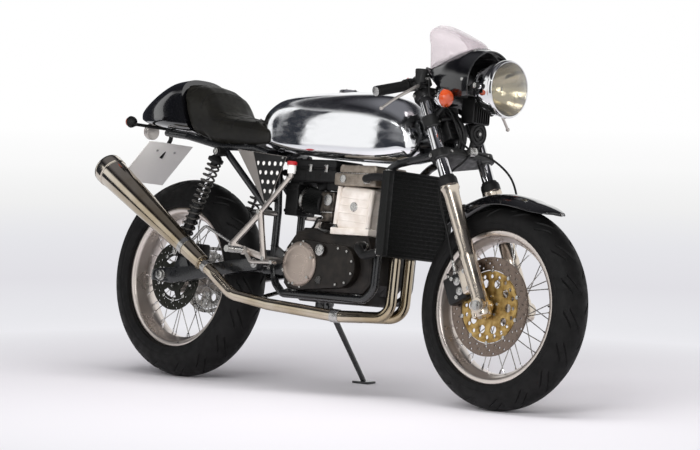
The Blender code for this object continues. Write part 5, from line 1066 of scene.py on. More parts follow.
# %% Screen
SCREEN_STEPS = 40
SCREEN_ANGLES = [math.radians(-100 + 200 * step / SCREEN_STEPS) for step in range(SCREEN_STEPS + 1)]
LEVELS = [(1.076, -0.278, 0.122, 0.093), (1.0985, -0.286, 0.118, 0.092), (1.118, -0.297, 0.108, 0.089),
          (1.138, -0.312, 0.080, 0.079), (1.156, -0.322, 0.046, 0.058), (1.168, -0.328, 0.020, 0.030)]
LEVELS = [(height, WHEELBASE + middle, length, width) for height, middle, length, width in LEVELS]
MIDDLES = flowing([(height, middle, 0) for height, middle, length, width in LEVELS[1:]], 16)
SIZES = flowing([(height, length, width) for height, middle, length, width in LEVELS[1:]], 16)
bm = bmesh.new()
rows = []
first = []
for angle in SCREEN_ANGLES:
    x, y = LEVELS[0][1] + LEVELS[0][2] * math.cos(angle), LEVELS[0][3] * math.sin(angle)
    index = min(range(COWL_ROWS + 1), key=lambda place: abs(XWH[place].x - x))
    reach, high = XWH[index].y + 0.0042, XWH[index].z
    first.append(bm.verts.new((x, y, high - XWH[index].y + math.sqrt(max(reach ** 2 - y ** 2, 0)))))
rows.append(first)
for (height, middle, _), (_, length, width) in zip(MIDDLES, SIZES):
    rows.append([bm.verts.new((middle + length * math.cos(angle), width * math.sin(angle), height))
                 for angle in SCREEN_ANGLES])
sheet(bm, rows, 0.0026)
finish("windscreen_bubble", "front_end", bm, [acrylic], ["windscreen"], sharp=60)

# %% [markdown]
# ## Instruments, bars and hoses
# Two clock-like dials with chrome bezels sit on a plate above the top yoke. The clip-on bars carry ribbed
# grips, switchgear, levers on their perches, and on the right the brake's fluid pot.

# %% Instruments
bm = bmesh.new()
back = turn(-42, "Y")
for sign in (1, -1):
    dial = Matrix.Translation((1.105, sign * 0.035, 1.020)) @ back
    lathe(bm, [(0, -0.028), (0.024, -0.028), (0.0285, -0.025), (0.0300, -0.018), (0.0305, 0.006)], dial, 48)
    lathe(bm, [(0.0305, 0.004), (0.0318, 0.0055), (0.0320, 0.0100), (0.0308, 0.0120), (0.0285, 0.0112),
               (0.0280, 0.0085)],
          dial, 48, paint=1)
    lathe(bm, [(0.0280, 0.0070), (0, 0.0070)], dial, 48, paint=2)
    for mark in range(11):
        angle = math.radians(-40 + 26 * mark)
        at = Vector((0.0225 * math.sin(angle), 0.0225 * math.cos(angle), 0.0073))
        block(bm, (0.0008, 0.0045 if mark % 2 else 0.0065, 0.0004), dial @ Matrix.Translation(at)
              @ Matrix.Rotation(-angle, 4, "Z"), 0.0001, 1, paint=3)
    bar(bm, (0, 0, 0.0070), (0, 0, 0.0088), 0.0022, sides=16, edge=0.0003, paint=3, place=dial)
    bar(bm, (0, -0.005, 0.0082), (0.006, 0.0190, 0.0082), 0.0007, 0.0003, sides=8, edge=0, paint=4, place=dial)
block(bm, (0.080, 0.080, 0.006), shift(1.092, 0, 0.997) @ back, 0.0015)
bar(bm, fork(0.010, 0, 0.7135), fork(0.010, 0, 0.760), 0.009, sides=28)
for y in (-0.012, 0.0, 0.012):
    bar(bm, (-0.018, y, 0.003), (-0.018, y, 0.0052), 0.0030, sides=16, edge=0.0006, paint=5,
        place=shift(1.092, 0, 0.997) @ back)
finish("instruments_dials", "front_end", bm, [satin_black, chrome, dial_face, rubber, red_cap, amber],
       ["instruments"])

# %% Handlebars
BAR_UP = 0.744


def bar_point(sign, y, forward=0.0, up=0.0):
    """A point along a clip-on, which droops 15 degrees and sweeps back 8 from its leg."""
    reach = y - LEG_Y
    return fork(0, sign * LEG_Y, BAR_UP) + Vector((forward - reach * math.tan(math.radians(8)), sign * reach,
                                                   up - reach * math.tan(math.radians(15))))


for side, sign in SIDES:
    bm = bmesh.new()
    leg = FORK @ shift(0, sign * LEG_Y, BAR_UP)
    lathe(bm, [(0.0209, -0.014), (0.0305, -0.014), (0.0330, -0.0125), (0.0330, 0.0125), (0.0305, 0.014),
               (0.0209, 0.014)],
          leg, 48, closed=True)
    block(bm, (0.016, 0.012, 0.024), leg @ shift(0.0300, 0, 0), 0.003)
    for up in (-0.006, 0.006):
        screw(bm, (0.0300, -sign * 0.006, up), (0, -sign, 0), 0.0032, 0.003, paint=1, place=leg)
    bar(bm, bar_point(sign, 0.124), bar_point(sign, 0.272), 0.011, sides=28)
    start, end = bar_point(sign, 0.158), bar_point(sign, 0.2735)
    length = (end - start).length
    ribs = [(0.0112, 0.0), (0.0190, 0.0), (0.0200, 0.0012), (0.0200, 0.0038), (0.0190, 0.0050),
            (0.0160, 0.0056)]
    rib = 0.0090
    while rib < length - 0.010:
        ribs += [(0.0150, rib), (0.0150, rib + 0.0016), (0.0164, rib + 0.0021), (0.0164, rib + 0.0042)]
        rib += 0.0050
    ribs += [(0.0160, length - 0.005), (0.0160, length - 0.0005), (0.0112, length)]
    lathe(bm, ribs, along(start, end), 36, paint=2)
    weight = bar_point(sign, 0.2750)
    bar(bm, end, weight, 0.0155, 0.0140, sides=32, edge=0.0005, paint=1)
    switches = along(bar_point(sign, 0.134), bar_point(sign, 0.156))
    lathe(bm, [(0.0112, 0), (0.0188, 0), (0.0205, 0.0020), (0.0210, 0.0080), (0.0210, 0.0160), (0.0200, 0.0215),
               (0.0112, 0.0225)], switches, 40, paint=3)
    for angle, paint in ((100, 4), (150, 2)):
        at = Matrix.Rotation(math.radians(angle), 3, "Z") @ Vector((0.0205, 0, 0.011))
        bar(bm, at, at * 1.02 + Vector((0, 0, 0.0005)), 0.0030, sides=14, edge=0, paint=paint, place=switches)
    root = bar_point(sign, 0.1445)
    bar(bm, root, bar_point(sign, 0.1480, 0.045, 0.002), 0.0095, 0.0085, sides=28, paint=3)
    pivot = bar_point(sign, 0.1480, 0.043, 0.002)
    bar(bm, pivot - Vector((0, 0, 0.010)), pivot + Vector((0, 0, 0.010)), 0.0085, sides=28, paint=3)
    bolt(bm, pivot + Vector((0, 0, 0.010)), (0, 0, 1), 0.0040, 0.0035, paint=1)
    lever = flowing([bar_point(sign, 0.146, 0.042), bar_point(sign, 0.190, 0.062, -0.005),
                     bar_point(sign, 0.245, 0.061, -0.022), bar_point(sign, 0.296, 0.055, -0.047)], 24)
    tube(bm, lever, [0.0060 - 0.0016 * min(1, index / 20) for index in range(25)], 5, paint=5)
    shape = bmesh.new()
    bmesh.ops.create_uvsphere(shape, u_segments=20, v_segments=12, radius=0.0066)
    put(bm, shape, Matrix.Translation(lever[-1]), 5)
    if sign < 0:
        pot = bar_point(sign, 0.138, 0.040, 0.004)
        lathe(bm, [(0, 0.002), (0.0165, 0.002), (0.0185, 0.004), (0.0192, 0.031)], Matrix.Translation(pot), 40,
              paint=3)
        lathe(bm, [(0.0192, 0.031), (0.0200, 0.032), (0.0200, 0.042), (0.0190, 0.0445), (0.0150, 0.0455),
                   (0, 0.046)],
              Matrix.Translation(pot), 40, paint=6)
        for turn_by in range(12):
            angle = math.radians(30 * turn_by)
            block(bm, (0.0012, 0.0030, 0.0080), Matrix.Translation(pot) @ Matrix.Rotation(angle, 4, "Z")
                  @ shift(0.0197, 0, 0.0370), 0.0004, 1, paint=6)
    finish(f"handlebar_{side}_dressed", "front_end", bm,
           [satin_black, steel, rubber, satin_black, red_cap, satin, satin_black], [f"handlebar_{side}"])

# %% [markdown]
# The hoses follow the same routes as their solids: from the lever's pot to a union on the lower yoke, and
# from there down to each caliper, where they end in a banjo.

# %% Brake hoses
bm = bmesh.new()
union = fork(CLAMP + 0.0113, 0, LOWER_YOKE)
block(bm, (0.022, 0.030, 0.022), FORK @ shift(CLAMP + 0.0113, 0, LOWER_YOKE), 0.0025, paint=1)
bolt(bm, fork(CLAMP + 0.0222, 0, LOWER_YOKE), FORK.to_3x3() @ Vector((1, 0, 0)), 0.0050, 0.0045, paint=1)
start = bar_point(-1, 0.138, 0.0615, 0.020)
route = [start + Vector((0.010, 0, 0)), (1.122, -0.128, 0.940), (1.135, -0.100, 0.926), (1.156, -0.070, 0.900),
         (1.174, -0.060, 0.862), fork(0.052, -0.054, 0.560), fork(0.050, -0.042, 0.520)]
tube(bm, [start, *flowing(route, 60), union], 0.0034, 5)
tube(bm, [start - Vector((0.002, 0, 0)), start + Vector((0.012, 0, 0))], 0.0050, 3, paint=1)
BRAKE = [(0.030, -0.040, 0.468), (0.000, -0.056, 0.455), (-0.046, -0.078, 0.425), (-0.056, -0.092, 0.360),
         (-0.058, -0.092, 0.280), (-0.070, -0.085, 0.210), (-0.078, -0.082, 0.149), (-0.078, -0.082, 0.1375)]
CABLE = [(0.075, 0.050, 0.465), (0.100, 0.082, 0.390), (0.060, 0.125, 0.310), (0.010, 0.137, 0.265),
         (-0.030, 0.127, 0.225), (-0.0357, 0.104, 0.180), (-0.0357, 0.100, 0.146), (-0.0357, 0.100, 0.1345)]
for points in (BRAKE, CABLE):
    middle = [fork(forward, left, up) for forward, left, up in points]
    route = [*flowing([union, *middle[:-1]], 80), middle[-1]]
    tube(bm, route, 0.0034, 5)
    tube(bm, route[-8:-1], 0.0046, 4, paint=1)
finish("brake_hoses_braided", "front_end", bm, [rubber, steel], ["brake_hoses"])

# %% [markdown]
# ## The frame
# Every tube is bent on the route of its solid, with arcs of the bender's radius, and flows into its
# lugs. Gussets and lugs are plates with rounded edges, and small fillets of weld ring the joints.

# %% Frame tubes
SIDE_Y, INNER_Y, TUBE = 0.080, 0.055, 0.0125
RAIL_Y = 0.095
STAND_PIVOT = Vector((0.535, 0.119, 0.280))
STAND_FOOT = Matrix.Rotation(lean, 3, "X") @ Vector((0.590, 0.265, 0.006))
STAND_AXIS = (MACHINE.inverted().to_3x3() @ Vector(joints["side_stand_fold"]["axis"])).normalized()


def weld(target, at, direction, radius, paint=0):
    """A bead of weld round a tube's end."""
    at, direction = Vector(at), Vector(direction).normalized()
    lathe(target, [(radius, -0.0022), (radius + 0.0016, -0.0008), (radius + 0.0018, 0.0006),
                   (radius + 0.0006, 0.0020), (radius, 0.0028)], along(at, at + direction), 28, paint=paint)


bm = bmesh.new()
lathe(bm, [(0.0166, 0.5125), (0.0320, 0.5125), (0.0330, 0.5140), (0.0330, 0.5260), (0.0320, 0.5280),
           (0.0320, 0.6720), (0.0330, 0.6740), (0.0330, 0.6870), (0.0320, 0.6885), (0.0166, 0.6885)],
      FORK @ shift(-FORK_OFFSET, 0, 0), 48, closed=True)
start = fork(-0.055, 0, 0.590)
tube(bm, rounded([start, (0.96, 0, 0.800), (0.490, 0, 0.795), (0.400, 0, 0.746)], 0.05), 0.022, 8)
plate(bm, [[(0.900, 0.800), (0.945, 0.742), (start.x - 0.012, start.z - 0.062),
            (start.x + 0.026, start.z - 0.045), (start.x, start.z + 0.010)]], 0.010, turn(90, "X"), 0.001)
bar(bm, (0.400, -RAIL_Y, 0.746), (0.400, RAIL_Y, 0.746), 0.016, sides=36)
for x in (0.560, 0.900):
    bar(bm, (x, -0.0447, 0.800), (x, 0.0447, 0.800), 0.012, sides=28, paint=1)
weld(bm, (0.403, 0, 0.749), (1, 0, 0.55), 0.022)
finish("frame_backbone_welded", "chassis", bm, [enamel, rubber], ["frame_backbone"])

for side, sign in SIDES:
    bm = bmesh.new()
    outer, inner = sign * SIDE_Y, sign * INNER_Y
    route = [(1.088, sign * 0.030, 0.7675), (0.965, outer * 0.95, 0.7285), (0.925, outer, 0.700),
             (0.918, outer, 0.335), (0.880, outer, 0.3005), (0.520, outer, 0.3005), (0.455, inner, 0.335),
             (0.440, inner, 0.400), (0.442, inner, 0.560), (0.428, inner, 0.715), (0.412, inner, 0.742)]
    tube(bm, rounded(route, 0.045), TUBE, 6)
    plate(bm, [[(0.405, 0.360), (0.500, 0.360), (0.505, 0.425), (0.460, 0.450), (0.405, 0.430)]], 0.012,
          shift(0, inner, 0) @ turn(90, "X"), 0.002)
    for x in (0.840, 0.560):
        block(bm, (0.036, 0.014, 0.0162), shift(x, sign * 0.070, 0.3086), 0.0015)
        bolt(bm, (x, sign * 0.0768, 0.3086), (0, sign, 0), 0.0050, 0.0045, paint=1)
    bolt(bm, (0.430, inner + sign * 0.0062, 0.390), (0, sign, 0), 0.0110, 0.0080, paint=1)
    weld(bm, (0.441, inner, 0.452), (0, 0, 1), TUBE)
    if sign > 0:
        face = STAND_PIVOT - STAND_AXIS * 0.0123
        block(bm, (0.040, 0.012, 0.052), shift(0.535, SIDE_Y + 0.004, 0.276), 0.003)
        bar(bm, face - STAND_AXIS * 0.022, face, 0.013, sides=32, edge=0.001)
    finish(f"frame_cradle_{side}_bent", "chassis", bm, [enamel, steel], [f"frame_cradle_{side}"])

    bm = bmesh.new()
    y = sign * RAIL_Y
    tube(bm, rounded([(0.4165, y, 0.746), (0.345, y, 0.7632), (0.20, y, 0.7632), (0.03, y * 0.98, 0.7945),
                      (-0.100, sign * 0.070, 0.806)], 0.08), 0.011, 6)
    tube(bm, [(0.205, y, 0.760), (0.418, sign * 0.078, 0.566)], 0.011, 6)
    bar(bm, (0.215, y, 0.745), (0.215, sign * 0.142, 0.745), 0.006, sides=24)
    bar(bm, (0.215, y, 0.745), (0.215, sign * 0.1092, 0.745), 0.013, sides=32)
    bolt(bm, (0.215, sign * 0.1405, 0.745), (0, sign, 0), 0.0080, 0.006, paint=1)
    bar(bm, (0.418, sign * 0.0682, 0.564), (0.418, sign * 0.090, 0.564), 0.012, sides=32)
    for x, left, z in ((0.310, RAIL_Y, 0.764), (0.120, RAIL_Y, 0.776), (-0.080, 0.075, 0.803)):
        bar(bm, (x, sign * left, z), (x, sign * left, z + 0.012), 0.010, sides=24, paint=2)
    weld(bm, (0.214, y, 0.752), (0.213, 0, -0.194), 0.011)
    finish(f"frame_seat_rail_{side}_bent", "chassis", bm, [enamel, steel, rubber], [f"frame_seat_rail_{side}"])

# %% [markdown]
# ## Swingarm and rear springs
# Each arm is a box section that tapers to the axle, with an adjuster behind it. The springs are real
# coils of fifteen thin turns, black steel coloured grey as a painted reflection, between two seats,
# round a damper with a chromed rod.

# %% Swingarm and rear axle
AXLE_Z = REAR_AXLE.z
bm = bmesh.new()
bar(bm, (0.372, -0.117, 0.382), (0.372, 0.117, 0.382), 0.019, sides=36)
bar(bm, (0.430, -0.135, 0.390), (0.430, 0.135, 0.390), 0.008, sides=28, paint=1)
for sign in (1, -1):
    outline = [(-0.045, 0.312), (0.045, 0.305), (0.36, 0.357), (0.44, 0.368), (0.450, 0.390), (0.44, 0.410),
               (0.36, 0.400), (0.10, 0.362), (-0.02, 0.352), (-0.045, 0.345)]
    slot = [(x, AXLE_Z + z) for x, z in capsule((-0.012, 0), 0.0089, (0.010, 0), 0.00889, 8)]
    plate(bm, [outline, slot], 0.028, shift(0, sign * 0.117, 0) @ turn(90, "X"), 0.003)
    plate(bm, [[(0.030, 0.345), (0.110, 0.350), (0.081, 0.404), (0.073, 0.420), (0.058, 0.421),
                (0.051, 0.410)]], 0.006,
          shift(0, sign * 0.1062, 0) @ turn(90, "X"), 0.001)
    bar(bm, (0.065, sign * 0.106, 0.410), (0.065, sign * 0.142, 0.410), 0.006, sides=24, paint=1)
    bolt(bm, (0.065, sign * 0.1405, 0.410), (0, sign, 0), 0.0080, 0.006, paint=1)
    bolt(bm, (0.430, sign * 0.1315, 0.390), (0, sign, 0), 0.0115, 0.008, paint=1)
    block(bm, (0.006, 0.026, 0.034), shift(-0.0455, sign * 0.117, 0.3285), 0.001, paint=1)
    bar(bm, (-0.040, sign * 0.117, AXLE_Z), (-0.062, sign * 0.117, AXLE_Z), 0.003, sides=16, paint=1)
    bolt(bm, (-0.0485, sign * 0.117, AXLE_Z), (-1, 0, 0), 0.0052, 0.0045, paint=1)
    weld(bm, (0.372, sign * 0.1025, 0.382), (0, sign, 0), 0.019)
finish("swingarm_fabricated", "chassis", bm, [enamel, steel], ["swingarm"])

bm = bmesh.new()
bar(bm, (0, -0.143, AXLE_Z), (0, 0.143, AXLE_Z), 0.0085, sides=32)
for sign in (1, -1):
    bar(bm, (0, sign * 0.1313, AXLE_Z), (0, sign * 0.1330, AXLE_Z), 0.0180, sides=36, edge=0.0004)
    bar(bm, (0, sign * 0.1330, AXLE_Z), (0, sign * 0.1430, AXLE_Z), 0.0160, sides=6, edge=0.0012)
finish("rear_axle_turned", "chassis", bm, [steel], ["rear_axle"])

# %% Rear springs
for side, sign in SIDES:
    bm = bmesh.new()
    top, foot = Vector((0.215, sign * 0.124, 0.745)), Vector((0.065, sign * 0.124, 0.410))
    axis = along(foot, top)
    length = (top - foot).length
    for end in (0.0, length):
        lathe(bm, [(0.0066, -0.014), (0.0135, -0.014), (0.0150, -0.0125), (0.0150, 0.0125), (0.0135, 0.014),
                   (0.0066, 0.014)],
              Matrix.Translation(foot.lerp(top, end / length)) @ turn(90, "X"), 36, closed=True, paint=1)
    lathe(bm, [(0.0080, 0.0130), (0.0110, 0.0150), (0.0150, 0.0230), (0.0262, 0.0262), (0.0262, 0.0320),
               (0.0230, 0.0345), (0.0170, 0.0350), (0.0165, 0.0400), (0.0165, 0.1750), (0.0150, 0.1780),
               (0.0062, 0.1790)], axis, 44, paint=1)
    for notch in range(3):
        lathe(bm, [(0.0262, 0.0215 - 0.004 * notch), (0.0240 - 0.003 * notch, 0.0205 - 0.004 * notch)], axis,
              44, paint=1)
    lathe(bm, [(0.0055, 0.1780), (0.0055, length - 0.030)], axis, 24, paint=2)
    lathe(bm, [(0.0062, length - 0.060), (0.0125, length - 0.056), (0.0125, length - 0.038),
               (0.0160, length - 0.036), (0.0262, length - 0.035), (0.0262, length - 0.0270),
               (0.0200, length - 0.0240), (0.0130, length - 0.0150), (0.0080, length - 0.0130)], axis, 44,
          paint=1)
    coil = []
    low, high, turns = 0.0330, length - 0.0330, 15
    for step in range(turns * 24 + 1):
        share = step / (turns * 24)
        ease = min(share, 1 - share) * turns
        squeeze = 0.35 * (1 - min(1, ease)) * (0.5 - share)
        height = low + 0.0045 + (high - low - 0.009) * (share + squeeze * 0.12)
        angle = 2 * math.pi * turns * share
        coil.append(axis @ Vector((0.0205 * math.cos(angle), 0.0205 * math.sin(angle), height)))
    tube(bm, coil, 0.0034, 4, paint=3)
    finish(f"rear_shock_{side}_coiled", "chassis", bm, [satin_black, satin_black, chrome, spring_with_painted_reflection],
           [f"rear_shock_{side}"])

# %% [markdown]
# ## Footrests, side stand and stand-offs
# The hangers are open triangles cut from one plate, with a machined stay, knurled pegs and a bent pedal.

# %% Footrest hangers
HANGER_Y = 0.142
for side, sign in SIDES:
    bm = bmesh.new()
    top, rear, front = Vector((0.452, 0.555)), Vector((0.327, 0.443)), Vector((0.484, 0.408))
    place = shift(0, sign * HANGER_Y, 0) @ turn(90, "X")
    centre = (top + rear + front) / 3
    window = [tuple(corner + (centre - corner) * 0.34) for corner in (rear, front, top)]
    plate(bm, [hull_outline([tuple(rear), tuple(front), tuple(top)], 0.008, 8),
               hull_outline(window, 0.004, 5)], 0.008, place, 0.0012)
    plate(bm, [capsule(tuple(top), 0.008, (0.571, 0.672), 0.00799, 10)], 0.0078, place, 0.0012)
    for at in (top - Vector((0.008, 0)), front - Vector((0.002, 0.002))):
        inside = INNER_Y + (TUBE + 0.0005 if at.y > 0.5 else 0.0065)
        bar(bm, (at.x, sign * inside, at.y), (at.x, sign * HANGER_Y, at.y), 0.009, sides=32, paint=2)
        screw(bm, (at.x, sign * 0.1455, at.y), (0, sign, 0), 0.0068, 0.0045, paint=1)
    screw(bm, (0.327, sign * 0.1455, 0.443), (0, sign, 0), 0.0058, 0.004, paint=1)
    screw(bm, (0.571, sign * 0.1455, 0.672), (0, sign, 0), 0.0050, 0.004, paint=1)
    peg = along((0.395, sign * HANGER_Y, 0.428), (0.395, sign * 0.227, 0.428))
    lathe(bm, [(0.0105, 0.004), (0.0140, 0.0045), (0.0140, 0.0120), (0.0100, 0.0140), (0.0100, 0.0180)], peg,
          36, paint=2)
    ribs = [(0.0100, 0.0180)]
    for rib in range(12):
        ribs += [(0.0098, 0.0185 + 0.0052 * rib), (0.0108, 0.0195 + 0.0052 * rib),
                 (0.0108, 0.0222 + 0.0052 * rib), (0.0098, 0.0232 + 0.0052 * rib)]
    lathe(bm, [*ribs, (0.0108, 0.0815), (0.0110, 0.0850), (0, 0.0850)], peg, 36, paint=1)
    pedal = rounded([(0.405, sign * 0.151, 0.425), (0.440, sign * 0.158, 0.392), (0.538, sign * 0.160, 0.395)],
                    0.02)
    tube(bm, pedal, [0.0062 - 0.0014 * index / len(pedal) for index in range(len(pedal))], 5, paint=2)
    bar(bm, (0.405, sign * 0.1455, 0.425), (0.405, sign * 0.158, 0.425), 0.0100, sides=28, paint=2)
    lathe(bm, [(0, -0.012), (0.0058, -0.012), (0.0066, -0.011), (0.0066, 0.011), (0.0058, 0.012), (0, 0.012)],
          shift(0.5425, sign * 0.160, 0.395) @ turn(90, "X"), 28, paint=1)
    if sign < 0:
        bar(bm, (0.572, -HANGER_Y, 0.669), (0.572, -HANGER_Y, 0.6805), 0.009, sides=28, paint=2)
    finish(f"footrest_hanger_{side}_cut", "chassis", bm, [polished_rim, steel, satin],
           [f"footrest_hanger_{side}"])

# %% Side stand and rear brake pot
bm = bmesh.new()
upright = Matrix.Rotation(lean, 3, "X")
leg = [STAND_PIVOT, STAND_PIVOT.lerp(STAND_FOOT, 0.25), STAND_PIVOT.lerp(STAND_FOOT, 0.6), STAND_FOOT]
tube(bm, flowing(leg, 24), [0.0100 - 0.0016 * index / 24 for index in range(25)], 6)
block(bm, (0.070, 0.040, 0.0076), Matrix.Translation(upright @ Vector((0.590, 0.265, 0.0042)))
      @ Matrix.Rotation(lean, 4, "X"), 0.0018)
bar(bm, STAND_PIVOT - STAND_AXIS * 0.012, STAND_PIVOT + STAND_AXIS * 0.012, 0.016, sides=36, edge=0.0015)
bolt(bm, STAND_PIVOT + STAND_AXIS * 0.0115, STAND_AXIS, 0.0075, 0.001, paint=1)
finish("side_stand_forged", "side_stand", bm, [enamel, steel], ["side_stand"])

bm = bmesh.new()
pot = shift(0.572, -HANGER_Y, 0.6813)
lathe(bm, [(0, 0), (0.0110, 0), (0.0128, 0.0018), (0.0130, 0.0270)], pot, 36, paint=1)
lathe(bm, [(0.0130, 0.0270), (0.0160, 0.0275), (0.0160, 0.0370), (0.0150, 0.0388), (0.0125, 0.0398),
           (0, 0.0400)], pot, 36)
for rib in range(16):
    block(bm, (0.0010, 0.0020, 0.0085), pot @ turn(22.5 * rib, "Z") @ shift(0.0158, 0, 0.0320), 0.0003, 1)
finish("brake_reservoir_pot", "chassis", bm, [red_cap, plate_white], ["brake_reservoir"])

# %% [markdown]
# ## The engine
# The case is two castings that meet in the machine's middle plane. Its sides carry a raised band for each
# cover, ringed by screws, and small things that a real case has: a filler cap, a sight glass, a drain
# plug, fins under the sump and a breather.

# %% Crankcase
CASE = [(0.515, 0.335), (0.535, 0.317), (0.865, 0.317), (0.898, 0.350), (0.898, 0.440), (0.870, 0.500),
        (0.690, 0.500), (0.640, 0.515), (0.560, 0.505), (0.515, 0.450)]
CLUTCH, CRANK = (0.612, 0.398), (0.785, 0.398)
SIDE = turn(90, "X")
bm = bmesh.new()
plate(bm, [CASE], 0.156, SIDE, 0.007)
inner = [(0.525, 0.340), (0.540, 0.326), (0.860, 0.326), (0.889, 0.354), (0.889, 0.436), (0.864, 0.491),
         (0.692, 0.491), (0.642, 0.506), (0.566, 0.496), (0.525, 0.446)]
plate(bm, [inner], 0.158, SIDE, 0.002)
plate(bm, [CASE], 0.003, SIDE @ Matrix.Diagonal((1.004, 1.006, 1, 1)) @ shift(-0.0025, -0.002, 0), 0.001)
block(bm, (0.300, 0.110, 0.060), shift(0.710, 0, 0.313), 0.010)
for fin in range(9):
    block(bm, (0.290, 0.0030, 0.0050), shift(0.710, -0.044 + 0.011 * fin, 0.2855), 0.0008, 2)
for sign, rear, rear_radius, front_radius in ((-1, CLUTCH, 0.081, 0.066), (1, (0.640, 0.398), 0.045, 0.075)):
    plate(bm, [capsule(rear, rear_radius, CRANK, front_radius, 24)], 0.040,
          shift(0, sign * 0.088, 0) @ SIDE, 0.003, paint=1)
    for at, radius, start, end in ((rear, rear_radius, 70, 290), (CRANK, front_radius, -110, 110)):
        for step in range(6):
            angle = math.radians(start + (end - start) * (step + 0.3) / 5.6)
            x, z = at[0] + (radius - 0.0085) * math.cos(angle), at[1] + (radius - 0.0085) * math.sin(angle)
            if sign < 0 and math.hypot(x - CLUTCH[0], z - CLUTCH[1]) < 0.071:
                x, z = at[0] + (radius - 0.0050) * math.cos(angle), at[1] + (radius - 0.0050) * math.sin(angle)
            bar(bm, (x, sign * 0.100, z), (x, sign * 0.1095, z), 0.0062, sides=20, paint=1)
            screw(bm, (x, sign * 0.1092, z), (0, sign, 0), 0.0038, 0.0030, paint=2)
bar(bm, (0.535, 0.070, 0.398), (0.535, 0.094, 0.398), 0.034, sides=40, paint=1)
lathe(bm, [(0.0330, 0), (0.0335, 0.002), (0.0200, 0.004), (0, 0.004)], shift(0.535, 0.0920, 0.398) @ ACROSS,
      40, paint=2)
bar(bm, (0.702, -0.09, 0.447), (0.702, -0.116, 0.447), 0.020, sides=36, paint=1)
lathe(bm, [(0, 0.0060), (0.0060, 0.0060), (0.0070, 0.0040), (0.0165, 0.0035), (0.0185, 0.0020), (0.0185, 0)],
      shift(0.702, -0.1160, 0.447) @ turn(90, "X"), 36, paint=2)
lathe(bm, [(0, 0.0020), (0.0090, 0.0020), (0.0100, 0.0032), (0.0125, 0.0032), (0.0135, 0)],
      shift(0.700, -0.1080, 0.352) @ turn(90, "X"), 32, paint=3)
bar(bm, (0.585, 0.030, 0.500), (0.585, 0.030, 0.520), 0.009, sides=24)
# The starter motor lies along the case behind the barrel
bar(bm, (0.560, 0.050, 0.530), (0.698, 0.050, 0.530), 0.026, sides=44, edge=0.003)
for x in (0.580, 0.682):
    bar(bm, (x - 0.003, 0.050, 0.530), (x + 0.003, 0.050, 0.530), 0.0272, sides=44, edge=0.0006)
bolt(bm, (0.559, 0.050, 0.530), (-1, 0, 0), 0.0050, 0.004, paint=2)
block(bm, (0.060, 0.050, 0.014), shift(0.600, -0.036, 0.510), 0.004, paint=1)
finish("crankcase_castings", "chassis", bm, [dark_cast, dark_cover, steel, glass], ["crankcase"],
       sharp=40)

# %% Clutch and generator covers
for name, node, at, radius, sign in (("clutch_cover_domed", "clutch_cover", CLUTCH, 0.072, -1),
                                     ("generator_cover_domed", "generator_cover", CRANK, 0.066, 1)):
    bm = bmesh.new()
    place = shift(at[0], sign * 0.1083, at[1]) @ turn(-90 * sign, "X")
    lathe(bm, [(0, 0.0148), (radius * 0.30, 0.0146), (radius * 0.50, 0.0142), (radius * 0.62, 0.0132),
               (radius * 0.70, 0.0124), (radius * 0.735, 0.0122), (radius * 0.76, 0.0126),
               (radius * 0.83, 0.0120), (radius * 0.90, 0.0100), (radius * 0.95, 0.0072),
               (radius * 0.985, 0.0035), (radius, 0.0008), (radius, 0)], place, 96)
    for step in range(6):
        angle = math.radians(60 * step + 20)
        bar(bm, (radius * 0.88 * math.cos(angle), radius * 0.88 * math.sin(angle), 0.004),
            (radius * 0.88 * math.cos(angle), radius * 0.88 * math.sin(angle), 0.0120), 0.0062, sides=24,
            place=place)
        screw(bm, (radius * 0.88 * math.cos(angle), radius * 0.88 * math.sin(angle), 0.0116), (0, 0, 1),
              0.0040, 0.0030, paint=1, place=place)
    if sign > 0:
        lathe(bm, [(0, 0.0158), (0.008, 0.0158), (0.0095, 0.0150), (0.0095, 0.0130)], place, 32, paint=1)
    finish(name, "chassis", bm, [worn_satin, steel], [node], sharp=28)

# %% [markdown]
# The engine is cooled by water, so its barrel is a smooth jacket with only a few webs. The head has plugs
# in its sides and a cam cover held by domed nuts.

# %% Barrel and head
bm = bmesh.new()
block(bm, (0.166, 0.150, 0.022), shift(0.782, 0, 0.5113), 0.003)
tilt = shift(0.787, 0, 0.5825) @ turn(4, "Y")
block(bm, (0.140, 0.140, 0.142), tilt, 0.018, 5)
for up in (-0.038, -0.014, 0.010, 0.034):
    block(bm, (0.1430, 0.1430, 0.0045), tilt @ shift(0, 0, up), 0.0018, 2)
for sign in (1, -1):
    for x in (-0.070, 0.070):
        bar(bm, (x, sign * 0.066, -0.055), (x, sign * 0.066, 0.066), 0.0085, sides=24, place=tilt)
        bolt(bm, (0.782 + x * 1.04, sign * 0.066, 0.5220), (0, 0, 1), 0.0065, 0.007, paint=1)
    lathe(bm, [(0, 0.004), (0.013, 0.004), (0.015, 0.002), (0.015, 0)], shift(0.790, sign * 0.0700, 0.590)
          @ turn(-90 * sign, "X"), 36, paint=1)
bar(bm, (0.782, 0, 0.598), (0.7083, 0, 0.598), 0.027, sides=40)
finish("cylinder_barrel_cast", "chassis", bm, [pale_cast, steel], ["cylinder_barrel"],
       sharp=40)

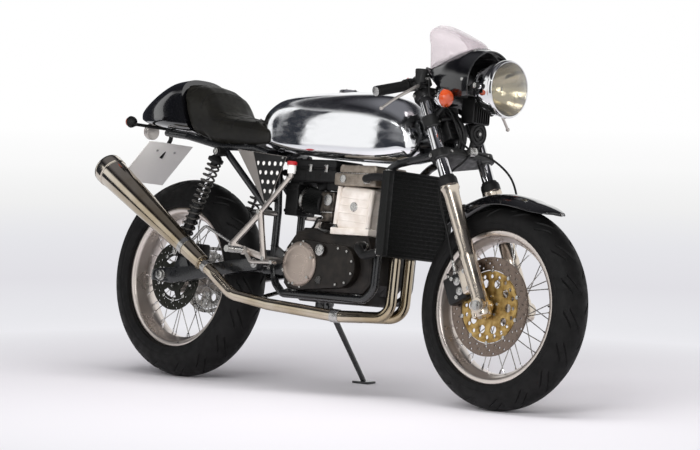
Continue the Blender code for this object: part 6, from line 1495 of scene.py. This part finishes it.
bm = bmesh.new()
block(bm, (0.180, 0.166, 0.040), shift(0.795, 0, 0.6752), 0.006, 4)
block(bm, (0.172, 0.158, 0.006), shift(0.795, 0, 0.6940), 0.0020, 2, paint=1)
block(bm, (0.160, 0.150, 0.030), shift(0.795, 0, 0.7070), 0.010, 4)
for sign in (1, -1):
    bar(bm, (0.870, sign * 0.034, 0.677), (0.8965, sign * 0.034, 0.677), 0.0235, sides=40)
    for x in (0.745, 0.845):
        lathe(bm, [(0, 0.0042), (0.009, 0.0042), (0.0125, 0.0036), (0.0140, 0.0010), (0.0140, -0.002)],
              shift(x, sign * 0.0826, 0.676) @ turn(-90 * sign, "X"), 36, paint=1)
    for x in (0.728, 0.795, 0.862):
        bar(bm, (x, sign * 0.066, 0.700), (x, sign * 0.066, 0.7215), 0.0075, sides=24)
        bolt(bm, (x, sign * 0.066, 0.7205), (0, 0, 1), 0.0050, 0.0014, paint=1)
    for fin in range(3):
        block(bm, (0.120, 0.0035, 0.0030), shift(0.795, sign * 0.0828, 0.6640 + 0.0085 * fin), 0.0012, 2)
for y in (-0.030, 0.030):
    bar(bm, (0.795, y, 0.7200), (0.795, y, 0.7219), 0.013, sides=32, paint=2)
finish("cylinder_head_cast", "chassis", bm, [cast, steel, rubber], ["cylinder_head"],
       sharp=40)

# %% [markdown]
# ## Intake, radiator and exhaust
# The carburettor has its float bowl, dome and throttle wheel, and breathes through a pleated filter. The
# radiator is a stack of flat tubes with thin fins between, and its hoses are clamped at both ends.

# %% Carburettor
bm = bmesh.new()
INTAKE = 0.598
bar(bm, (0.7077, 0, INTAKE), (0.640, 0, INTAKE), 0.0215, sides=40, paint=1)
for x in (0.700, 0.668):
    bar(bm, (x - 0.004, 0, INTAKE), (x + 0.004, 0, INTAKE), 0.0235, sides=40, edge=0.0005, paint=2)
block(bm, (0.060, 0.062, 0.066), shift(0.632, 0, INTAKE + 0.006), 0.006, 4)
block(bm, (0.050, 0.056, 0.040), shift(0.632, 0, INTAKE - 0.040), 0.006, 4)
block(bm, (0.054, 0.060, 0.0040), shift(0.632, 0, INTAKE - 0.0270), 0.0012, 2, paint=2)
bar(bm, (0.632, 0, INTAKE + 0.030), (0.632, 0, INTAKE + 0.0410), 0.0260, sides=44, edge=0.003)
for sign in (1, -1):
    for x in (0.612, 0.652):
        screw(bm, (x, sign * 0.0250, INTAKE - 0.0600), (0, 0, -1), 0.0028, 0.0020, paint=2)
        screw(bm, (x, sign * 0.0185, INTAKE + 0.0400), (0, 0, 1), 0.0028, 0.0020, paint=2)
bar(bm, (0.640, -0.030, INTAKE + 0.012), (0.640, -0.0360, INTAKE + 0.012), 0.0180, sides=36, paint=2)
bar(bm, (0.618, -0.026, INTAKE - 0.045), (0.618, -0.034, INTAKE - 0.045), 0.0050, sides=20, paint=3)
tube(bm, flowing([(0.618, -0.032, INTAKE - 0.045), (0.612, -0.046, INTAKE - 0.052),
                  (0.600, -0.048, INTAKE - 0.080), (0.590, -0.040, INTAKE - 0.088)], 20), 0.0035, 4, paint=1)
filter_place = along((0.608, 0, INTAKE), (0.520, 0, INTAKE + 0.012))
length = 0.0888
lathe(bm, [(0.022, -0.006), (0.0300, -0.002), (0.0400, 0), (0.0405, 0.008), (0.0380, 0.010)], filter_place, 48,
      paint=1)
rings = []
for share in (0, 1):
    rings.append([Vector((radius * math.cos(angle), radius * math.sin(angle), 0.008 + share * (length - 0.020)))
                  for radius, angle in (((0.0392 + 0.0045 * share - (0.0030 if step % 2 else 0)),
                                         2 * math.pi * step / 96)
                                        for step in range(96))])
skin(bm, rings, filter_place, paint=4)
lathe(bm, [(0.0430, length - 0.013), (0.0455, length - 0.012), (0.0458, length - 0.002), (0.0440, length),
           (0, length)],
      filter_place, 48, paint=2)
finish("carburettor_body", "chassis", bm, [dark_metal, rubber, steel, chrome, fin_black], ["carburettor"])

# %% Airbox
bm = bmesh.new()
case = shift(0.581, 0, 0.700)
block(bm, (0.222, 0.132, 0.042), case @ shift(0, 0, -0.015), 0.009, 3)
block(bm, (0.222, 0.132, 0.027), case @ shift(0, 0, 0.0225), 0.008, 3)
block(bm, (0.214, 0.124, 0.006), case @ shift(0, 0, 0.0075), 0.001, 1)
for sign in (1, -1):
    for x in (-0.070, 0.0, 0.070):
        block(bm, (0.014, 0.0030, 0.024), case @ shift(x, sign * 0.0655, 0.008), 0.001, 2, paint=1)
        bar(bm, (x - 0.009, sign * 0.0668, 0.0175), (x + 0.009, sign * 0.0668, 0.0175), 0.0018, sides=12,
            edge=0.0003, paint=1, place=case)
    for rib in range(9):
        block(bm, (0.0035, 0.0030, 0.022), case @ shift(-0.088 + 0.022 * rib, sign * 0.0652, -0.018), 0.001, 2)
    bar(bm, (0.480, sign * 0.055, 0.690), (0.4475, sign * 0.055, 0.690), 0.008, sides=28, paint=0)
    bar(bm, (0.462, sign * 0.055, 0.690), (0.4560, sign * 0.055, 0.690), 0.0105, sides=28, paint=0)
# A rubber duct leads down to the carburettor, beside the moulded tray that holds the wiring
tube(bm, rounded([(0.585, 0.012, 0.684), (0.585, 0.012, 0.660), (0.566, 0.004, 0.648)], 0.012), 0.024, 6)
block(bm, (0.052, 0.090, 0.044), shift(0.664, 0, 0.6620), 0.006, 3)
block(bm, (0.060, 0.084, 0.030), shift(0.498, 0, 0.6690), 0.006, 3)
block(bm, (0.056, 0.088, 0.106), shift(0.485, 0, 0.6080), 0.005, 3)
for up in (0.570, 0.640):
    block(bm, (0.059, 0.091, 0.010), shift(0.485, 0, up), 0.002, 2)
finish("airbox_ribbed", "chassis", bm, [rubber, steel], ["airbox"])

# %% Radiator
bm = bmesh.new()
RX, LOW, HIGH = 0.992, 0.438, 0.706
block(bm, (0.020, 0.268, HIGH - LOW - 0.004), shift(RX, 0, (LOW + HIGH) / 2), 0.002, 2)
for row in range(20):
    up = LOW + 0.012 + (HIGH - LOW - 0.024) * row / 19
    block(bm, (0.0250, 0.262, 0.0024), shift(RX, 0, up), 0.0008, 2)
for row in range(65):
    left = -0.128 + 0.256 * row / 64
    for face in (-0.0111, 0.0111):
        block(bm, (0.0010, 0.0009, HIGH - LOW - 0.012), shift(RX + face, left, (LOW + HIGH) / 2), 0.0002, 1,
              paint=1)
for sign in (1, -1):
    block(bm, (0.032, 0.026, HIGH - LOW - 0.004), shift(RX, sign * 0.143, (LOW + HIGH) / 2), 0.006, 4)
    block(bm, (0.026, 0.270, 0.005), shift(RX, 0, HIGH - 0.0027 if sign > 0 else LOW + 0.0027), 0.001, 2)
    for up in (LOW + 0.030, HIGH - 0.050):
        bar(bm, (RX - 0.010, sign * SIDE_Y, up), (0.9385, sign * SIDE_Y, up), 0.007, sides=24, paint=2)
        bar(bm, (0.966, sign * SIDE_Y, up), (0.972, sign * SIDE_Y, up), 0.0110, sides=28, paint=2)
hoses = [rounded([(RX - 0.008, -0.112, HIGH - 0.022), (0.900, -0.112, HIGH - 0.022), (0.862, -0.112, 0.677),
                  (0.862, -0.0833, 0.677)], 0.02),
         rounded([(RX - 0.008, -0.120, LOW + 0.020), (0.900, -0.125, LOW - 0.002), (0.866, -0.125, 0.468),
                  (0.866, -0.0783, 0.468)], 0.02)]
for route, radius in zip(hoses, (0.0122, 0.0132)):
    tube(bm, route, radius, 6, paint=2)
    for at, aim in ((route[0].lerp(route[1], 0.32), route[1]), (route[-1].lerp(route[-2], 0.35), route[-2])):
        heading = (aim - at).normalized()
        bar(bm, at - heading * 0.004, at + heading * 0.004, radius + 0.0010, sides=32, edge=0.0004, paint=3)
bar(bm, (RX, -0.143, HIGH - 0.004), (RX, -0.143, HIGH - 0.0001), 0.0110, sides=32, edge=0.0008, paint=3)
finish("radiator_core", "chassis", bm, [fin_black, fin_black, rubber, steel], ["radiator"])

# %% Exhaust pipes
PORT_Y, PORT_Z = 0.034, 0.677
SILENCER_FRONT, SILENCER_REAR = Vector((0.255, -0.190, 0.376)), Vector((-0.250, -0.190, 0.675))
LINE = (SILENCER_REAR - SILENCER_FRONT).normalized()
bm = bmesh.new()
for sign in (1, -1):
    route = [(0.8973, sign * PORT_Y, PORT_Z), (0.948, sign * PORT_Y, PORT_Z), (0.952, sign * 0.032, 0.430),
             (0.948, sign * 0.032, 0.252), (0.790, -0.088, 0.2435)]
    tube(bm, rounded(route, 0.050, 10), 0.0175, 8)
    lathe(bm, [(0.0176, 0.0005), (0.0235, 0.0008), (0.0240, 0.0030), (0.0225, 0.0055), (0.0176, 0.0060)],
          shift(0.8973, sign * PORT_Y, PORT_Z) @ AHEAD, 40, paint=1)
    for side in (1, -1):
        bolt(bm, (0.9030, sign * PORT_Y + side * 0.0185, PORT_Z - 0.010), (1, 0, 0), 0.0042, 0.0055, paint=1)
main = [(0.850, -0.050, 0.247), (0.780, -0.095, 0.243), (0.520, -0.138, 0.262), (0.370, -0.158, 0.283),
        SILENCER_FRONT - LINE * 0.055, SILENCER_FRONT - LINE * 0.0003]
main = rounded(main, 0.070, 10)
tube(bm, main, 0.019, 8)
bar(bm, (0.790, -0.090, 0.2435), (0.762, -0.0985, 0.2445), 0.0212, sides=44, edge=0.0008, paint=1)
bar(bm, SILENCER_FRONT - LINE * 0.030, SILENCER_FRONT - LINE * 0.010, 0.0212, sides=44, edge=0.0010, paint=1)
bolt(bm, SILENCER_FRONT - LINE * 0.020 + Vector((0, -0.0205, 0)), (0, -1, 0), 0.0040, 0.005, paint=1)
finish("exhaust_headers", "chassis", bm, [stainless, steel], ["exhaust_pipes"])

# %% Silencer
bm = bmesh.new()
length = (SILENCER_REAR - SILENCER_FRONT).length
place = along(SILENCER_FRONT, SILENCER_REAR)
lathe(bm, [(0.0192, 0), (0.0235, 0.0008), (0.0245, 0.006), (0.0262, 0.030), (0.0275, 0.060), (0.0340, 0.190),
           (0.0415, 0.340), (0.0498, length - 0.050), (0.0505, length - 0.040), (0.0525, length - 0.038),
           (0.0525, length - 0.012), (0.0515, length - 0.005), (0.0485, length), (0.0400, length - 0.0005),
           (0.0370, length - 0.0040), (0.0345, length - 0.0080)], place, 96)
lathe(bm, [(0.0345, length - 0.0080), (0.0310, length - 0.0150), (0.0300, length - 0.070),
           (0, length - 0.070)], place,
      64, paint=1)
for up in (0.004, length - 0.044):
    lathe(bm, [(0.0250 if up < 0.01 else 0.0505, up), (0.0262 if up < 0.01 else 0.0515, up + 0.0012),
               (0.0255 if up < 0.01 else 0.0505, up + 0.0025)], place, 96)
lug = SILENCER_FRONT + LINE * 0.10
strap = rounded([lug + Vector((0, 0.012, 0.010)), (0.205, -0.145, 0.500), (0.300, -0.115, 0.452),
                 (0.327, -0.115, 0.443), (0.327, -0.1377, 0.443)], 0.012)
tube(bm, strap, 0.005, 6, paint=2)
lathe(bm, [(0.0296, 0.090), (0.0308, 0.090), (0.0312, 0.110), (0.0300, 0.110)], place, 64, closed=True, paint=2)
finish("silencer_cone", "chassis", bm, [stainless, dark_metal, steel], ["silencer"], sharp=28)

# %% [markdown]
# ## Tank, seat and tail
# The tank is hand-beaten: its sections are superellipses, interpolated along the machine, with a knee
# hollow behind and a tunnel for the frame below. It is left in bare, polished aluminium.

# %% Sections across the machine
def section(x, half_width, low, high, slant, angles, upper, lower):
    """Points across the machine on a superellipse whose upper and lower halves differ."""
    middle = low + (high - low) * 0.40
    ring = []
    for angle in angles:
        power = upper if math.sin(angle) > 0 else lower
        height = high - middle if math.sin(angle) > 0 else middle - low
        y = half_width * math.copysign(abs(math.cos(angle)) ** (2 / power), math.cos(angle))
        z = middle + height * math.copysign(abs(math.sin(angle)) ** (2 / power), math.sin(angle))
        ring.append(Vector((x - slant * (z - low), y, z)))
    return ring


def spread(first, last, count):
    """Evenly spread numbers from the first to the last, both kept."""
    return [first + (last - first) * step / (count - 1) for step in range(count)]


# %% Fuel tank
TANK = [(0.335, 0.042, 0.790, 0.862, 3.2), (0.346, 0.064, 0.776, 0.886, 3.2), (0.376, 0.088, 0.766, 0.911, 3.5),
        (0.440, 0.110, 0.758, 0.937, 4.5), (0.560, 0.129, 0.747, 0.951, 5.5), (0.720, 0.134, 0.741, 0.959, 5.5),
        (0.850, 0.127, 0.738, 0.956, 5.5), (0.930, 0.112, 0.739, 0.938, 4.2), (0.972, 0.098, 0.744, 0.908, 3.2),
        (1.000, 0.082, 0.750, 0.868, 3.2), (1.018, 0.060, 0.768, 0.832, 3.2)]
firsts = flowing([(x, width, low) for x, width, low, high, power in TANK], 80)
seconds = flowing([(high, power, 0) for x, width, low, high, power in TANK], 80)
rings = []
for (x, width, low), (high, power, _) in zip(firsts, seconds):
    half, roof = min(0.045, width * 0.62), min(0.836, low + (high - low) * 0.55)
    edge_angle = math.acos((half / width) ** (power / 2))
    ring = section(x, width, low, high, 0, spread(-edge_angle, math.pi + edge_angle, 97), 2.5, power)
    for point in ring:
        hollow = 0.007 * math.exp(-((x - 0.455) / 0.085) ** 2 - ((point.z - 0.845) / 0.045) ** 2)
        if abs(point.y) > 0.07:
            point.y -= math.copysign(hollow, point.y)
    ring += [Vector((x, side, up)) for side, up in ((-half, (low + roof) / 2), (-half, roof), (0, roof),
                                                    (half, roof),
                                                   (half, (low + roof) / 2))]
    rings.append(ring)
bm = bmesh.new()
skin(bm, rings)
lathe(bm, [(0, 0.0130), (0.0060, 0.0130), (0.0075, 0.0118), (0.0240, 0.0112), (0.0270, 0.0098),
           (0.0290, 0.0100), (0.0305, 0.0085), (0.0320, 0.0030), (0.0345, 0.0015), (0.0360, -0.0010)],
      shift(0.660, 0, 0.9550), 64, paint=1)
for step in range(5):
    angle = math.radians(72 * step)
    screw(bm, (0.660 + 0.0235 * math.cos(angle), 0.0235 * math.sin(angle), 0.9662), (0, 0, 1), 0.0026, 0.0012,
          paint=1)
block(bm, (0.016, 0.012, 0.005), shift(0.627, 0, 0.9633), 0.0015, 2, paint=1)
finish("fuel_tank_beaten", "chassis", bm, [polished_tank, chrome], ["fuel_tank"],
       sharp=50)

# %% [markdown]
# The seat is padded leather. It starts as a slightly smaller copy of its solid, is remeshed into an even
# skin and blown up by cloth pressure, with the swelling capped so it keeps to its size. Its stitched seams
# are laid on afterwards: two along each side, three across the pad and one across the hump.

# %% Padded seat
SEAT = frame["nodes"]["seat"]
CAP = 0.006


def seat_copy():
    """The seat's solid as a bmesh in the world, its triangles merged."""
    bm = bmesh.new()
    bm.from_mesh(SEAT.data)
    bm.transform(SEAT.matrix_world)
    bmesh.ops.remove_doubles(bm, verts=bm.verts, dist=0.00003)
    bmesh.ops.dissolve_limit(bm, angle_limit=math.radians(1), verts=bm.verts, edges=bm.edges)
    bmesh.ops.recalc_face_normals(bm, faces=bm.faces)
    return bm


bm = seat_copy()
centre = sum((vert.co for vert in bm.verts), Vector()) / len(bm.verts)
for vert in bm.verts:
    vert.co = centre + (vert.co - centre) * 0.985
mesh = bpy.data.meshes.new("seat_padded")
bm.to_mesh(mesh)
bm.free()
seat = bpy.data.objects.new("seat_padded", mesh)
scene.collection.objects.link(seat)


def applied(piece):
    """Puts a piece's evaluated mesh in place of its mesh and modifiers."""
    graph = bpy.context.evaluated_depsgraph_get()
    made = bpy.data.meshes.new_from_object(piece.evaluated_get(graph))
    piece.modifiers.clear()
    piece.data = made


skinned = seat.modifiers.new("skin", "REMESH")
skinned.mode, skinned.voxel_size = "VOXEL", 0.0055
eased = seat.modifiers.new("ease", "SMOOTH")
eased.factor, eased.iterations = 0.5, 3
applied(seat)
start_shape = [vert.co.copy() for vert in seat.data.vertices]
cloth = seat.modifiers.new("cloth", "CLOTH")
cloth.settings.use_pressure = True
cloth.settings.uniform_pressure_force = 4.0
cloth.settings.effector_weights.gravity = 0.0
cloth.settings.quality = 6
cloth.point_cache.frame_start, cloth.point_cache.frame_end = 1, 20
for frame_number in range(1, 21):
    scene.frame_set(frame_number)
applied(seat)
scene.frame_set(1)
longest = 0.0
for vert, before in zip(seat.data.vertices, start_shape):
    moved = vert.co - before
    longest = max(longest, moved.length)
    if moved.length > CAP:
        vert.co = before + moved.normalized() * CAP
print("the cloth moved at most", round(longest * 1000, 1), "mm, capped at", CAP * 1000)
once = seat.modifiers.new("once", "SUBSURF")
once.levels = once.render_levels = 1
applied(seat)
seat.data.materials.clear()
seat.data.materials.append(leather)
seat.data.shade_smooth()
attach(seat, "chassis")
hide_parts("seat")
print("seat_padded", len(seat.data.polygons), "faces")

# %% Seat seams
bpy.context.view_layer.update()
TO_WORLD, FROM_WORLD = MACHINE.to_3x3(), MACHINE.inverted()


def on_seat(x, middle, degrees):
    """The leather's point at one station, looked for from outside at an angle from straight up."""
    out = Vector((0, math.sin(math.radians(degrees)), math.cos(math.radians(degrees))))
    hit, at, normal, _ = seat.ray_cast(MACHINE @ (Vector((x, 0, middle)) + out * 0.5), TO_WORLD @ -out)
    return FROM_WORLD @ at if hit else None


def seam(points):
    """A thread 2.6 mm thick, sunk by half into the leather along a row of points."""
    points = [point for point in points if point is not None]
    if len(points) > 3:
        tube(bm, flowing(points, 3 * len(points)), 0.0013, 3)


bm = bmesh.new()
for sign in (1, -1):
    seam([on_seat(0.412 - 0.262 * step / 30, 0.818, sign * 72) for step in range(31)])
    seam([on_seat(0.412 - 0.262 * step / 30, 0.818, sign * 50) for step in range(31)])
for x, middle in ((0.335, 0.815), (0.250, 0.818), (0.190, 0.822), (0.100, 0.880)):
    seam([on_seat(x, middle, -88 + 176 * step / 48) for step in range(49)])
finish("seat_seams", "chassis", bm, [rubber], [])

# %% Tail
TAIL = [(0.0596, 0.42, 0.126, 0.8061, 0.991), (-0.010, 0.42, 0.123, 0.812, 0.981),
        (-0.080, 0.38, 0.112, 0.819, 0.959), (-0.150, 0.30, 0.093, 0.827, 0.933),
        (-0.215, 0.22, 0.066, 0.837, 0.907), (-0.270, 0.12, 0.032, 0.850, 0.886),
        (-0.290, 0.10, 0.012, 0.858, 0.879)]
firsts = flowing([(x, slant, width) for x, slant, width, low, high in TAIL], 48)
seconds = flowing([(low, high, 0) for x, slant, width, low, high in TAIL], 48)
rings = [section(x, width, low, high, slant, spread(0, 2 * math.pi, 97)[:-1], 2.7, 5.0)
         for (x, slant, width), (low, high, _) in zip(firsts, seconds)]
bm = bmesh.new()
skin(bm, rings)
finish("tail_cowl_moulded", "chassis", bm, [gloss_black], ["tail_cowl"], sharp=45)

# %% [markdown]
# ## Side panels and the things at the tail
# Each panel is a grey plate with a raised black part, drilled in rows over a pale sheet. Behind the seat
# come the plate on its bracket, left blank, the ribbed red lamp, and two small indicators on one bar.

# %% Side panels
for side, sign in SIDES:
    bm = bmesh.new()
    plate(bm, [[(0.285, 0.757), (0.436, 0.578), (0.448, 0.585), (0.512, 0.738)]], 0.004,
          shift(0, sign * 0.1085, 0) @ SIDE, 0.0012)
    holes = [ring_of((0.3875 + 0.0135 * row + 0.026 * index, 0.714 - 0.030 * row), 0.0072, 24)
             for row, count in enumerate((5, 4, 3, 2)) for index in range(count)]
    plate(bm, [[(0.362, 0.7495), (0.437, 0.580), (0.447, 0.586), (0.511, 0.737)], *holes], 0.004,
          shift(0, sign * 0.1115, 0) @ SIDE, 0.0008, paint=1)
    plate(bm, [[(0.370, 0.744), (0.438, 0.592), (0.445, 0.595), (0.504, 0.734)]], 0.0008,
          shift(0, sign * 0.1108, 0) @ SIDE, 0.0002, paint=3)
    bar(bm, (0.440, sign * 0.0680, 0.598), (0.440, sign * 0.1085, 0.598), 0.006, sides=24, paint=1)
    for x, z in ((0.300, 0.7475), (0.500, 0.7335), (0.4405, 0.590)):
        screw(bm, (x, sign * (0.1135 if x > 0.35 else 0.1103), z), (0, sign, 0), 0.0038, 0.0022, paint=2)
    finish(f"side_panel_{side}_drilled", "chassis", bm, [panel_grey, satin_black, steel, plate_white],
           [f"side_panel_{side}"])

# %% Number plate, lamp and rear indicators
bm = bmesh.new()
top, low = Vector((-0.150, 0, 0.776)), Vector((-0.285, 0, 0.641))
slope = Matrix.Translation((top + low) / 2) @ turn(-45, "Y")
block(bm, ((top - low).length, 0.200, 0.0028), slope, 0.0012, 2)
for sign in (1, -1):
    screw(bm, (0.060, sign * 0.040, 0.0014), (0, 0, 1), 0.0045, 0.0022, paint=2, place=slope)
    screw(bm, (0.060, sign * 0.040, -0.0018), (0, 0, -1), 0.0045, 0.0022, paint=2, place=slope)
tube(bm, rounded([(-0.155, 0, 0.8265), (-0.155, 0, 0.790), (top + low) / 2 + Vector((0.020, 0, 0.020))], 0.02),
     0.007, 6, paint=1)
block(bm, (0.060, 0.050, 0.003), slope @ shift(0.055, 0, 0.003), 0.001, 2, paint=1)
finish("number_plate_blank", "chassis", bm, [plate_white, satin_black, steel], ["number_plate"])

bm = bmesh.new()
place = shift(-0.262, 0, 0.8155) @ turn(-90, "Y")
lathe(bm, [(0, -0.018), (0.0260, -0.018), (0.0280, -0.0160), (0.0280, -0.0020), (0.0270, 0), (0.0255, 0)],
      place, 56, paint=1)
ribs = [(0.0255, -0.0010), (0.0255, 0.0020), (0.0245, 0.0045)]
for rib in range(5):
    ribs += [(0.0225 - 0.0042 * rib, 0.0066 + 0.0010 * rib), (0.0205 - 0.0042 * rib, 0.0060 + 0.0011 * rib)]
lathe(bm, [*ribs, (0.0020, 0.0115), (0, 0.0118)], place, 56)
bar(bm, (-0.262, 0, 0.837), (-0.248, 0, 0.847), 0.007, sides=20, paint=1)
finish("tail_lamp_lens", "chassis", bm, [red_lens, satin], ["tail_lamp"])

bm = bmesh.new()
bar(bm, (-0.180, -0.148, 0.8258), (-0.180, 0.148, 0.8258), 0.0055, sides=28)
for sign in (1, -1):
    at = Vector((-0.180, sign * 0.163, 0.8318))
    place = Matrix.Translation(at) @ turn(-90, "Y")
    lathe(bm, [(0, -0.0200), (0.0080, -0.0185), (0.0140, -0.0140), (0.0180, -0.0070), (0.0195, 0.0),
               (0.0198, 0.0030), (0.0190, 0.0045), (0.0180, 0.0040)], place, 40)
    lathe(bm, [(0.0182, 0.0030), (0.0178, 0.0070), (0.0150, 0.0130), (0.0090, 0.0175), (0, 0.0195)], place, 40,
          paint=1)
    bar(bm, at + Vector((0, -sign * 0.010, -0.006)), at + Vector((0, -sign * 0.022, -0.006)), 0.0075, 0.0065,
        sides=24)
finish("rear_indicators_lamps", "chassis", bm, [rubber, amber], ["rear_indicators"])

# %% [markdown]
# ## The studio
# The floor is plain and pale. A room of soft light stands in for the hall: it is pale at the horizon, so
# it lights the machine evenly, and dark above, so chrome has something to mirror. Three area lamps shape
# the forms: a large one at the machine's right, one overhead and a weak one in front.

# %% Light, floor and background
def area(name, at, aim, width, height, power):
    """A rectangular lamp at a point, aimed at another."""
    light = bpy.data.lights.new(name, "AREA")
    light.shape, light.size, light.size_y = "RECTANGLE", width, height
    light.energy = power
    holder = bpy.data.objects.new(name, light)
    holder.location = at
    holder.rotation_euler = (Vector(aim) - Vector(at)).to_track_quat("-Z", "Y").to_euler()
    scene.collection.objects.link(holder)
    return holder


area("key", (1.2, -3.6, 2.4), (0, 0, 0.6), 3.2, 1.6, 110)
area("overhead", (0.2, -0.4, 3.4), (0, 0, 0.4), 3.0, 2.0, 90).visible_glossy = False
area("front", (4.2, -0.6, 1.6), (0.4, 0, 0.6), 1.6, 1.6, 40).visible_glossy = False

world = bpy.data.worlds.new("hall")
scene.world = world
world.use_nodes = True
tree = world.node_tree
tree.nodes.clear()
place = add(tree, "ShaderNodeTexCoord").outputs["Generated"]
height = add(tree, "ShaderNodeSeparateXYZ", {"Vector": place}).outputs["Z"]
walls = banded(tree, height, (0.0, "#dcd8dc"), (0.9, "#8c8c90"),
               ((0.10, "#e8e5ea"), (0.30, "#c9c7cc"), (0.42, "#3a3a3c"), (0.60, "#26262a")))
mirrored = banded(tree, height, (0.0, "#ffffff"), (0.9, "#77777c"),
                  ((0.50, "#ffffff"), (0.60, "#3a3a3e"), (0.72, "#242428")))
ray = add(tree, "ShaderNodeLightPath")
lit = add(tree, "ShaderNodeBackground", {"Color": walls, "Strength": 0.85})
mirror = add(tree, "ShaderNodeBackground", {"Color": mirrored, "Strength": 1.0})
white = add(tree, "ShaderNodeBackground", {"Color": linear("#ffffff"), "Strength": 1.0})
inner = add(tree, "ShaderNodeMixShader", {"Fac": ray.outputs["Is Glossy Ray"], 1: lit.outputs[0],
                                          2: mirror.outputs[0]})
open_rays = add(tree, "ShaderNodeMath", {0: ray.outputs["Is Camera Ray"],
                                         1: ray.outputs["Is Transmission Ray"]},
                operation="MAXIMUM")
shown = add(tree, "ShaderNodeMixShader", {"Fac": open_rays.outputs[0], 1: inner.outputs[0],
                                          2: white.outputs[0]})
tree.links.new(shown.outputs[0], add(tree, "ShaderNodeOutputWorld").inputs["Surface"])

# %% Dark screens for the metal to mirror
def standing(name, shape, made):
    """An object of one material from a bmesh that already lies where it stands."""
    mesh = bpy.data.meshes.new(name)
    shape.to_mesh(mesh)
    shape.free()
    mesh.materials.append(made)
    piece = bpy.data.objects.new(name, mesh)
    scene.collection.objects.link(piece)
    return piece


# They stand round the machine like a photographer's flags, each from one compass angle to another. Only
# reflections see them.
flag_cloth = surface("dark_flag_cloth", "#2b2d33", 0.9)
tree, shader, place = parts_of(flag_cloth)
dim = add(tree, "ShaderNodeEmission", {"Color": linear("#303238"), "Strength": 1.0})
tree.links.new(dim.outputs[0], tree.nodes["Material Output"].inputs["Surface"])
FLAG_DISTANCE, FLAG_FOOT, FLAG_HEIGHT, FLAG_STEPS = 3.2, 0.25, 2.6, 24
for number, (start, end) in enumerate(((146, 187), (198, 219), (256, 304))):
    shape = bmesh.new()
    angles = [math.radians(start + (end - start) * step / FLAG_STEPS) for step in range(FLAG_STEPS + 1)]
    low = [shape.verts.new((FLAG_DISTANCE * math.cos(angle), FLAG_DISTANCE * math.sin(angle), FLAG_FOOT))
           for angle in angles]
    high = [shape.verts.new(vert.co + Vector((0, 0, FLAG_HEIGHT))) for vert in low]
    for step in range(FLAG_STEPS):
        shape.faces.new((low[step], low[step + 1], high[step + 1], high[step]))
    flag = standing(f"flag_{number}", shape, flag_cloth)
    flag.visible_camera = flag.visible_diffuse = flag.visible_shadow = flag.visible_transmission = False
    flag.visible_volume_scatter = False

# %% Floor
# The floor is plain near the machine. Farther out the camera and reflections see painted light instead of lit
# floor: a glow that dips to a grey-lilac painted shade about 4 m away and brightens to white far off
shape = bmesh.new()
bmesh.ops.create_circle(shape, cap_ends=True, segments=96, radius=60)
paper = surface("pale_floor", "#e9e6ea", 0.7)
floor = standing("floor", shape, paper)
tree, shader, place = parts_of(paper)
flat = add(tree, "ShaderNodeVectorMath", {0: place, 1: (0.8, 1.0, 1.0)}, operation="MULTIPLY").outputs["Vector"]
distance = add(tree, "ShaderNodeVectorMath", {0: flat}, operation="LENGTH").outputs["Value"]
far = add(tree, "ShaderNodeMapRange", {"Value": distance, "From Min": 0.75, "From Max": 1.9}, clamp=True)
spread = add(tree, "ShaderNodeMapRange", {"Value": distance, "From Min": 1.0, "From Max": 30.0})
# Painted light and shade of the far floor, by distance from the machine
painted_floor_tone = banded(tree, spread.outputs[0], (0.0, "#f2f1f5"), (0.95, "#ffffff"),
              ((0.045, "#e8e8ec"), (0.107, "#e1e0e5"), (0.197, "#e6e6ea"), (0.324, "#f0f0f0"),
               (0.538, "#f9f9f9")))
painted_floor_glow = add(tree, "ShaderNodeEmission", {"Color": painted_floor_tone, "Strength": 1.0})
path = add(tree, "ShaderNodeLightPath")
seen = add(tree, "ShaderNodeMath", {0: path.outputs["Is Camera Ray"], 1: path.outputs["Is Glossy Ray"]},
           operation="MAXIMUM")
share = add(tree, "ShaderNodeMath", {0: seen.outputs[0], 1: far.outputs[0]}, operation="MULTIPLY")
both = add(tree, "ShaderNodeMixShader", {"Fac": share.outputs[0], 1: shader.outputs[0], 2: painted_floor_glow.outputs[0]})
tree.links.new(both.outputs[0], tree.nodes["Material Output"].inputs["Surface"])

# %% [markdown]
# ## Plain finishes for what is left
# Every solid that no piece stands for still gets a procedural finish of its own.

# %% Finish the remaining solids
PLAIN = {"polished_aluminium": polished_tank, "cast_aluminium": cast, "chrome": chrome,
         "tyre_rubber": tyre_rubber, "black_rubber": rubber, "black_leather": leather,
         "smoked_plastic": acrylic, "black_plastic": gloss_black, "orange_plastic": amber,
         "red_plastic": red_cap, "pale_plastic": plate_white, "black_paint": enamel, "dark_steel": satin_black,
         "gold_aluminium": bronze, "brushed_steel": steel}
slots = {part["node"]: part["material_slot"] for part in frame["record"]["subparts"]}
for name, solid in frame["nodes"].items():
    solid.data.materials.clear()
    solid.data.materials.append(PLAIN[slots[name]])

scene.view_settings.view_transform = "Standard"
